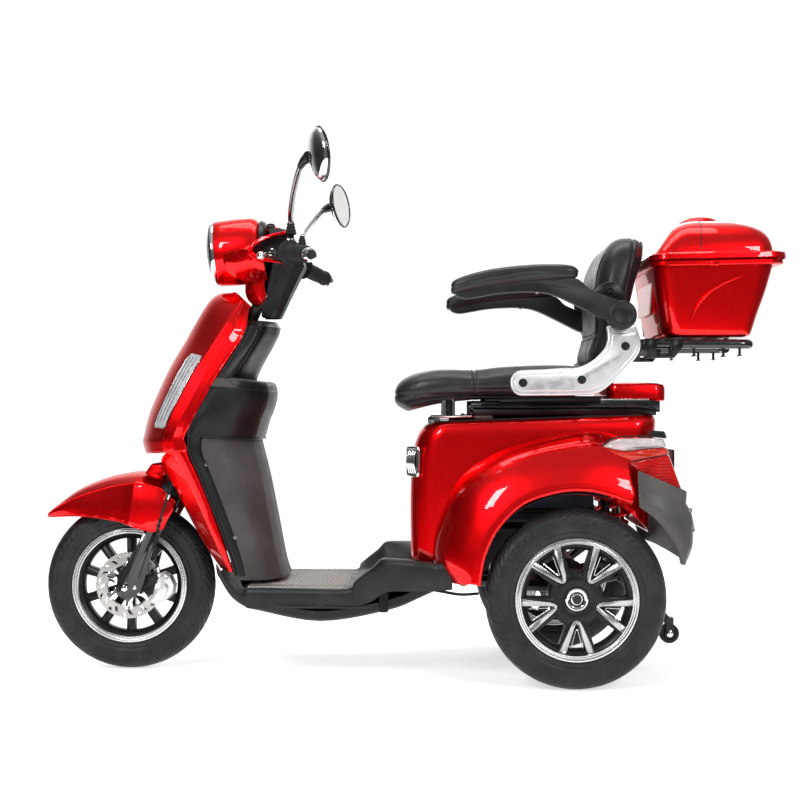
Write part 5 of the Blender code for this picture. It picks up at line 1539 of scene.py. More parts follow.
def front_shield():
    full = [list(row) + [(x, -y, z) for x, y, z in row[::-1][1:]] for row in SHIELD_HALF]
    parts = [paint(sheet("shield", full, 0.0032, (-1, 0, 0)), "red_paint")]
    lowest = shield_row(*RIM_LINE[-1])
    for side in (-1, 1):
        rows = [[(x, -y, z) for x, y, z in lowest[:3]]]
        rows += [[(x, -y, z) for x, y, z in leg_row(*pair)] for pair in LEG_LINE]
        rows = [mirrored(row, side) for row in rows]
        net = surface(rows, 6, 6, (), (1,))
        leg = sheet("leg", net, 0.0032, (0, side, 0))
        add(parts, "red_paint", leg)
        band = []
        for s in np.linspace(0, 6.9, 40):
            band.append([
                on_shield(s, t, lift, side)
                for t, lift in (
                    (0.02, 0.0004), (0.06, 0.0022), (0.9, 0.0058), (1.72, 0.0088), (1.8, 0.007),
                    (1.86, 0.0002)
                )
            ])
        add(parts, "red_paint", sheet("band", band, 0.0012, (0, side, 0), 0.0005))
        lower = []
        net = surface(rows, 8, 6, (), (1,))
        for row in net:
            across_leg = [row[k] for k in (0, 1, 3, 5, 6)]
            lower.append([
                (p[0], p[1] + lift * side, p[2])
                for p, lift in zip(across_leg, (0.0004, 0.0034, 0.0042, 0.0036, 0.0004))
            ])
        add(parts, "red_paint", sheet("leg_band", lower, 0.0012, (0, side, 0), 0.0005))
    for sign in (-1, 1):
        line = [on_shield(s, t, 0.0012, sign) for s, t in ((0.35, 2.3), (0.9, 3.0), (1.6, 4.0), (2.2, 5.0))]
        add(parts, "red_paint", sweep("crease", line, [0.0006, 0.0022, 0.0022, 0.0006], 10, 6))
        line = [on_shield(s, t, 0.001, sign) for s, t in ((4.9, 2.4), (5.4, 3.2), (5.9, 4.2), (6.0, 4.9))]
        add(parts, "red_paint", sweep("crease", line, [0.0006, 0.0022, 0.0022, 0.0006], 10, 6))
    place(merged("shield_shell", *parts), "root", "red_paint", replaces=("front_shield",), angle=32)
    # Painted shade: black lines laid along the shield's grooves stand for the shadow in them.
    grooves = []
    for sign in (-1, 1):
        for shift in (0.0, 0.3):
            line = [
                on_shield(s + shift, t, 0.0004, sign)
                for s, t in ((0.45, 2.6), (1.0, 3.3), (1.5, 4.1), (1.9, 4.9))
            ]
            grooves.append(sweep("groove", line, 0.0012, 8, 5, 1.0))
    place(merged("shield_groove_shade", *grooves), "root", "black_plastic", "satin_black")
    for name, side in SIDES.items():
        rows = []
        for share in np.linspace(0, 1, 25):
            s = 2.3 + share * 3.15
            taper = min(1.0, 0.8 + 5.0 * share, 0.8 + 5.0 * (1 - share))
            middle_line, half_width = 2.42, 0.38 * taper
            low, high = middle_line - half_width, middle_line + half_width
            rows.append([
                on_shield(s, low + (high - low) * k / 8, 0.0046 * (1 - ((k - 4) / 4.6) ** 4) + 0.0012, side)
                for k in range(9)
            ])
        pane = sheet("pane", rows, 0.0012, (-1, side, 0), 0.0)
        outline = [row[0] for row in rows] + [row[-1] for row in reversed(rows)]
        rim = sweep("pane_rim", outline, 0.0014, 10, 1, closed=True)
        ribs = []
        for column in (1, 2, 3, 4, 5, 6, 7):
            ribs.append(paint(
                sweep("rib", [row[column] for row in rows[1:-1:3]], 0.001, 6, 3),
                "ribbed_lens" if column % 2 else "dark_chrome"
            ))
        lamp = merged("led_lamp_" + name, paint(pane, "ribbed_lens"), paint(rim, "dark_chrome"), *ribs)
        place(lamp, "root", "clear_lens", replaces=("led_lens_" + name,))


PANEL_LINE = [
    (0.822, -0.313, 0.07), (0.804, -0.318, 0.072), (0.78, -0.33, 0.075), (0.69, -0.374, 0.085),
    (0.6, -0.368, 0.1), (0.54, -0.356, 0.11), (0.466, -0.338, 0.12), (0.354, -0.316, 0.125),
    (0.27, -0.3, 0.128), (0.228, -0.287, 0.128),
]


def rim_at(height):
    line = [rim for rim, _ in RIM_LINE + LEG_LINE]
    for upper, lower in zip(line, line[1:]):
        if lower[1] <= height <= upper[1]:
            share = (height - lower[1]) / (upper[1] - lower[1])
            return lower[0] + (upper[0] - lower[0]) * share, lower[2] + (upper[2] - lower[2]) * share
    return (line[0][0], line[0][2]) if height > line[0][1] else (line[-1][0], line[-1][2])


def panel_rows(lines, inset=0.006, lift=0.0, widen=-0.006):
    rows = []
    for height, rear, half in lines:
        rim_x, rim_half = rim_at(height)
        start = rim_x + inset
        rows.append(across([
            (start, -(rim_half + widen), height + lift),
            (start * 0.45 + rear * 0.55, -(rim_half * 0.45 + half * 0.62), height + lift * 0.5),
            (rear - 0.01, -half * 0.8, height),
            (rear, -half * 0.4, height),
            (rear + 0.001, 0.0, height),
        ]))
    return rows


def leg_shield():
    """Inner panels: black upper column, knee pocket band, grey lower panel and black trim strip."""
    upper = [line for line in PANEL_LINE if line[0] > 0.59]
    lower = [line for line in PANEL_LINE if line[0] < 0.61]
    rows = panel_rows(upper)
    chamfer = [[(x * 0.96 - 0.02, y * 0.9, z + 0.014) for x, y, z in rows[0]]]
    top = sheet("upper", surface(chamfer + rows, 5, 4, (1,), (2, 6)), 0.0032, (1, 0, 0))
    place(top, "root", "black_plastic", "satin_black").name = "column_panel"
    bottom = sheet("leg_panel", surface(panel_rows(lower), 6, 4, (), (2, 6)), 0.0032, (1, 0, 0))
    place(bottom, "root", "grey_panel", "grey_panel", ("leg_shield",))
    pocket = [
        (0.688, -0.327, 0.116), (0.677, -0.3235, 0.119), (0.655, -0.3225, 0.12), (0.625, -0.33, 0.12),
        (0.6, -0.34, 0.12), (0.572, -0.348, 0.121), (0.556, -0.353, 0.12)
    ]
    band = panel_rows(pocket, 0.006, 0.01, 0.004)
    parts = [paint(sheet("band", surface(band, 5, 4, (), (2, 6)), 0.003, (1, 0, 0), 0.0014), "satin_black")]
    inner = panel_rows([(0.692, -0.334, 0.108)], 0.012, 0.01, -0.008)[0]
    brim = panel_rows([(0.668, -0.3225, 0.12)], 0.005, 0.01, 0.0066)[0]
    add(
        parts, "grey_panel",
        sheet("brim", surface([inner, band[0], brim], 4, 4, (1,), (2, 6)), 0.003, (1, 0, 0), 0.001)
    )
    for row, size in ((brim, 0.0016), (band[-1], 0.0026)):
        add(parts, "satin_black", sweep("lip", row, size, 12, 5))
    place(merged("knee_pocket", *parts), "root", "black_plastic", replaces=("leg_shield_pocket",))
    trims = []
    heights = [0.822, 0.78, 0.69, 0.6, 0.54, 0.466, 0.354, 0.27, 0.24]
    for side in (-1, 1):
        rows, line = [], []
        for height in heights:
            rim_x, rim_half = rim_at(height)
            rows.append([
                (rim_x + 0.0016, (rim_half - 0.001) * side, height),
                (rim_x + 0.012, (rim_half + 0.0012) * side, height - 0.001),
                (rim_x + 0.03, (rim_half * 0.86 + 0.016) * side, height - 0.003),
                (rim_x + 0.036, (rim_half * 0.8 + 0.016) * side, height - 0.004)
            ])
            line.append((rim_x + 0.005, (rim_half + 0.0012) * side, height))
        trims.append(sheet("trim", surface(rows, 5, 4, (), (1,)), 0.0026, (0.4, side, 0), 0.001))
        trims.append(sweep("trim_bead", line, 0.003, 10, 5))
    place(merged("shield_trim", *trims), "root", "black_plastic", "satin_black")
    screws = []
    for side in (-1, 1):
        for height in (0.33, 0.5):
            rim_x, rim_half = rim_at(height)
            screws.append(stud(
                "screw", (rim_x + 0.03, (rim_half * 0.86 + 0.017) * side, height), (0.25, side, 0), 0.0036,
                0.0026
            ))
    place(merged("panel_screws", *screws), "root", "chrome", "dark_chrome")


# ---------------------------------------------------------------- floor
FLOOR_LINE = [
    # x, top, bottom of the skirt, half width
    (-0.378, 0.211, 0.2, 0.19), (-0.372, 0.2145, 0.178, 0.202), (-0.36, 0.216, 0.169, 0.208),
    (-0.25, 0.215, 0.17, 0.214), (-0.14, 0.215, 0.1705, 0.22),
    (-0.1226, 0.2305, 0.172, 0.22), (-0.1, 0.247, 0.18, 0.222), (-0.079, 0.261, 0.19, 0.226),
    (-0.062, 0.276, 0.203, 0.232), (-0.04, 0.278, 0.212, 0.242),
    (0.0171, 0.276, 0.2145, 0.262), (0.056, 0.2735, 0.2175, 0.28), (0.073, 0.2725, 0.219, 0.284),
    (0.098, 0.2745, 0.221, 0.286),
]


def floor():
    rows, centre_rows = [], []
    for x, top, bottom, half in FLOOR_LINE:
        deck = min(top, 0.215 + max(0.0, x + 0.14) * 0.1)
        crest = top + 0.006 * min(1.0, max(0.0, (x + 0.125) / 0.07))
        row = [
            (x, -half + 0.004, bottom), (x, -half, (bottom + top) / 2), (x, -half, crest - 0.009),
            (x, -half + 0.007, crest)
        ]
        if x < 0.02:
            row += [
                (x, -half + 0.03, crest + 0.001), (x, -0.172, (crest + deck) / 2 + 0.004),
                (x, -0.14, deck + 0.002), (x, -0.1, deck)
            ]
            centre_rows.append([(x, y, deck) for y in (-0.104, -0.05, 0.0, 0.05, 0.104)])
        else:
            row += [
                (x, -half + 0.026, crest), (x, -0.25, crest - 0.001), (x, -0.244, crest - 0.003),
                (x, -0.238, crest - 0.006)
            ]
        rows.append(row)
    parts = []
    for side in (-1, 1):
        turned_rows = [mirrored(row, side) for row in rows]
        add(
            parts, "black_plastic",
            sheet("wing", surface(turned_rows, 5, 4, (), (2,)), 0.0036, (0, side, 1))
        )
    add(parts, "black_plastic", sheet("deck", surface(centre_rows, 5, 3), 0.0036, (0, 0, 1)))
    front_lip = [
        (-0.378, -0.19, 0.208), (-0.3785, -0.1, 0.209), (-0.3785, 0.1, 0.209), (-0.378, 0.19, 0.208)
    ]
    add(parts, "black_plastic", sweep("front_lip", front_lip, 0.004, 12, 5))
    for side in (-1, 1):
        end = [(0.0985, 0.284), (0.0985, 0.239)]
        low, high = sorted(y * side for _, y in end)
        add(
            parts, "black_plastic", box_piece("wing_end", (0.094, low, 0.2215), (0.1, high, 0.2735), 0.0015)
        )
        add(
            parts, "dark_chrome",
            stud("screw", (-0.34, 0.2055 * side, 0.203), (0, side, 0.1), 0.0044, 0.0034)
        )
        add(parts, "dark_chrome", stud("screw", (0.04, 0.243 * side, 0.2752), (0, 0, 1), 0.0046, 0.0034))
        for x in (-0.3, -0.19):
            add(
                parts, "black_plastic",
                sweep(
                    "skirt_rib",
                    [
                        (x, 0.216 * side, 0.176), (x + 0.05, 0.219 * side, 0.174),
                        (x + 0.09, 0.22 * side, 0.1745)
                    ],
                    0.0012, 8, 5
                )
            )
    place(merged("floor_tray", *parts), "root", "black_plastic", replaces=("floorboard",))
    low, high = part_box("foot_mat")
    low = Vector((-0.373, low.y - 0.03, low.z))
    high = high + Vector((0.002, 0.03, 0))
    ribs = 36
    rows = []
    profile = []
    for number in range(ribs):
        x = low.x + 0.004 + (high.x - low.x - 0.008) * number / ribs
        pitch = (high.x - low.x - 0.008) / ribs
        profile += [
            (x, 0.0), (x + pitch * 0.12, 0.0022), (x + pitch * 0.6, 0.0022), (x + pitch * 0.72, 0.0)
        ]
    profile = [(low.x, -0.0018)] + profile + [(high.x, -0.0018)]
    for y in (low.y, low.y + 0.004, 0.0, high.y - 0.004, high.y):
        sunk = -0.0018 if y in (low.y, high.y) else 0.0
        rows.append([(x, y, high.z - 0.0022 + (z if not sunk else min(z, 0) + sunk)) for x, z in profile])
    mat = sheet("ribbed_mat", rows, 0.0014, (0, 0, 1), 0.0003)
    place(mat, "root", "mat", "mat_rubber", ("foot_mat",))
    pan = []
    for x, z in (
        (-0.448, 0.241), (-0.417, 0.19), (-0.385, 0.165), (-0.354, 0.156), (-0.205, 0.13), (-0.0465, 0.156),
        (0.03, 0.186), (0.075, 0.207)
    ):
        rim = z + 0.026
        pan.append(across([
            (x, -0.15, rim), (x, -0.144, z + 0.008), (x, -0.132, z), (x, -0.05, z - 0.0005), (x, 0.0, z)
        ]))
    place(
        sheet("belly_shell", surface(pan, 5, 3, (), (2, 6)), 0.0028, (0, 0, -1)),
        "root", "black_plastic", "black_plastic", ("belly_pan",)
    )
    pegs = [
        rod("peg", (-0.057, 0.165 * side, 0.156), (-0.057, 0.165 * side, 0.203), 0.011, 28, 0.002)
        for side in (-1, 1)
    ]
    place(merged("stand_pegs", *pegs), "root", "grip_rubber", "rubber")


# ---------------------------------------------------------------- frame and rear drive
def frame_and_drive():
    keep("chassis_frame", "black_steel")
    keep("axle_housing", "black_steel")
    low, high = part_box("battery_pack")
    case = box_piece("case", low, high, 0.006)
    parts = [paint(case, "battery_case")]
    for z in (low.z + 0.02, high.z - 0.03):
        add(
            parts, "satin_black",
            box_piece(
                "strap", (low.x - 0.0016, low.y - 0.0016, z), (high.x + 0.0016, high.y + 0.0016, z + 0.012),
                0.0012
            )
        )
    place(merged("battery_case", *parts), "root", "battery_case", replaces=("battery_pack",))
    start, end = Vector((0.308, 0, 0.203)), Vector((0.195, 0, 0.211))
    run = (end - start).length
    profile = [(0, 0), (0.034, 0), (0.044, 0.004)]
    for number in range(11):
        at = 0.01 + number * 0.0085
        profile += [(0.042, at), (0.0458, at + 0.0012), (0.0458, at + 0.0036), (0.042, at + 0.0048)]
    profile += [(0.044, run - 0.006), (0.04, run), (0.014, run), (0.012, run - 0.003), (0, run - 0.003)]
    place(
        lathe("finned_motor", profile, start, end - start, 72),
        "rear_suspension", "motor_metal", "cast_alloy", ("drive_motor",)
    )
    brakes = []
    for side in (-1, 1):
        drum = [
            (0.025, 0.212), (0.056, 0.212), (0.06, 0.216), (0.06, 0.232), (0.057, 0.236), (0.054, 0.246),
            (0.025, 0.246)
        ]
        add(
            brakes, "cast_alloy",
            lathe(
                "drum", [(r, y * side) for r, y in drum], (REAR_AXLE["left"].x, 0, REAR_AXLE["left"].z),
                (0, 1, 0), 64, True
            )
        )
        for turn in range(6):
            a = math.radians(30 + 60 * turn)
            at = (
                REAR_AXLE["left"].x + 0.047 * math.cos(a),
                0.212 * side,
                REAR_AXLE["left"].z + 0.047 * math.sin(a)
            )
            add(brakes, "dark_chrome", stud("bolt", at, (0, -side, 0), 0.0036, 0.0036))
    place(merged("drum_brakes", *brakes), "rear_suspension", "alloy")
    for name, side in SIDES.items():
        low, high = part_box("shock_spring_" + name)
        x, y = (low.x + high.x) / 2, (low.y + high.y) / 2
        turns, steps = 8, 20
        coil = []
        for i in range(turns * steps + 1):
            a = 2 * math.pi * i / steps
            rise = low.z + 0.016 + (high.z - low.z - 0.032) * i / (turns * steps)
            coil.append((x + 0.0195 * math.cos(a), y + 0.0195 * math.sin(a), rise))
        spring = paint(sweep("coil", coil, 0.004, 10, 1), "red_paint")
        damper = paint(
            lathe(
                "damper",
                [(0, 0.004), (0.0065, 0.004), (0.0065, 0.11), (0.013, 0.112), (0.013, 0.215), (0, 0.215)],
                (x, y, low.z), (0, 0, 1), 32
            ),
            "chrome"
        )
        seats = [
            paint(
                lathe(
                    "seat",
                    [(0.004, 0), (0.0235, 0), (0.024, 0.003), (0.024, 0.01), (0.02, 0.013), (0.004, 0.013)],
                    (x, y, z), (0, 0, 1), 40, True
                ),
                "satin_black"
            )
            for z in (low.z + 0.0005, high.z - 0.0135)
        ]
        shock = merged("shock_absorber_" + name, spring, damper, *seats)
        place(shock, "root", "red_paint", replaces=("shock_spring_" + name,))
        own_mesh(shock)


# ---------------------------------------------------------------- rear body
def rounded_ring(x_low, x_high, half, z, corner, steps=8, crown=0.0):
    ring = []
    for centre_x, centre_y, start in (
        (x_high - corner, half - corner, 0), (x_low + corner, half - corner, 90),
        (x_low + corner, -half + corner, 180), (x_high - corner, -half + corner, 270)
    ):
        for step in range(steps + 1):
            a = math.radians(start + 90 * step / steps)
            x = centre_x + corner * math.cos(a)
            ring.append((x, centre_y + corner * math.sin(a), z + crown * (x - x_low)))
    return ring


ARCH_RADIUS = 0.228
BODY_LINE = [
    # height, front, rear, half width, corner
    (0.279, 0.009, 0.552, 0.214, 0.06), (0.29, 0.007, 0.553, 0.215, 0.06), (0.4, 0.005, 0.562, 0.215, 0.06),
    (0.49, 0.0075, 0.568, 0.215, 0.06),
    (0.54, 0.015, 0.57, 0.215, 0.06), (0.564, 0.023, 0.572, 0.215, 0.058),
    (0.58, 0.033, 0.5735, 0.213, 0.056), (0.59, 0.043, 0.573, 0.208, 0.054),
    (0.5955, 0.054, 0.57, 0.2, 0.052), (0.5985, 0.064, 0.565, 0.19, 0.05),
    (0.5995, 0.09, 0.55, 0.16, 0.048),
]


def rear_body():
    rings = []
    for z, front, rear, half, corner in BODY_LINE:
        tilt = 0.03 * max(0.0, (z - 0.45) / 0.15)
        rings.append(rounded_ring(front, rear, half, z, corner, 9, tilt))
    shell = open_shell("shell", smooth(rings, 3), -1, 0.0034)
    axle = REAR_AXLE["left"]
    turn = np.linspace(0, math.pi, 49)
    outline = [(axle.x + ARCH_RADIUS * math.cos(a), axle.z + ARCH_RADIUS * math.sin(a)) for a in turn]
    outline += [(axle.x - ARCH_RADIUS, 0.15), (axle.x + ARCH_RADIUS, 0.15)]
    cutter = slab("arch_cut", outline, -0.3, 0.3, 0)
    arch = shell.modifiers.new("arch", "BOOLEAN")
    arch.object = cutter
    arch.solver = "EXACT"
    arch.use_self = True
    body = merged("body_shell", edged(paint(shell, "red_paint"), 0.0008, 60))
    bpy.data.objects.remove(cutter)
    place(body, "root", "red_paint", replaces=("rear_body",), angle=32)
    parts = []
    corner, facing, along = Vector((0.0145, -0.185, 0)), Vector((-0.87, -0.5, 0)), Vector((0.5, -0.87, 0))

    def on_corner(u, out, z):
        return tuple(corner + along * u + facing * out + Vector((0, 0, z)))

    frame_line = [
        on_corner(y, 0.003, z)
        for y, z in loop(
            [
                (-0.022, 0.481), (-0.022, 0.531), (-0.016, 0.537), (0.016, 0.537), (0.022, 0.531),
                (0.022, 0.481), (0.016, 0.475), (-0.016, 0.475)
            ],
            4
        )
    ]
    add(parts, "chrome", sweep("catch_frame", frame_line, 0.0046, 14, 1, closed=True))
    plate = [
        [on_corner(u, out, z) for u, z in ((-0.02, 0.477), (0.02, 0.477), (0.02, 0.535), (-0.02, 0.535))]
        for out in (-0.008, 0.004)
    ]
    add(parts, "satin_black", loft("catch_plate", plate))
    for u in (-0.014, -0.0045, 0.005, 0.0145):
        add(
            parts, "chrome",
            sweep(
                "catch_bar",
                [on_corner(u, 0.005, 0.479), on_corner(u, 0.0105, 0.506), on_corner(u, 0.005, 0.533)],
                [0.0024, 0.0034, 0.0024], 12, 6
            )
        )
    place(merged("body_catch", *parts), "root", "chrome")
    rails = []
    for side in (-1, 1):
        add(
            rails, "satin_black",
            sweep(
                "gutter",
                [(0.06, 0.194 * side, 0.5975), (0.3, 0.196 * side, 0.606), (0.54, 0.19 * side, 0.6125)],
                0.0022, 10, 6
            )
        )
    place(merged("body_gutter", *rails), "root", "black_plastic")


RIDGE = [
    (0.09, 0.237), (0.06, 0.29), (0.074, 0.371), (0.12, 0.467), (0.188, 0.5175), (0.257, 0.545),
    (0.349, 0.566), (0.425, 0.574), (0.49, 0.56),
]
ARCH = [
    (0.159, 0.236), (0.162, 0.264), (0.172, 0.308), (0.199, 0.362), (0.253, 0.416), (0.32, 0.441),
    (0.379, 0.448), (0.433, 0.441), (0.496, 0.42),
]


def fenders():
    axle = REAR_AXLE["left"]
    for name, side in SIDES.items():
        rows = []
        for (ridge_x, ridge_z), (lip_x, lip_z) in zip(RIDGE, ARCH):
            away = Vector((lip_x - axle.x, 0, lip_z - axle.z + 0.02)).normalized()
            fold_x, fold_z = lip_x + away.x * 0.017, lip_z + away.z * 0.017
            rows.append([
                (ridge_x, 0.2155, ridge_z),
                (ridge_x * 0.97 + lip_x * 0.03, 0.235, ridge_z * 0.985 + lip_z * 0.015),
                (ridge_x * 0.9 + lip_x * 0.1, 0.256, ridge_z * 0.93 + lip_z * 0.07),
                (ridge_x * 0.74 + lip_x * 0.26, 0.288, ridge_z * 0.76 + lip_z * 0.24),
                (ridge_x * 0.46 + lip_x * 0.54, 0.315, ridge_z * 0.46 + lip_z * 0.54),
                (fold_x, 0.332, fold_z),
                (lip_x + away.x * 0.002, 0.335, lip_z + away.z * 0.002),
                (lip_x - away.x * 0.001, 0.331, lip_z - away.z * 0.001),
                (lip_x + away.x * 0.001, 0.32, lip_z + away.z * 0.001),
            ])
        rows = [mirrored(row, side) for row in rows]
        net = surface(rows, 8, 5, (), (2, 5, 6))
        flare = sheet("flare", net, 0.0028, (0, side, 1), 0.0009)
        lines = []
        for index, size in ((10, 0.0016), (25, 0.0013)):
            add(lines, "red_paint", sweep("line", [tuple(p) for p in net[::4, index]], size, 8, 3))
        place(
            merged("fender_flare_" + name, paint(flare, "red_paint"), *lines),
            "root", "red_paint", replaces=("rear_fender_" + name,), angle=32
        )
        liner = []
        for a in np.linspace(math.radians(70), math.radians(172), 32):
            c, s = math.cos(a), math.sin(a)
            liner.append([
                (axle.x + c * r, y * side, axle.z + s * r)
                for r, y in ((0.236, 0.22), (0.238, 0.26), (0.237, 0.31))
            ])
        place(
            sheet("wheel_arch_" + name, liner, 0.002, (0, 0, 1), 0.0),
            "root", "black_plastic", "black_plastic"
        )


def tail():
    """Layered tail lights, the grey bumper with its step, and round reflectors."""
    zones = [
        (
            "pale_lens",
            [
                (0.433, 0.542), (0.45, 0.554), (0.468, 0.561), (0.53, 0.563), (0.573, 0.56), (0.58, 0.542),
                (0.53, 0.539), (0.48, 0.533)
            ],
            0.004
        ),
        (
            "amber_lens",
            [
                (0.434, 0.5405), (0.48, 0.5315), (0.53, 0.5375), (0.5807, 0.5405), (0.586, 0.526),
                (0.54, 0.519), (0.496, 0.51), (0.462, 0.526)
            ],
            0.002
        ),
        (
            "red_lens",
            [
                (0.464, 0.5245), (0.4975, 0.5085), (0.5405, 0.5175), (0.5867, 0.5245), (0.618, 0.445),
                (0.56, 0.4665), (0.514, 0.4895), (0.5, 0.5)
            ],
            0.0
        ),
    ]
    for name, side in SIDES.items():
        parts = []
        for look, outline, proud in zones:
            rings = []
            for y, shrink in (
                (0.218, 1.0), (0.28, 1.0), (0.296 + proud, 0.985), (0.302 + proud, 0.95),
                (0.304 + proud, 0.9)
            ):
                cx = sum(x for x, _ in outline) / len(outline)
                cz = sum(z for _, z in outline) / len(outline)
                line = [(x, z) for x, z in outline]
                ring = []
                for x, z in line:
                    px, pz = cx + (x - cx) * shrink, cz + (z - cz) * shrink
                    dip = max(0.0, 0.498 - px) * 0.24
                    back = max(0.0, px - 0.56) * 0.55
                    ring.append((px, max(y - dip - back, 0.218 + (y - 0.218) * 0.02) * side, pz))
                rings.append(ring)
            add(parts, look, edged(loft("zone", rings), 0.0014, 40, 3))
        backing = [(0.438, 0.54), (0.47, 0.557), (0.57, 0.557), (0.612, 0.46), (0.515, 0.497)]
        rings = [
            [
                (
                    x,
                    (
                        0.217 + share * (0.066 - max(0.0, 0.498 - x) * 0.45 - max(0.0, x - 0.56) * 0.4)
                    ) * side,
                    z
                )
                for x, z in backing
            ]
            for share in (0, 1)
        ]
        add(parts, "silver_paint", loft("backing", rings))
        for number in range(6):
            x = 0.492 + number * 0.0155
            add(
                parts, "chrome",
                rod("facet", (x, 0.28 * side, 0.499 + 0.016), (x + 0.004, 0.283 * side, 0.552), 0.0028, 8)
            )
        edge_line = [(0.432, 0.54), (0.448, 0.556), (0.47, 0.5645), (0.53, 0.5665), (0.576, 0.563)]
        line = [(x, (0.286 + 0.016 * min(1, (x - 0.432) / 0.066)) * side, z) for x, z in edge_line]
        add(parts, "satin_black", sweep("gasket", line, 0.0018, 10, 5))
        place(merged("tail_lamp_" + name, *parts), "root", "red_lens", replaces=("tail_light_" + name,))
        cap = slab(
            "lamp_cap_" + name, [(0.54, 0.5655), (0.545, 0.579), (0.574, 0.577), (0.58, 0.564)],
            0.218 * side, 0.29 * side, 0.002
        )
        place(cap, "root", "black_plastic", "black_plastic")
    rows = []
    for front, rear in (
        ((0.511, 0.4905), (0.624, 0.442)), ((0.5112, 0.47), (0.6235, 0.429)),
        ((0.512, 0.45), (0.6225, 0.415)), ((0.513, 0.415), (0.634, 0.395)), ((0.533, 0.4), (0.638, 0.376)),
        ((0.556, 0.381), (0.6385, 0.355)), ((0.577, 0.356), (0.6385, 0.34)),
        ((0.595, 0.327), (0.637, 0.32)), ((0.602, 0.303), (0.63, 0.3)), ((0.608, 0.282), (0.62, 0.282))
    ):
        out = 0.009 if front[1] < 0.43 else 0.0
        rows.append(across([
            (front[0], -0.317 - out * 0.8, front[1]),
            (front[0] * 0.65 + rear[0] * 0.35, -0.319 - out, front[1] * 0.65 + rear[1] * 0.35),
            (front[0] * 0.25 + rear[0] * 0.75, -0.309 - out * 0.6, front[1] * 0.25 + rear[1] * 0.75),
            (rear[0] + 0.001, -0.282, rear[1]),
            (rear[0] + 0.008, -0.2, rear[1]),
            (rear[0] + 0.01, -0.1, rear[1]),
            (rear[0] + 0.011, 0.0, rear[1]),
        ]))
    net = surface(rows, 5, 4, (2, 3), ())
    parts = [paint(sheet("bumper", net, 0.0034, (1, 0, 0), 0.0016), "grey_bumper")]
    for side in (-1, 1):
        lip = [
            (0.5135, 0.3222 * side, 0.414), (0.556, 0.3222 * side, 0.38), (0.595, 0.3218 * side, 0.3265),
            (0.608, 0.3214 * side, 0.2835)
        ]
        add(parts, "grey_bumper", sweep("lip", lip, 0.0032, 12, 6))
    place(merged("bumper_shell", *parts), "root", "grey_bumper", replaces=("rear_bumper",))
    lamps = []
    for side in (-1, 1):
        at = (0.644, 0.215 * side, 0.35)
        add(
            lamps, "chrome",
            lathe(
                "ring",
                [
                    (0.019, -0.003), (0.0265, -0.003), (0.0275, 0.002), (0.0255, 0.007), (0.0215, 0.0075),
                    (0.019, 0.004)
                ],
                at, (1, 0, 0.06), 56, True
            )
        )
        add(
            lamps, "red_lens",
            lathe(
                "pane", [(0, -0.002), (0.02, -0.002), (0.02, 0.0048), (0.015, 0.0068), (0, 0.0078)], at,
                (1, 0, 0.06), 48
            )
        )
        add(
            lamps, "dark_chrome",
            stud("bolt", (0.631, 0.29 * side, 0.4), (0.8, 0.6 * side, 0), 0.0045, 0.004)
        )
    plate = box_piece("plate", (0.628, -0.08, 0.444), (0.632, 0.08, 0.53), 0.002)
    holder = box_piece("holder", (0.572, -0.06, 0.46), (0.629, 0.06, 0.47), 0.002)
    place(merged("rear_reflectors", *lamps), "root", "red_lens")
    place(
        merged("plate_holder", paint(plate, "black_plastic"), paint(holder, "black_plastic")),
        "root", "black_plastic"
    )


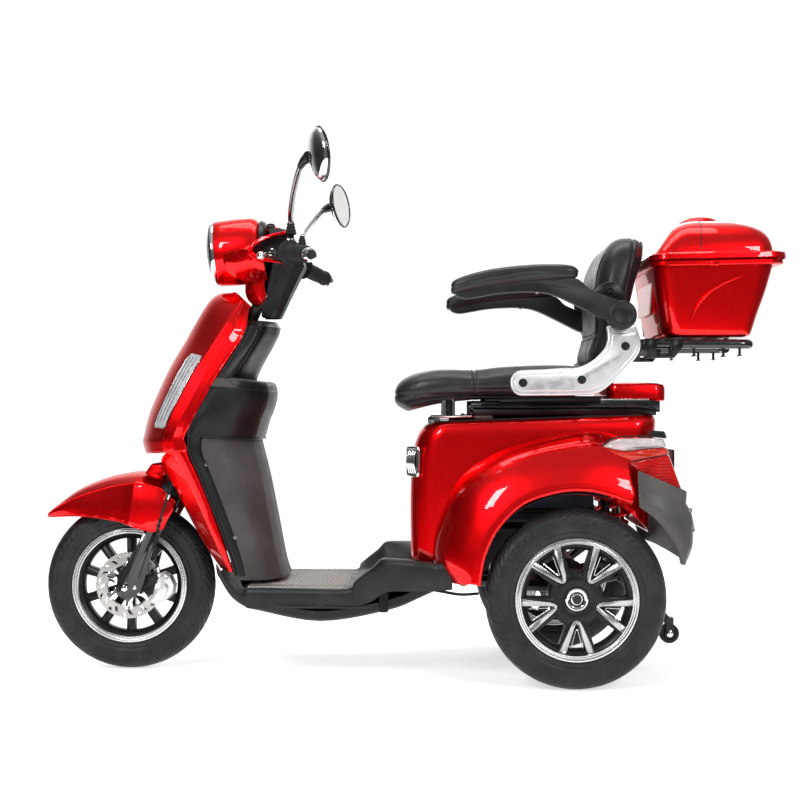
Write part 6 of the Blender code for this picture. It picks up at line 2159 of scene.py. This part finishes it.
# ---------------------------------------------------------------- seat group
def seat_base():
    plate = box_piece("plate", (0.15, -0.175, 0.629), (0.56, 0.175, 0.635), 0.002)
    parts = [paint(plate, "black_steel")]
    rubber_stops = []
    for side in (-1, 1):
        y = 0.15 * side
        for low, high, z_low, z_high in (
            (-0.014, 0.014, 0.62, 0.625), (-0.014, -0.01, 0.62, 0.646), (0.01, 0.014, 0.62, 0.646)
        ):
            add(
                parts, "black_steel",
                box_piece("rail", (0.146, y + low, z_low), (0.584, y + high, z_high), 0.0008)
            )
        add(parts, "machined", box_piece("runner", (0.18, y - 0.008, 0.64), (0.56, y + 0.008, 0.65), 0.001))
        add(
            parts, "machined",
            slab(
                "leaf",
                [
                    (0.052, 0.603), (0.056, 0.611), (0.16, 0.611), (0.16, 0.607), (0.074, 0.605),
                    (0.07, 0.602)
                ],
                y - 0.012, y + 0.012, 0.0008
            )
        )
        add(
            parts, "black_steel",
            box_piece("riser", (0.146, y - 0.012, 0.608), (0.158, y + 0.012, 0.63), 0.001)
        )
        add(parts, "satin_black", rod("post", (0.095, y, 0.611), (0.095, y, 0.6455), 0.0075, 24))
        for x, top in ((0.085, 0.6445), (0.105, 0.647)):
            add(parts, "chrome", rod("post_tube", (x, y, 0.611), (x, y, top), 0.0042, 20))
        add(parts, "chrome", stud("bolt", (0.135, y, 0.611), (0, 0, 1), 0.0048, 0.004))
        add(
            parts, "grey_bumper",
            box_piece("latch", (0.154, y - 0.015, 0.603), (0.196, y + 0.015, 0.613), 0.002)
        )
        foot = [
            (0.0145, 0.0), (0.017, 0.002), (0.015, 0.006), (0.017, 0.01), (0.015, 0.014), (0.012, 0.016)
        ]
        rubber_stops.append(lathe("stop", [(0, 0)] + foot + [(0, 0.016)], (0.517, y, 0.615), (0, 0, 1), 36))
    for low, high in (
        ((0.15, -0.168, 0.612), (0.575, -0.1, 0.629)), ((0.15, 0.1, 0.612), (0.575, 0.168, 0.629)),
        ((0.17, -0.17, 0.635), (0.56, 0.17, 0.6395))
    ):
        add(parts, "satin_black", box_piece("tray", low, high, 0.002))
    place(merged("seat_base", *parts), "seat_lid", "black_steel", replaces=("seat_base_plate",))
    pin_parts = []
    for side in (-1, 1):
        y = 0.15 * side
        add(
            pin_parts, "rubber",
            sweep(
                "cable",
                [
                    (0.03, 0.19 * side, 0.215), (0.075, 0.198 * side, 0.208), (0.12, 0.2 * side, 0.201),
                    (0.162, 0.2 * side, 0.203)
                ],
                0.0034, 10, 6
            )
        )
        add(
            pin_parts, "chrome",
            rod("pin", (0.0616, y - 0.017, 0.6007), (0.0616, y + 0.017, 0.6007), 0.0045, 24)
        )
        bracket = [
            (0.048, 0.588), (0.048, 0.604), (0.056, 0.6085), (0.068, 0.608), (0.076, 0.599), (0.076, 0.588)
        ]
        for edge in (-0.0155, 0.0155):
            add(
                pin_parts, "black_steel", slab("ear", bracket, y + edge - 0.0016, y + edge + 0.0016, 0.0006)
            )
    place(merged("hinge_pins", *pin_parts), "root", "black_steel")
    place(merged("seat_stops", *[paint(s, "rubber") for s in rubber_stops]), "seat_lid", "grip_rubber")
    rings = []
    for z, grow in (
        (0.646, -0.008), (0.6475, -0.001), (0.654, 0.0), (0.678, 0.0), (0.685, -0.003), (0.688, -0.01),
        (0.689, -0.026)
    ):
        rings.append(rounded_ring(0.464 - grow, 0.601 + grow, 0.152 + grow, z, 0.026, 8, -0.01))
    place(
        edged(loft("tail_cover_shell", rings), 0.0008, 50),
        "seat_lid", "red_paint", "red_paint", ("tail_cover",), 32
    )


def pad_shape(name, rings, inset):
    """A closed form through rings of points, shrunk towards its middle line before it is filled out."""
    shrunk = []
    for ring in rings:
        ring = np.asarray(ring, float)
        centre = ring.mean(0)
        reach = np.linalg.norm(ring - centre, axis=1, keepdims=True)
        shrunk.append(centre + (ring - centre) * (1 - inset / np.maximum(reach, inset * 2)))
    return loft(name, shrunk)


def stuffed(obj, pressure, cap, voxel=0.006, frames=20):
    """Swells a pad as a filled cover: remeshed, blown up as cloth, each point's travel capped."""
    remesh = obj.modifiers.new("remesh", "REMESH")
    remesh.mode = "VOXEL"
    remesh.voxel_size = voxel
    graph = bpy.context.evaluated_depsgraph_get()
    mesh = bpy.data.meshes.new_from_object(obj.evaluated_get(graph))
    name = obj.name
    bpy.data.objects.remove(obj)
    result = bpy.data.objects.new(name, mesh)
    SCENE.collection.objects.link(result)
    start = np.array([v.co for v in mesh.vertices])
    cloth = result.modifiers.new("cloth", "CLOTH")
    cloth.settings.use_pressure = True
    cloth.settings.uniform_pressure_force = pressure
    cloth.settings.tension_stiffness = 18
    cloth.settings.bending_stiffness = 1.2
    cloth.settings.effector_weights.gravity = 0
    cloth.collision_settings.use_self_collision = False
    for number in range(1, frames + 1):
        SCENE.frame_set(number)
    graph = bpy.context.evaluated_depsgraph_get()
    moved = result.evaluated_get(graph).to_mesh()
    end = np.array([v.co for v in moved.vertices])
    result.modifiers.clear()
    SCENE.frame_set(1)
    travel = end - start
    length = np.linalg.norm(travel, axis=1, keepdims=True)
    end = start + travel * np.minimum(1, cap / np.maximum(length, 1e-9))
    mesh.vertices.foreach_set("co", end.ravel())
    mesh.update()
    even = result.modifiers.new("even", "SMOOTH")
    even.factor = 0.5
    even.iterations = 3
    finer = result.modifiers.new("finer", "SUBSURF")
    finer.levels = finer.render_levels = 1
    graph = bpy.context.evaluated_depsgraph_get()
    final = bpy.data.meshes.new_from_object(result.evaluated_get(graph))
    bpy.data.objects.remove(result)
    done = bpy.data.objects.new(name, final)
    SCENE.collection.objects.link(done)
    return done


def groove(obj, plane, width, depth, inside):
    """Presses a sewn channel into a pad: plane gives a point's distance from the seam."""
    centre = Vector(inside)
    for vertex in obj.data.vertices:
        distance = plane(vertex.co)
        if distance is not None and abs(distance) < width * 3:
            pull = depth * math.exp(-((distance / width) ** 2))
            towards = centre - vertex.co
            vertex.co += towards.normalized() * pull
    return obj


def nearest_on(obj, point, direction):
    """Where a ray from outside meets a pad's surface."""
    hit, place_hit, normal, _ = obj.ray_cast(Vector(point), Vector(direction).normalized())
    return (place_hit, normal) if hit else (Vector(point), -Vector(direction))


def stitches(name, obj, route, direction, size=0.001, pitch=0.006):
    """A row of thread stitches lying on a pad along a route of points outside it."""
    line = smooth(route, 40)
    parts, travelled, last = [], 0.0, None
    for point in line:
        if last is not None:
            travelled += float(np.linalg.norm(point - last))
        if last is None or travelled >= pitch:
            hit, normal = nearest_on(obj, point, direction)
            parts.append((hit + normal * size * 0.5, normal))
            travelled = 0.0
        last = point
    points, faces = [], []
    for (a, na), (b, _) in zip(parts, parts[1:]):
        run = b - a
        if run.length > pitch * 3 or run.length < 1e-5:
            continue
        along = run.normalized()
        aside = along.cross(na).normalized()
        start, end = a + run * 0.12, a + run * 0.82
        base = len(points)
        for spot, wide in ((start, 0.4), (start + run * 0.1, 1), (end - run * 0.1, 1), (end, 0.4)):
            for k in range(6):
                t = 2 * math.pi * k / 6
                points.append(spot + (aside * math.cos(t) + na * math.sin(t)) * size * wide)
        for ring in range(3):
            for k in range(6):
                faces.append((
                    base + ring * 6 + k, base + ring * 6 + (k + 1) % 6, base + (ring + 1) * 6 + (k + 1) % 6,
                    base + (ring + 1) * 6 + k
                ))
        faces.append(tuple(base + k for k in range(6)))
        faces.append(tuple(base + 18 + k for k in range(6)))
    return outwards(mesh_object(name, points, faces))


def cushion_section(x, low, high, half, dish=0.004):
    """A cross-section of the seat cushion: crowned, with full rounded sides."""
    ring = []
    for a in np.arange(40) * 2 * math.pi / 40:
        c, s = math.cos(a), math.sin(a)
        y = half * math.copysign(abs(c) ** 0.42, c)
        z = (low + high) / 2 + (high - low) / 2 * math.copysign(abs(s) ** 0.62, s)
        if s > 0:
            z -= dish * max(0.0, 1 - (abs(y) / (half * 0.72)) ** 2)
        ring.append((x, y, z))
    return ring


CUSHION = [
    # x, underside, top, half width
    (-0.037, 0.64, 0.664, 0.15), (-0.032, 0.629, 0.679, 0.178), (-0.014, 0.624, 0.694, 0.196),
    (0.02, 0.633, 0.707, 0.21), (0.076, 0.646, 0.7145, 0.218),
    (0.153, 0.6545, 0.7125, 0.22), (0.216, 0.656, 0.72, 0.22), (0.303, 0.656, 0.724, 0.219),
    (0.37, 0.656, 0.7245, 0.216), (0.4, 0.658, 0.722, 0.21), (0.408, 0.668, 0.712, 0.2),
]
BACK = [
    # z, front, rear, half width
    (0.73, 0.423, 0.464, 0.158), (0.74, 0.417, 0.474, 0.174), (0.78, 0.431, 0.49, 0.188),
    (0.821, 0.438, 0.501, 0.198), (0.88, 0.438, 0.516, 0.207), (0.931, 0.439, 0.53, 0.206),
    (0.97, 0.448, 0.544, 0.198), (1.0, 0.461, 0.552, 0.184), (1.02, 0.476, 0.553, 0.16),
    (1.031, 0.492, 0.545, 0.128),
]


def seat_pan():
    parts = [box_piece("pan", (0.212, -0.16, 0.651), (0.428, 0.16, 0.657), 0.002)]
    for side in (-1, 1):
        low, high = sorted((0.1665 * side, 0.1725 * side))
        parts.append(box_piece("skirt", (0.212, low, 0.6415), (0.446, high, 0.657), 0.0014))
    place(merged("seat_pan", *parts), "seat", "black_plastic", "satin_black")
    rails = []
    for side in (-1, 1):
        low, high = sorted((0.125 * side, 0.138 * side))
        rails.append(box_piece("bearer", (0.1, low, 0.59), (0.535, high, 0.6105), 0.0014))
    place(merged("seat_bearers", *rails), "root", "black_plastic", "satin_black")


def seat():
    rings = [cushion_section(*line) for line in CUSHION]
    pad = stuffed(pad_shape("seat_pad", smooth(rings, 3), 0.003), 4.0, 0.0075)
    pad = groove(pad, lambda p: p.x - 0.153, 0.004, 0.006, (0.153, 0, 0.684))
    for offset in (-0.105, 0.105):
        groove(
            pad, lambda p, o=offset: p.y - o if p.x > 0.15 and p.z > 0.69 else None, 0.0036, 0.004,
            (0.27, offset, 0.6)
        )
    groove(
        pad,
        lambda p: p.z - (0.672 if p.x > 0.1 else 0.66) if abs(p.y) > 0.12 or p.x < 0 else None,
        0.003, 0.003, (0.19, 0, 0.672)
    )
    limit(pad, (-0.043, 0.411), (-0.227, 0.227), (0.62, 0.73))
    rows = []
    for shift in (-0.0055, 0.0055):
        rows.append(stitches(
            "row", pad, [(0.153 + shift, y, 0.8) for y in (-0.195, -0.1, 0, 0.1, 0.195)], (0, 0, -1)
        ))
        for offset in (-0.105, 0.105):
            rows.append(stitches(
                "row", pad, [(x, offset + shift, 0.8) for x in (0.165, 0.25, 0.33, 0.395)], (0, 0, -1)
            ))
        for side in (-1, 1):
            rows.append(stitches(
                "row", pad, [(0.153 + shift, 0.3 * side, z) for z in (0.664, 0.68, 0.7)], (0, -side, 0)
            ))
    thread = merged("seat_stitching", *rows)
    place(pad, "seat", "leather", "leather", ("seat_cushion",), 180)
    place(thread, "seat", "leather", "thread")
    base = [
        (-0.004, 0.634), (0.06, 0.648), (0.15, 0.653), (0.4, 0.653), (0.4, 0.656), (0.06, 0.656),
        (0.0, 0.642)
    ]
    rings = [[(x, y, z) for x, z in base] for y in (-0.185, 0.185)]
    place(edged(loft("seat_pan", rings), 0.001), "seat", "black_plastic", "black_plastic")

    rings = []
    for z, front, rear, half in BACK:
        ring = []
        for a in np.arange(40) * 2 * math.pi / 40:
            c, s = math.cos(a), math.sin(a)
            y = half * math.copysign(abs(c) ** 0.45, c)
            x = (front + rear) / 2 + (rear - front) / 2 * math.copysign(abs(s) ** 0.62, s)
            if s < 0:
                x += 0.01 * max(0.0, 1 - (abs(y) / (half * 0.7)) ** 2)
            ring.append((x, y, z))
        rings.append(ring)
    back = stuffed(pad_shape("backrest_pad", smooth(rings, 3), 0.003), 4.0, 0.006)
    for level in (0.8, 0.905):
        groove(
            back, lambda p,
            l=level: p.z - l if p.x < 0.47 and abs(p.y) < 0.15 else None,
            0.004, 0.0045, (0.49, 0, level)
        )
    for offset in (-0.15, 0.15):
        groove(
            back, lambda p, o=offset: p.y - o if p.x < 0.475 and 0.77 < p.z < 0.985 else None, 0.0036,
            0.0045, (0.5, offset, 0.87)
        )
    groove(back, lambda p: p.x - (0.495 + (p.z - 0.88) * 0.22), 0.003, 0.0032, (0.49, 0, 0.88))
    limit(back, (0.412, 0.556), (-0.214, 0.214), (0.724, 1.036))
    rows = []
    for level in (0.8, 0.905):
        for shift in (-0.0055, 0.0055):
            rows.append(stitches(
                "row", back, [(0.3, y, level + shift) for y in (-0.135, -0.07, 0, 0.07, 0.135)], (1, 0, 0)
            ))
    for offset in (-0.15, 0.15):
        for shift in (-0.0055, 0.0055):
            rows.append(stitches(
                "row", back, [(0.3, offset + shift, z) for z in (0.785, 0.85, 0.92, 0.975)], (1, 0, 0)
            ))
    thread = merged("backrest_stitching", *rows)
    place(back, "seat", "leather", "leather", ("seat_backrest",), 180)
    place(thread, "seat", "leather", "thread")
    shell_rows = []
    for z, front, rear, half in BACK[1:-1]:
        shell_rows.append(across([
            (rear - 0.006, -half * 0.78, z), (rear - 0.0005, -half * 0.62, z),
            (rear + 0.0035, -half * 0.3, z), (rear + 0.0045, 0.0, z)
        ]))
    place(
        sheet("backrest_shell", surface(shell_rows, 4, 4), 0.004, (1, 0, 0)),
        "seat", "black_plastic", "black_plastic"
    )


def limit(obj, xs, ys, zs):
    """Keeps every point of a pad inside its space."""
    for vertex in obj.data.vertices:
        vertex.co = (
            min(max(vertex.co.x, xs[0]), xs[1]), min(max(vertex.co.y, ys[0]), ys[1]),
            min(max(vertex.co.z, zs[0]), zs[1])
        )


BRACKET_OUT = [
    (0.34, 0.657), (0.385, 0.658), (0.435, 0.665), (0.482, 0.706), (0.52, 0.75), (0.5262, 0.782),
    (0.514, 0.819)
]
BRACKET_IN = [
    (0.449, 0.814), (0.452, 0.788), (0.444, 0.763), (0.419, 0.737), (0.387, 0.7215), (0.351, 0.7195),
    (0.3, 0.716)
]


def bracket_outline(shrink):
    """Outline of the side bracket, moved inwards by shrink."""
    end = [
        (0.26 + (0.029 - shrink) * math.cos(a), 0.6855 + (0.029 - shrink) * math.sin(a))
        for a in np.radians(np.linspace(92, 262, 15))
    ]
    outer = [
        (x - shrink * 0.35, z + shrink)
        if z < 0.67 else (x - shrink * 0.8, z + shrink * 0.45)
        for x, z in BRACKET_OUT
    ]
    inner = [
        (x + shrink * 0.9, z - shrink * 0.3)
        if z > 0.75 else (x + shrink * 0.3, z - shrink)
        for x, z in BRACKET_IN
    ]
    outer = [tuple(p) for p in smooth(outer, 5)]
    inner = [tuple(p) for p in smooth(inner, 5)]
    if shrink:
        outer, inner = outer[:-3], inner[3:]
    return end + outer + inner


def brackets():
    for name, side in SIDES.items():
        low, high = sorted((0.24 * side, 0.254 * side))
        parts = [paint(slab("plate", bracket_outline(0.0), low, high, 0.0035, 4), "silver_paint")]
        low, high = sorted((0.25 * side, 0.2572 * side))
        add(parts, "silver_paint", slab("raised", bracket_outline(0.009), low, high, 0.0028, 4))
        for x, z in ((0.26, 0.686), (0.393, 0.693), (0.4915, 0.769)):
            add(parts, "satin_black", stud("bolt", (x, 0.2568 * side, z), (0, side, 0), 0.0072, 0.0042))
        place(
            merged("side_bracket_" + name, *parts), "seat", "silver_paint",
            replaces=("seat_bracket_" + name,), angle=50
        )
        ear = loop(
            [
                (0.427, 0.893), (0.436, 0.908), (0.455, 0.915), (0.474, 0.912), (0.484, 0.901),
                (0.49, 0.876), (0.474, 0.866), (0.45, 0.874), (0.433, 0.88)
            ],
            4
        )
        ear_part = slab("ear", ear, 0.242 * side, 0.26 * side, 0.003, 3)
        place(
            merged(
                "armrest_ear_" + name, paint(ear_part, "satin_black"),
                paint(
                    stud("bolt", (0.455, 0.2598 * side, 0.895), (0, side, 0), 0.007, 0.0045), "satin_black"
                )
            ),
            "seat", "black_plastic"
        )
        stays = []
        for z in (0.7, 0.69):
            add(
                stays, "black_steel",
                rod("stay", (0.393, 0.205 * side, z - 0.006), (0.393, 0.24 * side, z - 0.006), 0.005)
            )
        add(
            stays, "black_steel",
            rod("stay", (0.485, 0.15 * side, 0.769), (0.485, 0.24 * side, 0.769), 0.0065)
        )
        add(
            stays, "black_steel",
            rod("stay", (0.26, 0.205 * side, 0.686), (0.26, 0.24 * side, 0.686), 0.005)
        )
        add(
            stays, "black_steel",
            rod("stay", (0.479, 0.24 * side, 0.837), (0.479, 0.26 * side, 0.837), 0.014)
        )
        place(merged("bracket_stays_" + name, *stays), "seat", "black_steel")


ARM_SHELL = [
    (0.106, 0.889), (0.11, 0.88), (0.13, 0.874), (0.164, 0.879), (0.202, 0.8855), (0.25, 0.889),
    (0.2915, 0.8885), (0.3275, 0.882), (0.38, 0.858), (0.435, 0.83), (0.447, 0.826),
]
ARM_TOP = [
    (0.47, 0.8705), (0.435, 0.883), (0.405, 0.896), (0.388, 0.912), (0.37, 0.9195), (0.3095, 0.9195),
    (0.202, 0.9085), (0.13, 0.8925)
]


def armrests():
    pivot = joint_axis("armrest_left_lift")["pos_m"]
    for name, side in SIDES.items():
        body = "armrest_" + name
        centre_y = abs(pivot[1]) * side
        outline = [tuple(p) for p in smooth(ARM_SHELL, 4)] + [tuple(p) for p in smooth(ARM_TOP, 4)]
        rings = []
        for offset in (-0.018, -0.012, 0.012, 0.018):
            rings.append([(x, centre_y + offset, z) for x, z in outline])
        shell = edged(loft("shell", rings), 0.005, 40, 4)
        parts = [paint(shell, "black_plastic")]
        dish = [
            (0, -0.019), (0.029, -0.019), (0.0325, -0.0155), (0.033, -0.012), (0.033, 0.015),
            (0.031, 0.019), (0.025, 0.0205), (0.0205, 0.02), (0.0198, 0.018), (0.019, 0.0172),
            (0.015, 0.0168), (0.01, 0.0158), (0, 0.0154)
        ]
        knuckle = lathe(
            "knuckle", [(r, d) for r, d in dish], (pivot[0], centre_y, pivot[2]), (0, side, 0), 72
        )
        add(parts, "black_plastic", knuckle)
        add(
            parts, "black_plastic",
            sweep(
                "seam",
                [
                    (0.11, centre_y + 0.0181 * side, 0.8865), (0.202, centre_y + 0.0182 * side, 0.8985),
                    (0.3, centre_y + 0.0182 * side, 0.903), (0.356, centre_y + 0.0181 * side, 0.898)
                ],
                0.0009, 8, 6
            )
        )
        for x, z in ((0.15, 0.879), (0.29, 0.8885)):
            add(parts, "dark_chrome", stud("screw", (x, centre_y, z), (0, 0, -1), 0.0042, 0.0028))
        place(
            merged("armrest_shell_" + name, *parts), body, "black_plastic", replaces=("arm_shell_" + name,),
            angle=50
        )
        rings = []
        for x, bottom, top, half in (
            (0.0965, 0.889, 0.904, 0.014), (0.1, 0.882, 0.913, 0.024), (0.113, 0.883, 0.92, 0.029),
            (0.13, 0.888, 0.9265, 0.032), (0.164, 0.897, 0.935, 0.034), (0.202, 0.904, 0.942, 0.035),
            (0.2735, 0.913, 0.9495, 0.036), (0.33, 0.915, 0.951, 0.035), (0.364, 0.916, 0.949, 0.032),
            (0.377, 0.919, 0.943, 0.026), (0.382, 0.925, 0.937, 0.018)
        ):
            ring = []
            for a in np.arange(24) * 2 * math.pi / 24:
                c, s = math.cos(a), math.sin(a)
                ring.append((
                    x,
                    centre_y + half * math.copysign(abs(c) ** 0.6, c),
                    (bottom + top) / 2 + (top - bottom) / 2 * math.copysign(abs(s) ** 0.7, s)
                ))
            rings.append(ring)
        pad = stuffed(pad_shape("armrest_pad_" + name, smooth(rings, 3), 0.0012), 4.0, 0.003, 0.0035, 14)
        groove(
            pad,
            lambda p: p.z - (0.9 + 0.03 * min(1, (p.x - 0.098) / 0.18)),
            0.002, 0.0016, (0.24, centre_y, 0.928)
        )
        limit(pad, (0.094, 0.385), (centre_y - 0.038, centre_y + 0.038), (0.88, 0.954))
        place(pad, body, "leather", "leather", ("arm_pad_" + name,), 180)


# ---------------------------------------------------------------- top box and rack
TUB_LINE = [
    # x low, x high, half width, height, tilt
    (0.615, 0.778, 0.148, 0.7942, 0.0), (0.606, 0.788, 0.158, 0.7945, 0.0),
    (0.598, 0.796, 0.164, 0.7975, 0.002), (0.593, 0.802, 0.168, 0.804, 0.004),
    (0.585, 0.814, 0.176, 0.845, 0.008),
    (0.577, 0.831, 0.184, 0.895, 0.012), (0.571, 0.845, 0.192, 0.946, 0.018),
    (0.5705, 0.847, 0.193, 0.954, 0.02),
]
LID_LINE = [
    (0.5712, 0.848, 0.192, 0.984, 0.02), (0.5752, 0.8475, 0.1915, 0.99, 0.02),
    (0.5838, 0.846, 0.1895, 1.002, 0.018), (0.5942, 0.842, 0.185, 1.0165, 0.015),
    (0.6046, 0.835, 0.177, 1.031, 0.011), (0.616, 0.822, 0.164, 1.045, 0.007),
    (0.631, 0.803, 0.144, 1.057, 0.003), (0.648, 0.78, 0.115, 1.0665, 0.001),
    (0.668, 0.756, 0.078, 1.073, 0.0), (0.69, 0.73, 0.038, 1.0755, 0.0),
]


def top_box():
    rings = smooth([rounded_ring(*line[:4], 0.04, 9, line[4]) for line in TUB_LINE], 4)
    outer = open_shell("tub", rings, 0, 0.0032)
    flange = []
    for grow, z in (
        (0.0, 0.9545), (0.0095, 0.955), (0.012, 0.9575), (0.012, 0.965), (0.01, 0.9672), (0.001, 0.9676),
        (-0.002, 0.966)
    ):
        flange.append(rounded_ring(
            0.5705 - grow * 0.85, 0.847 + grow * 1.9, 0.193 + grow * 0.85, z, 0.042, 9, 0.02
        ))
    flange_part = walled(loft("flange", flange, caps=False), 0.0012)
    parts = [paint(outer, "red_paint"), paint(flange_part, "red_paint")]
    for side in (-1, 1):
        arc_line = [(0.65, 0.825), (0.666, 0.862), (0.694, 0.896), (0.73, 0.918), (0.77, 0.933)]
        line = [(x, (0.1725 + (z - 0.8) * 0.15) * side, z) for x, z in arc_line]
        add(parts, "red_paint", sweep("swage", line, [0.0006, 0.0028, 0.0034, 0.0028, 0.0006], 12, 7))
    groove_x = 0.5755
    add(parts, "red_paint", box_piece("front_pad", (0.5735, -0.12, 0.85), (0.579, 0.12, 0.94), 0.002))
    place(merged("box_tub_shell", *parts), "seat", "red_paint", replaces=("box_tub",), angle=32)
    # Painted shade: black lines on the tub's front stand for the shadow in its grooves.
    seam_parts = []
    for side in (-1, 1):
        line = [(groove_x + (0.94 - z) * 0.13, 0.145 * side, z) for z in (0.808, 0.85, 0.9, 0.94)]
        seam_parts.append(sweep("groove", line, 0.0016, 8, 4))
    place(merged("box_front_groove_shade", *seam_parts), "seat", "black_plastic", "satin_black")

    rings = smooth(
        [rounded_ring(*line[:4], max(0.016, min(0.04, line[2] * 0.3)), 9, line[4]) for line in LID_LINE], 4
    )
    dome = walled(loft("dome", list(rings), caps=False), 0.003)
    skirt = []
    for grow, z in ((-0.001, 0.9845), (0.008, 0.9835), (0.012, 0.981), (0.0125, 0.972), (0.012, 0.9696)):
        skirt.append(rounded_ring(
            0.571 - grow * 0.68, 0.847 + grow * 2.15, 0.193 + grow * 0.85, z, 0.042, 9, 0.02
        ))
    skirt_part = walled(loft("skirt", skirt, caps=False), 0.0025, 1)
    parts = [paint(dome, "red_paint"), paint(skirt_part, "red_paint")]
    bump_rings = []
    for x, half, top in (
        (0.64, 0.04, 1.054), (0.647, 0.054, 1.07), (0.66, 0.058, 1.08), (0.685, 0.06, 1.088),
        (0.715, 0.06, 1.089), (0.737, 0.056, 1.084), (0.745, 0.048, 1.074), (0.748, 0.036, 1.058)
    ):
        bump_rings.append([
            (
                x,
                half * math.copysign(abs(math.sin(a)) ** 0.7, math.sin(a)),
                max(1.044, top - 0.034 * (1 - math.cos(a)) ** 1.5)
            )
            for a in np.linspace(-1.55, 1.55, 25)
        ])
    add(parts, "red_paint", sheet("handle", surface(bump_rings, 5, 1), 0.003, (0, 0, 1)))
    place(merged("box_lid_shell", *parts), "box_lid", "red_paint", replaces=("box_lid",), angle=32)
    seams = []
    for side in (-1, 1):
        line = [
            (0.674, 0.1932, 0.985), (0.6745, 0.1902, 1.002), (0.676, 0.1858, 1.0165),
            (0.678, 0.1778, 1.031), (0.68, 0.1648, 1.045), (0.682, 0.1448, 1.057), (0.684, 0.1158, 1.0665),
            (0.685, 0.078, 1.0728)
        ]
        line = mirrored(line, side)
        seams.append(sweep("seam", line, 0.0011, 8, 7))
    line = [
        (0.679, 0.06 * math.sin(a), 1.0878 - 0.034 * (1 - math.cos(a)) ** 1.5)
        for a in np.linspace(-1.2, 1.2, 13)
    ]
    seams.append(sweep("seam", line, 0.0011, 8, 3))
    place(merged("box_lid_seams", *seams), "box_lid", "black_plastic", "satin_black")
    latch = [
        paint(box_piece("latch", (0.866, -0.03, 0.964), (0.8745, 0.03, 0.986), 0.0028), "satin_black"),
        paint(
            lathe(
                "lock", [(0, 0), (0.008, 0), (0.008, 0.0018), (0.0045, 0.0022), (0, 0.0014)],
                (0.8725, 0, 0.976), (1, 0, 0), 32
            ),
            "chrome"
        ),
    ]
    place(merged("box_latch", *latch), "box_lid", "black_plastic")
    hooks = []
    for side in (-1, 1):
        add(
            hooks, "red_paint",
            box_piece(
                "hook", (0.7 - 0.014, 0.2035 * side - 0.003, 0.956),
                (0.7 + 0.014, 0.2035 * side + 0.003, 0.966), 0.0014
            )
        )
    place(merged("box_side_hooks", *hooks), "seat", "red_paint")


def rack():
    parts = [paint(box_piece("plate", (0.6, -0.15, 0.78), (0.79, 0.15, 0.786), 0.0015), "black_steel")]
    for x in (0.64, 0.695, 0.75):
        add(
            parts, "black_steel",
            box_piece("slat", (x - 0.01, -0.15, 0.786), (x + 0.01, 0.15, 0.789), 0.001)
        )
    for side in (-1, 1):
        y = 0.16 * side
        rail = [
            (0.542, y, 0.7775), (0.65, y, 0.7775), (0.75, y, 0.7775), (0.784, y * 0.99, 0.7775),
            (0.7925, y * 0.92, 0.7775), (0.7945, y * 0.8, 0.7775)
        ]
        add(parts, "gloss_black", sweep("rail", rail, 0.0112, 24, 6))
        end = [(0.606, 0.745), (0.606, 0.79), (0.636, 0.79), (0.636, 0.77), (0.616, 0.745)]
        add(parts, "satin_black", slab("bracket_end", end, y - 0.014, y + 0.014, 0.0016))
        for (x_low, z_low), (x_high, z_high) in (
            ((0.548, 0.745), (0.576, 0.79)), ((0.574, 0.745), (0.608, 0.756)),
            ((0.574, 0.778), (0.608, 0.79))
        ):
            add(
                parts, "satin_black",
                box_piece("bracket", (x_low, y - 0.014, z_low), (x_high, y + 0.014, z_high), 0.0014)
            )
        low, high = sorted((0.15 * side, 0.236 * side))
        add(parts, "satin_black", box_piece("foot", (0.53, low, 0.749), (0.544, high, 0.786), 0.0015))
        add(
            parts, "black_steel",
            box_piece(
                "ear", (0.498, 0.234 * side - 0.0035, 0.748), (0.544, 0.234 * side + 0.0035, 0.776), 0.0012
            )
        )
        add(
            parts, "black_steel",
            box_piece(
                "hanger", (0.495, 0.118 * side - 0.004, 0.74), (0.544, 0.118 * side + 0.004, 0.764), 0.0012
            )
        )
        for x, drop in ((0.664, 0.7485), (0.732, 0.747), (0.77, 0.749)):
            add(
                parts, "black_steel",
                rod("bolt", (x, y * 0.99, 0.769), (x, y * 0.99, drop + 0.002), 0.0032, 16)
            )
            add(
                parts, "dark_chrome",
                lathe(
                    "nut", [(0, 0), (0.006, 0), (0.0072, 0.0016), (0.004, 0.004), (0, 0.004)],
                    (x, y * 0.99, drop), (0, 0, 1), 20
                )
            )
    place(merged("rack_frame", *parts), "seat", "black_steel", replaces=("cargo_rack",))


# ---------------------------------------------------------------- all of it
def build():
    camera_and_light()
    front_wheel()
    for name, side in SIDES.items():
        rear_wheel(name, side)
    fork()
    front_fender()
    handlebar()
    levers_and_mirrors()
    headlight()
    cover_and_key()
    brake_hose()
    front_shield()
    leg_shield()
    floor()
    frame_and_drive()
    rear_body()
    fenders()
    tail()
    seat_base()
    seat_pan()
    seat()
    brackets()
    armrests()
    top_box()
    rack()


build()
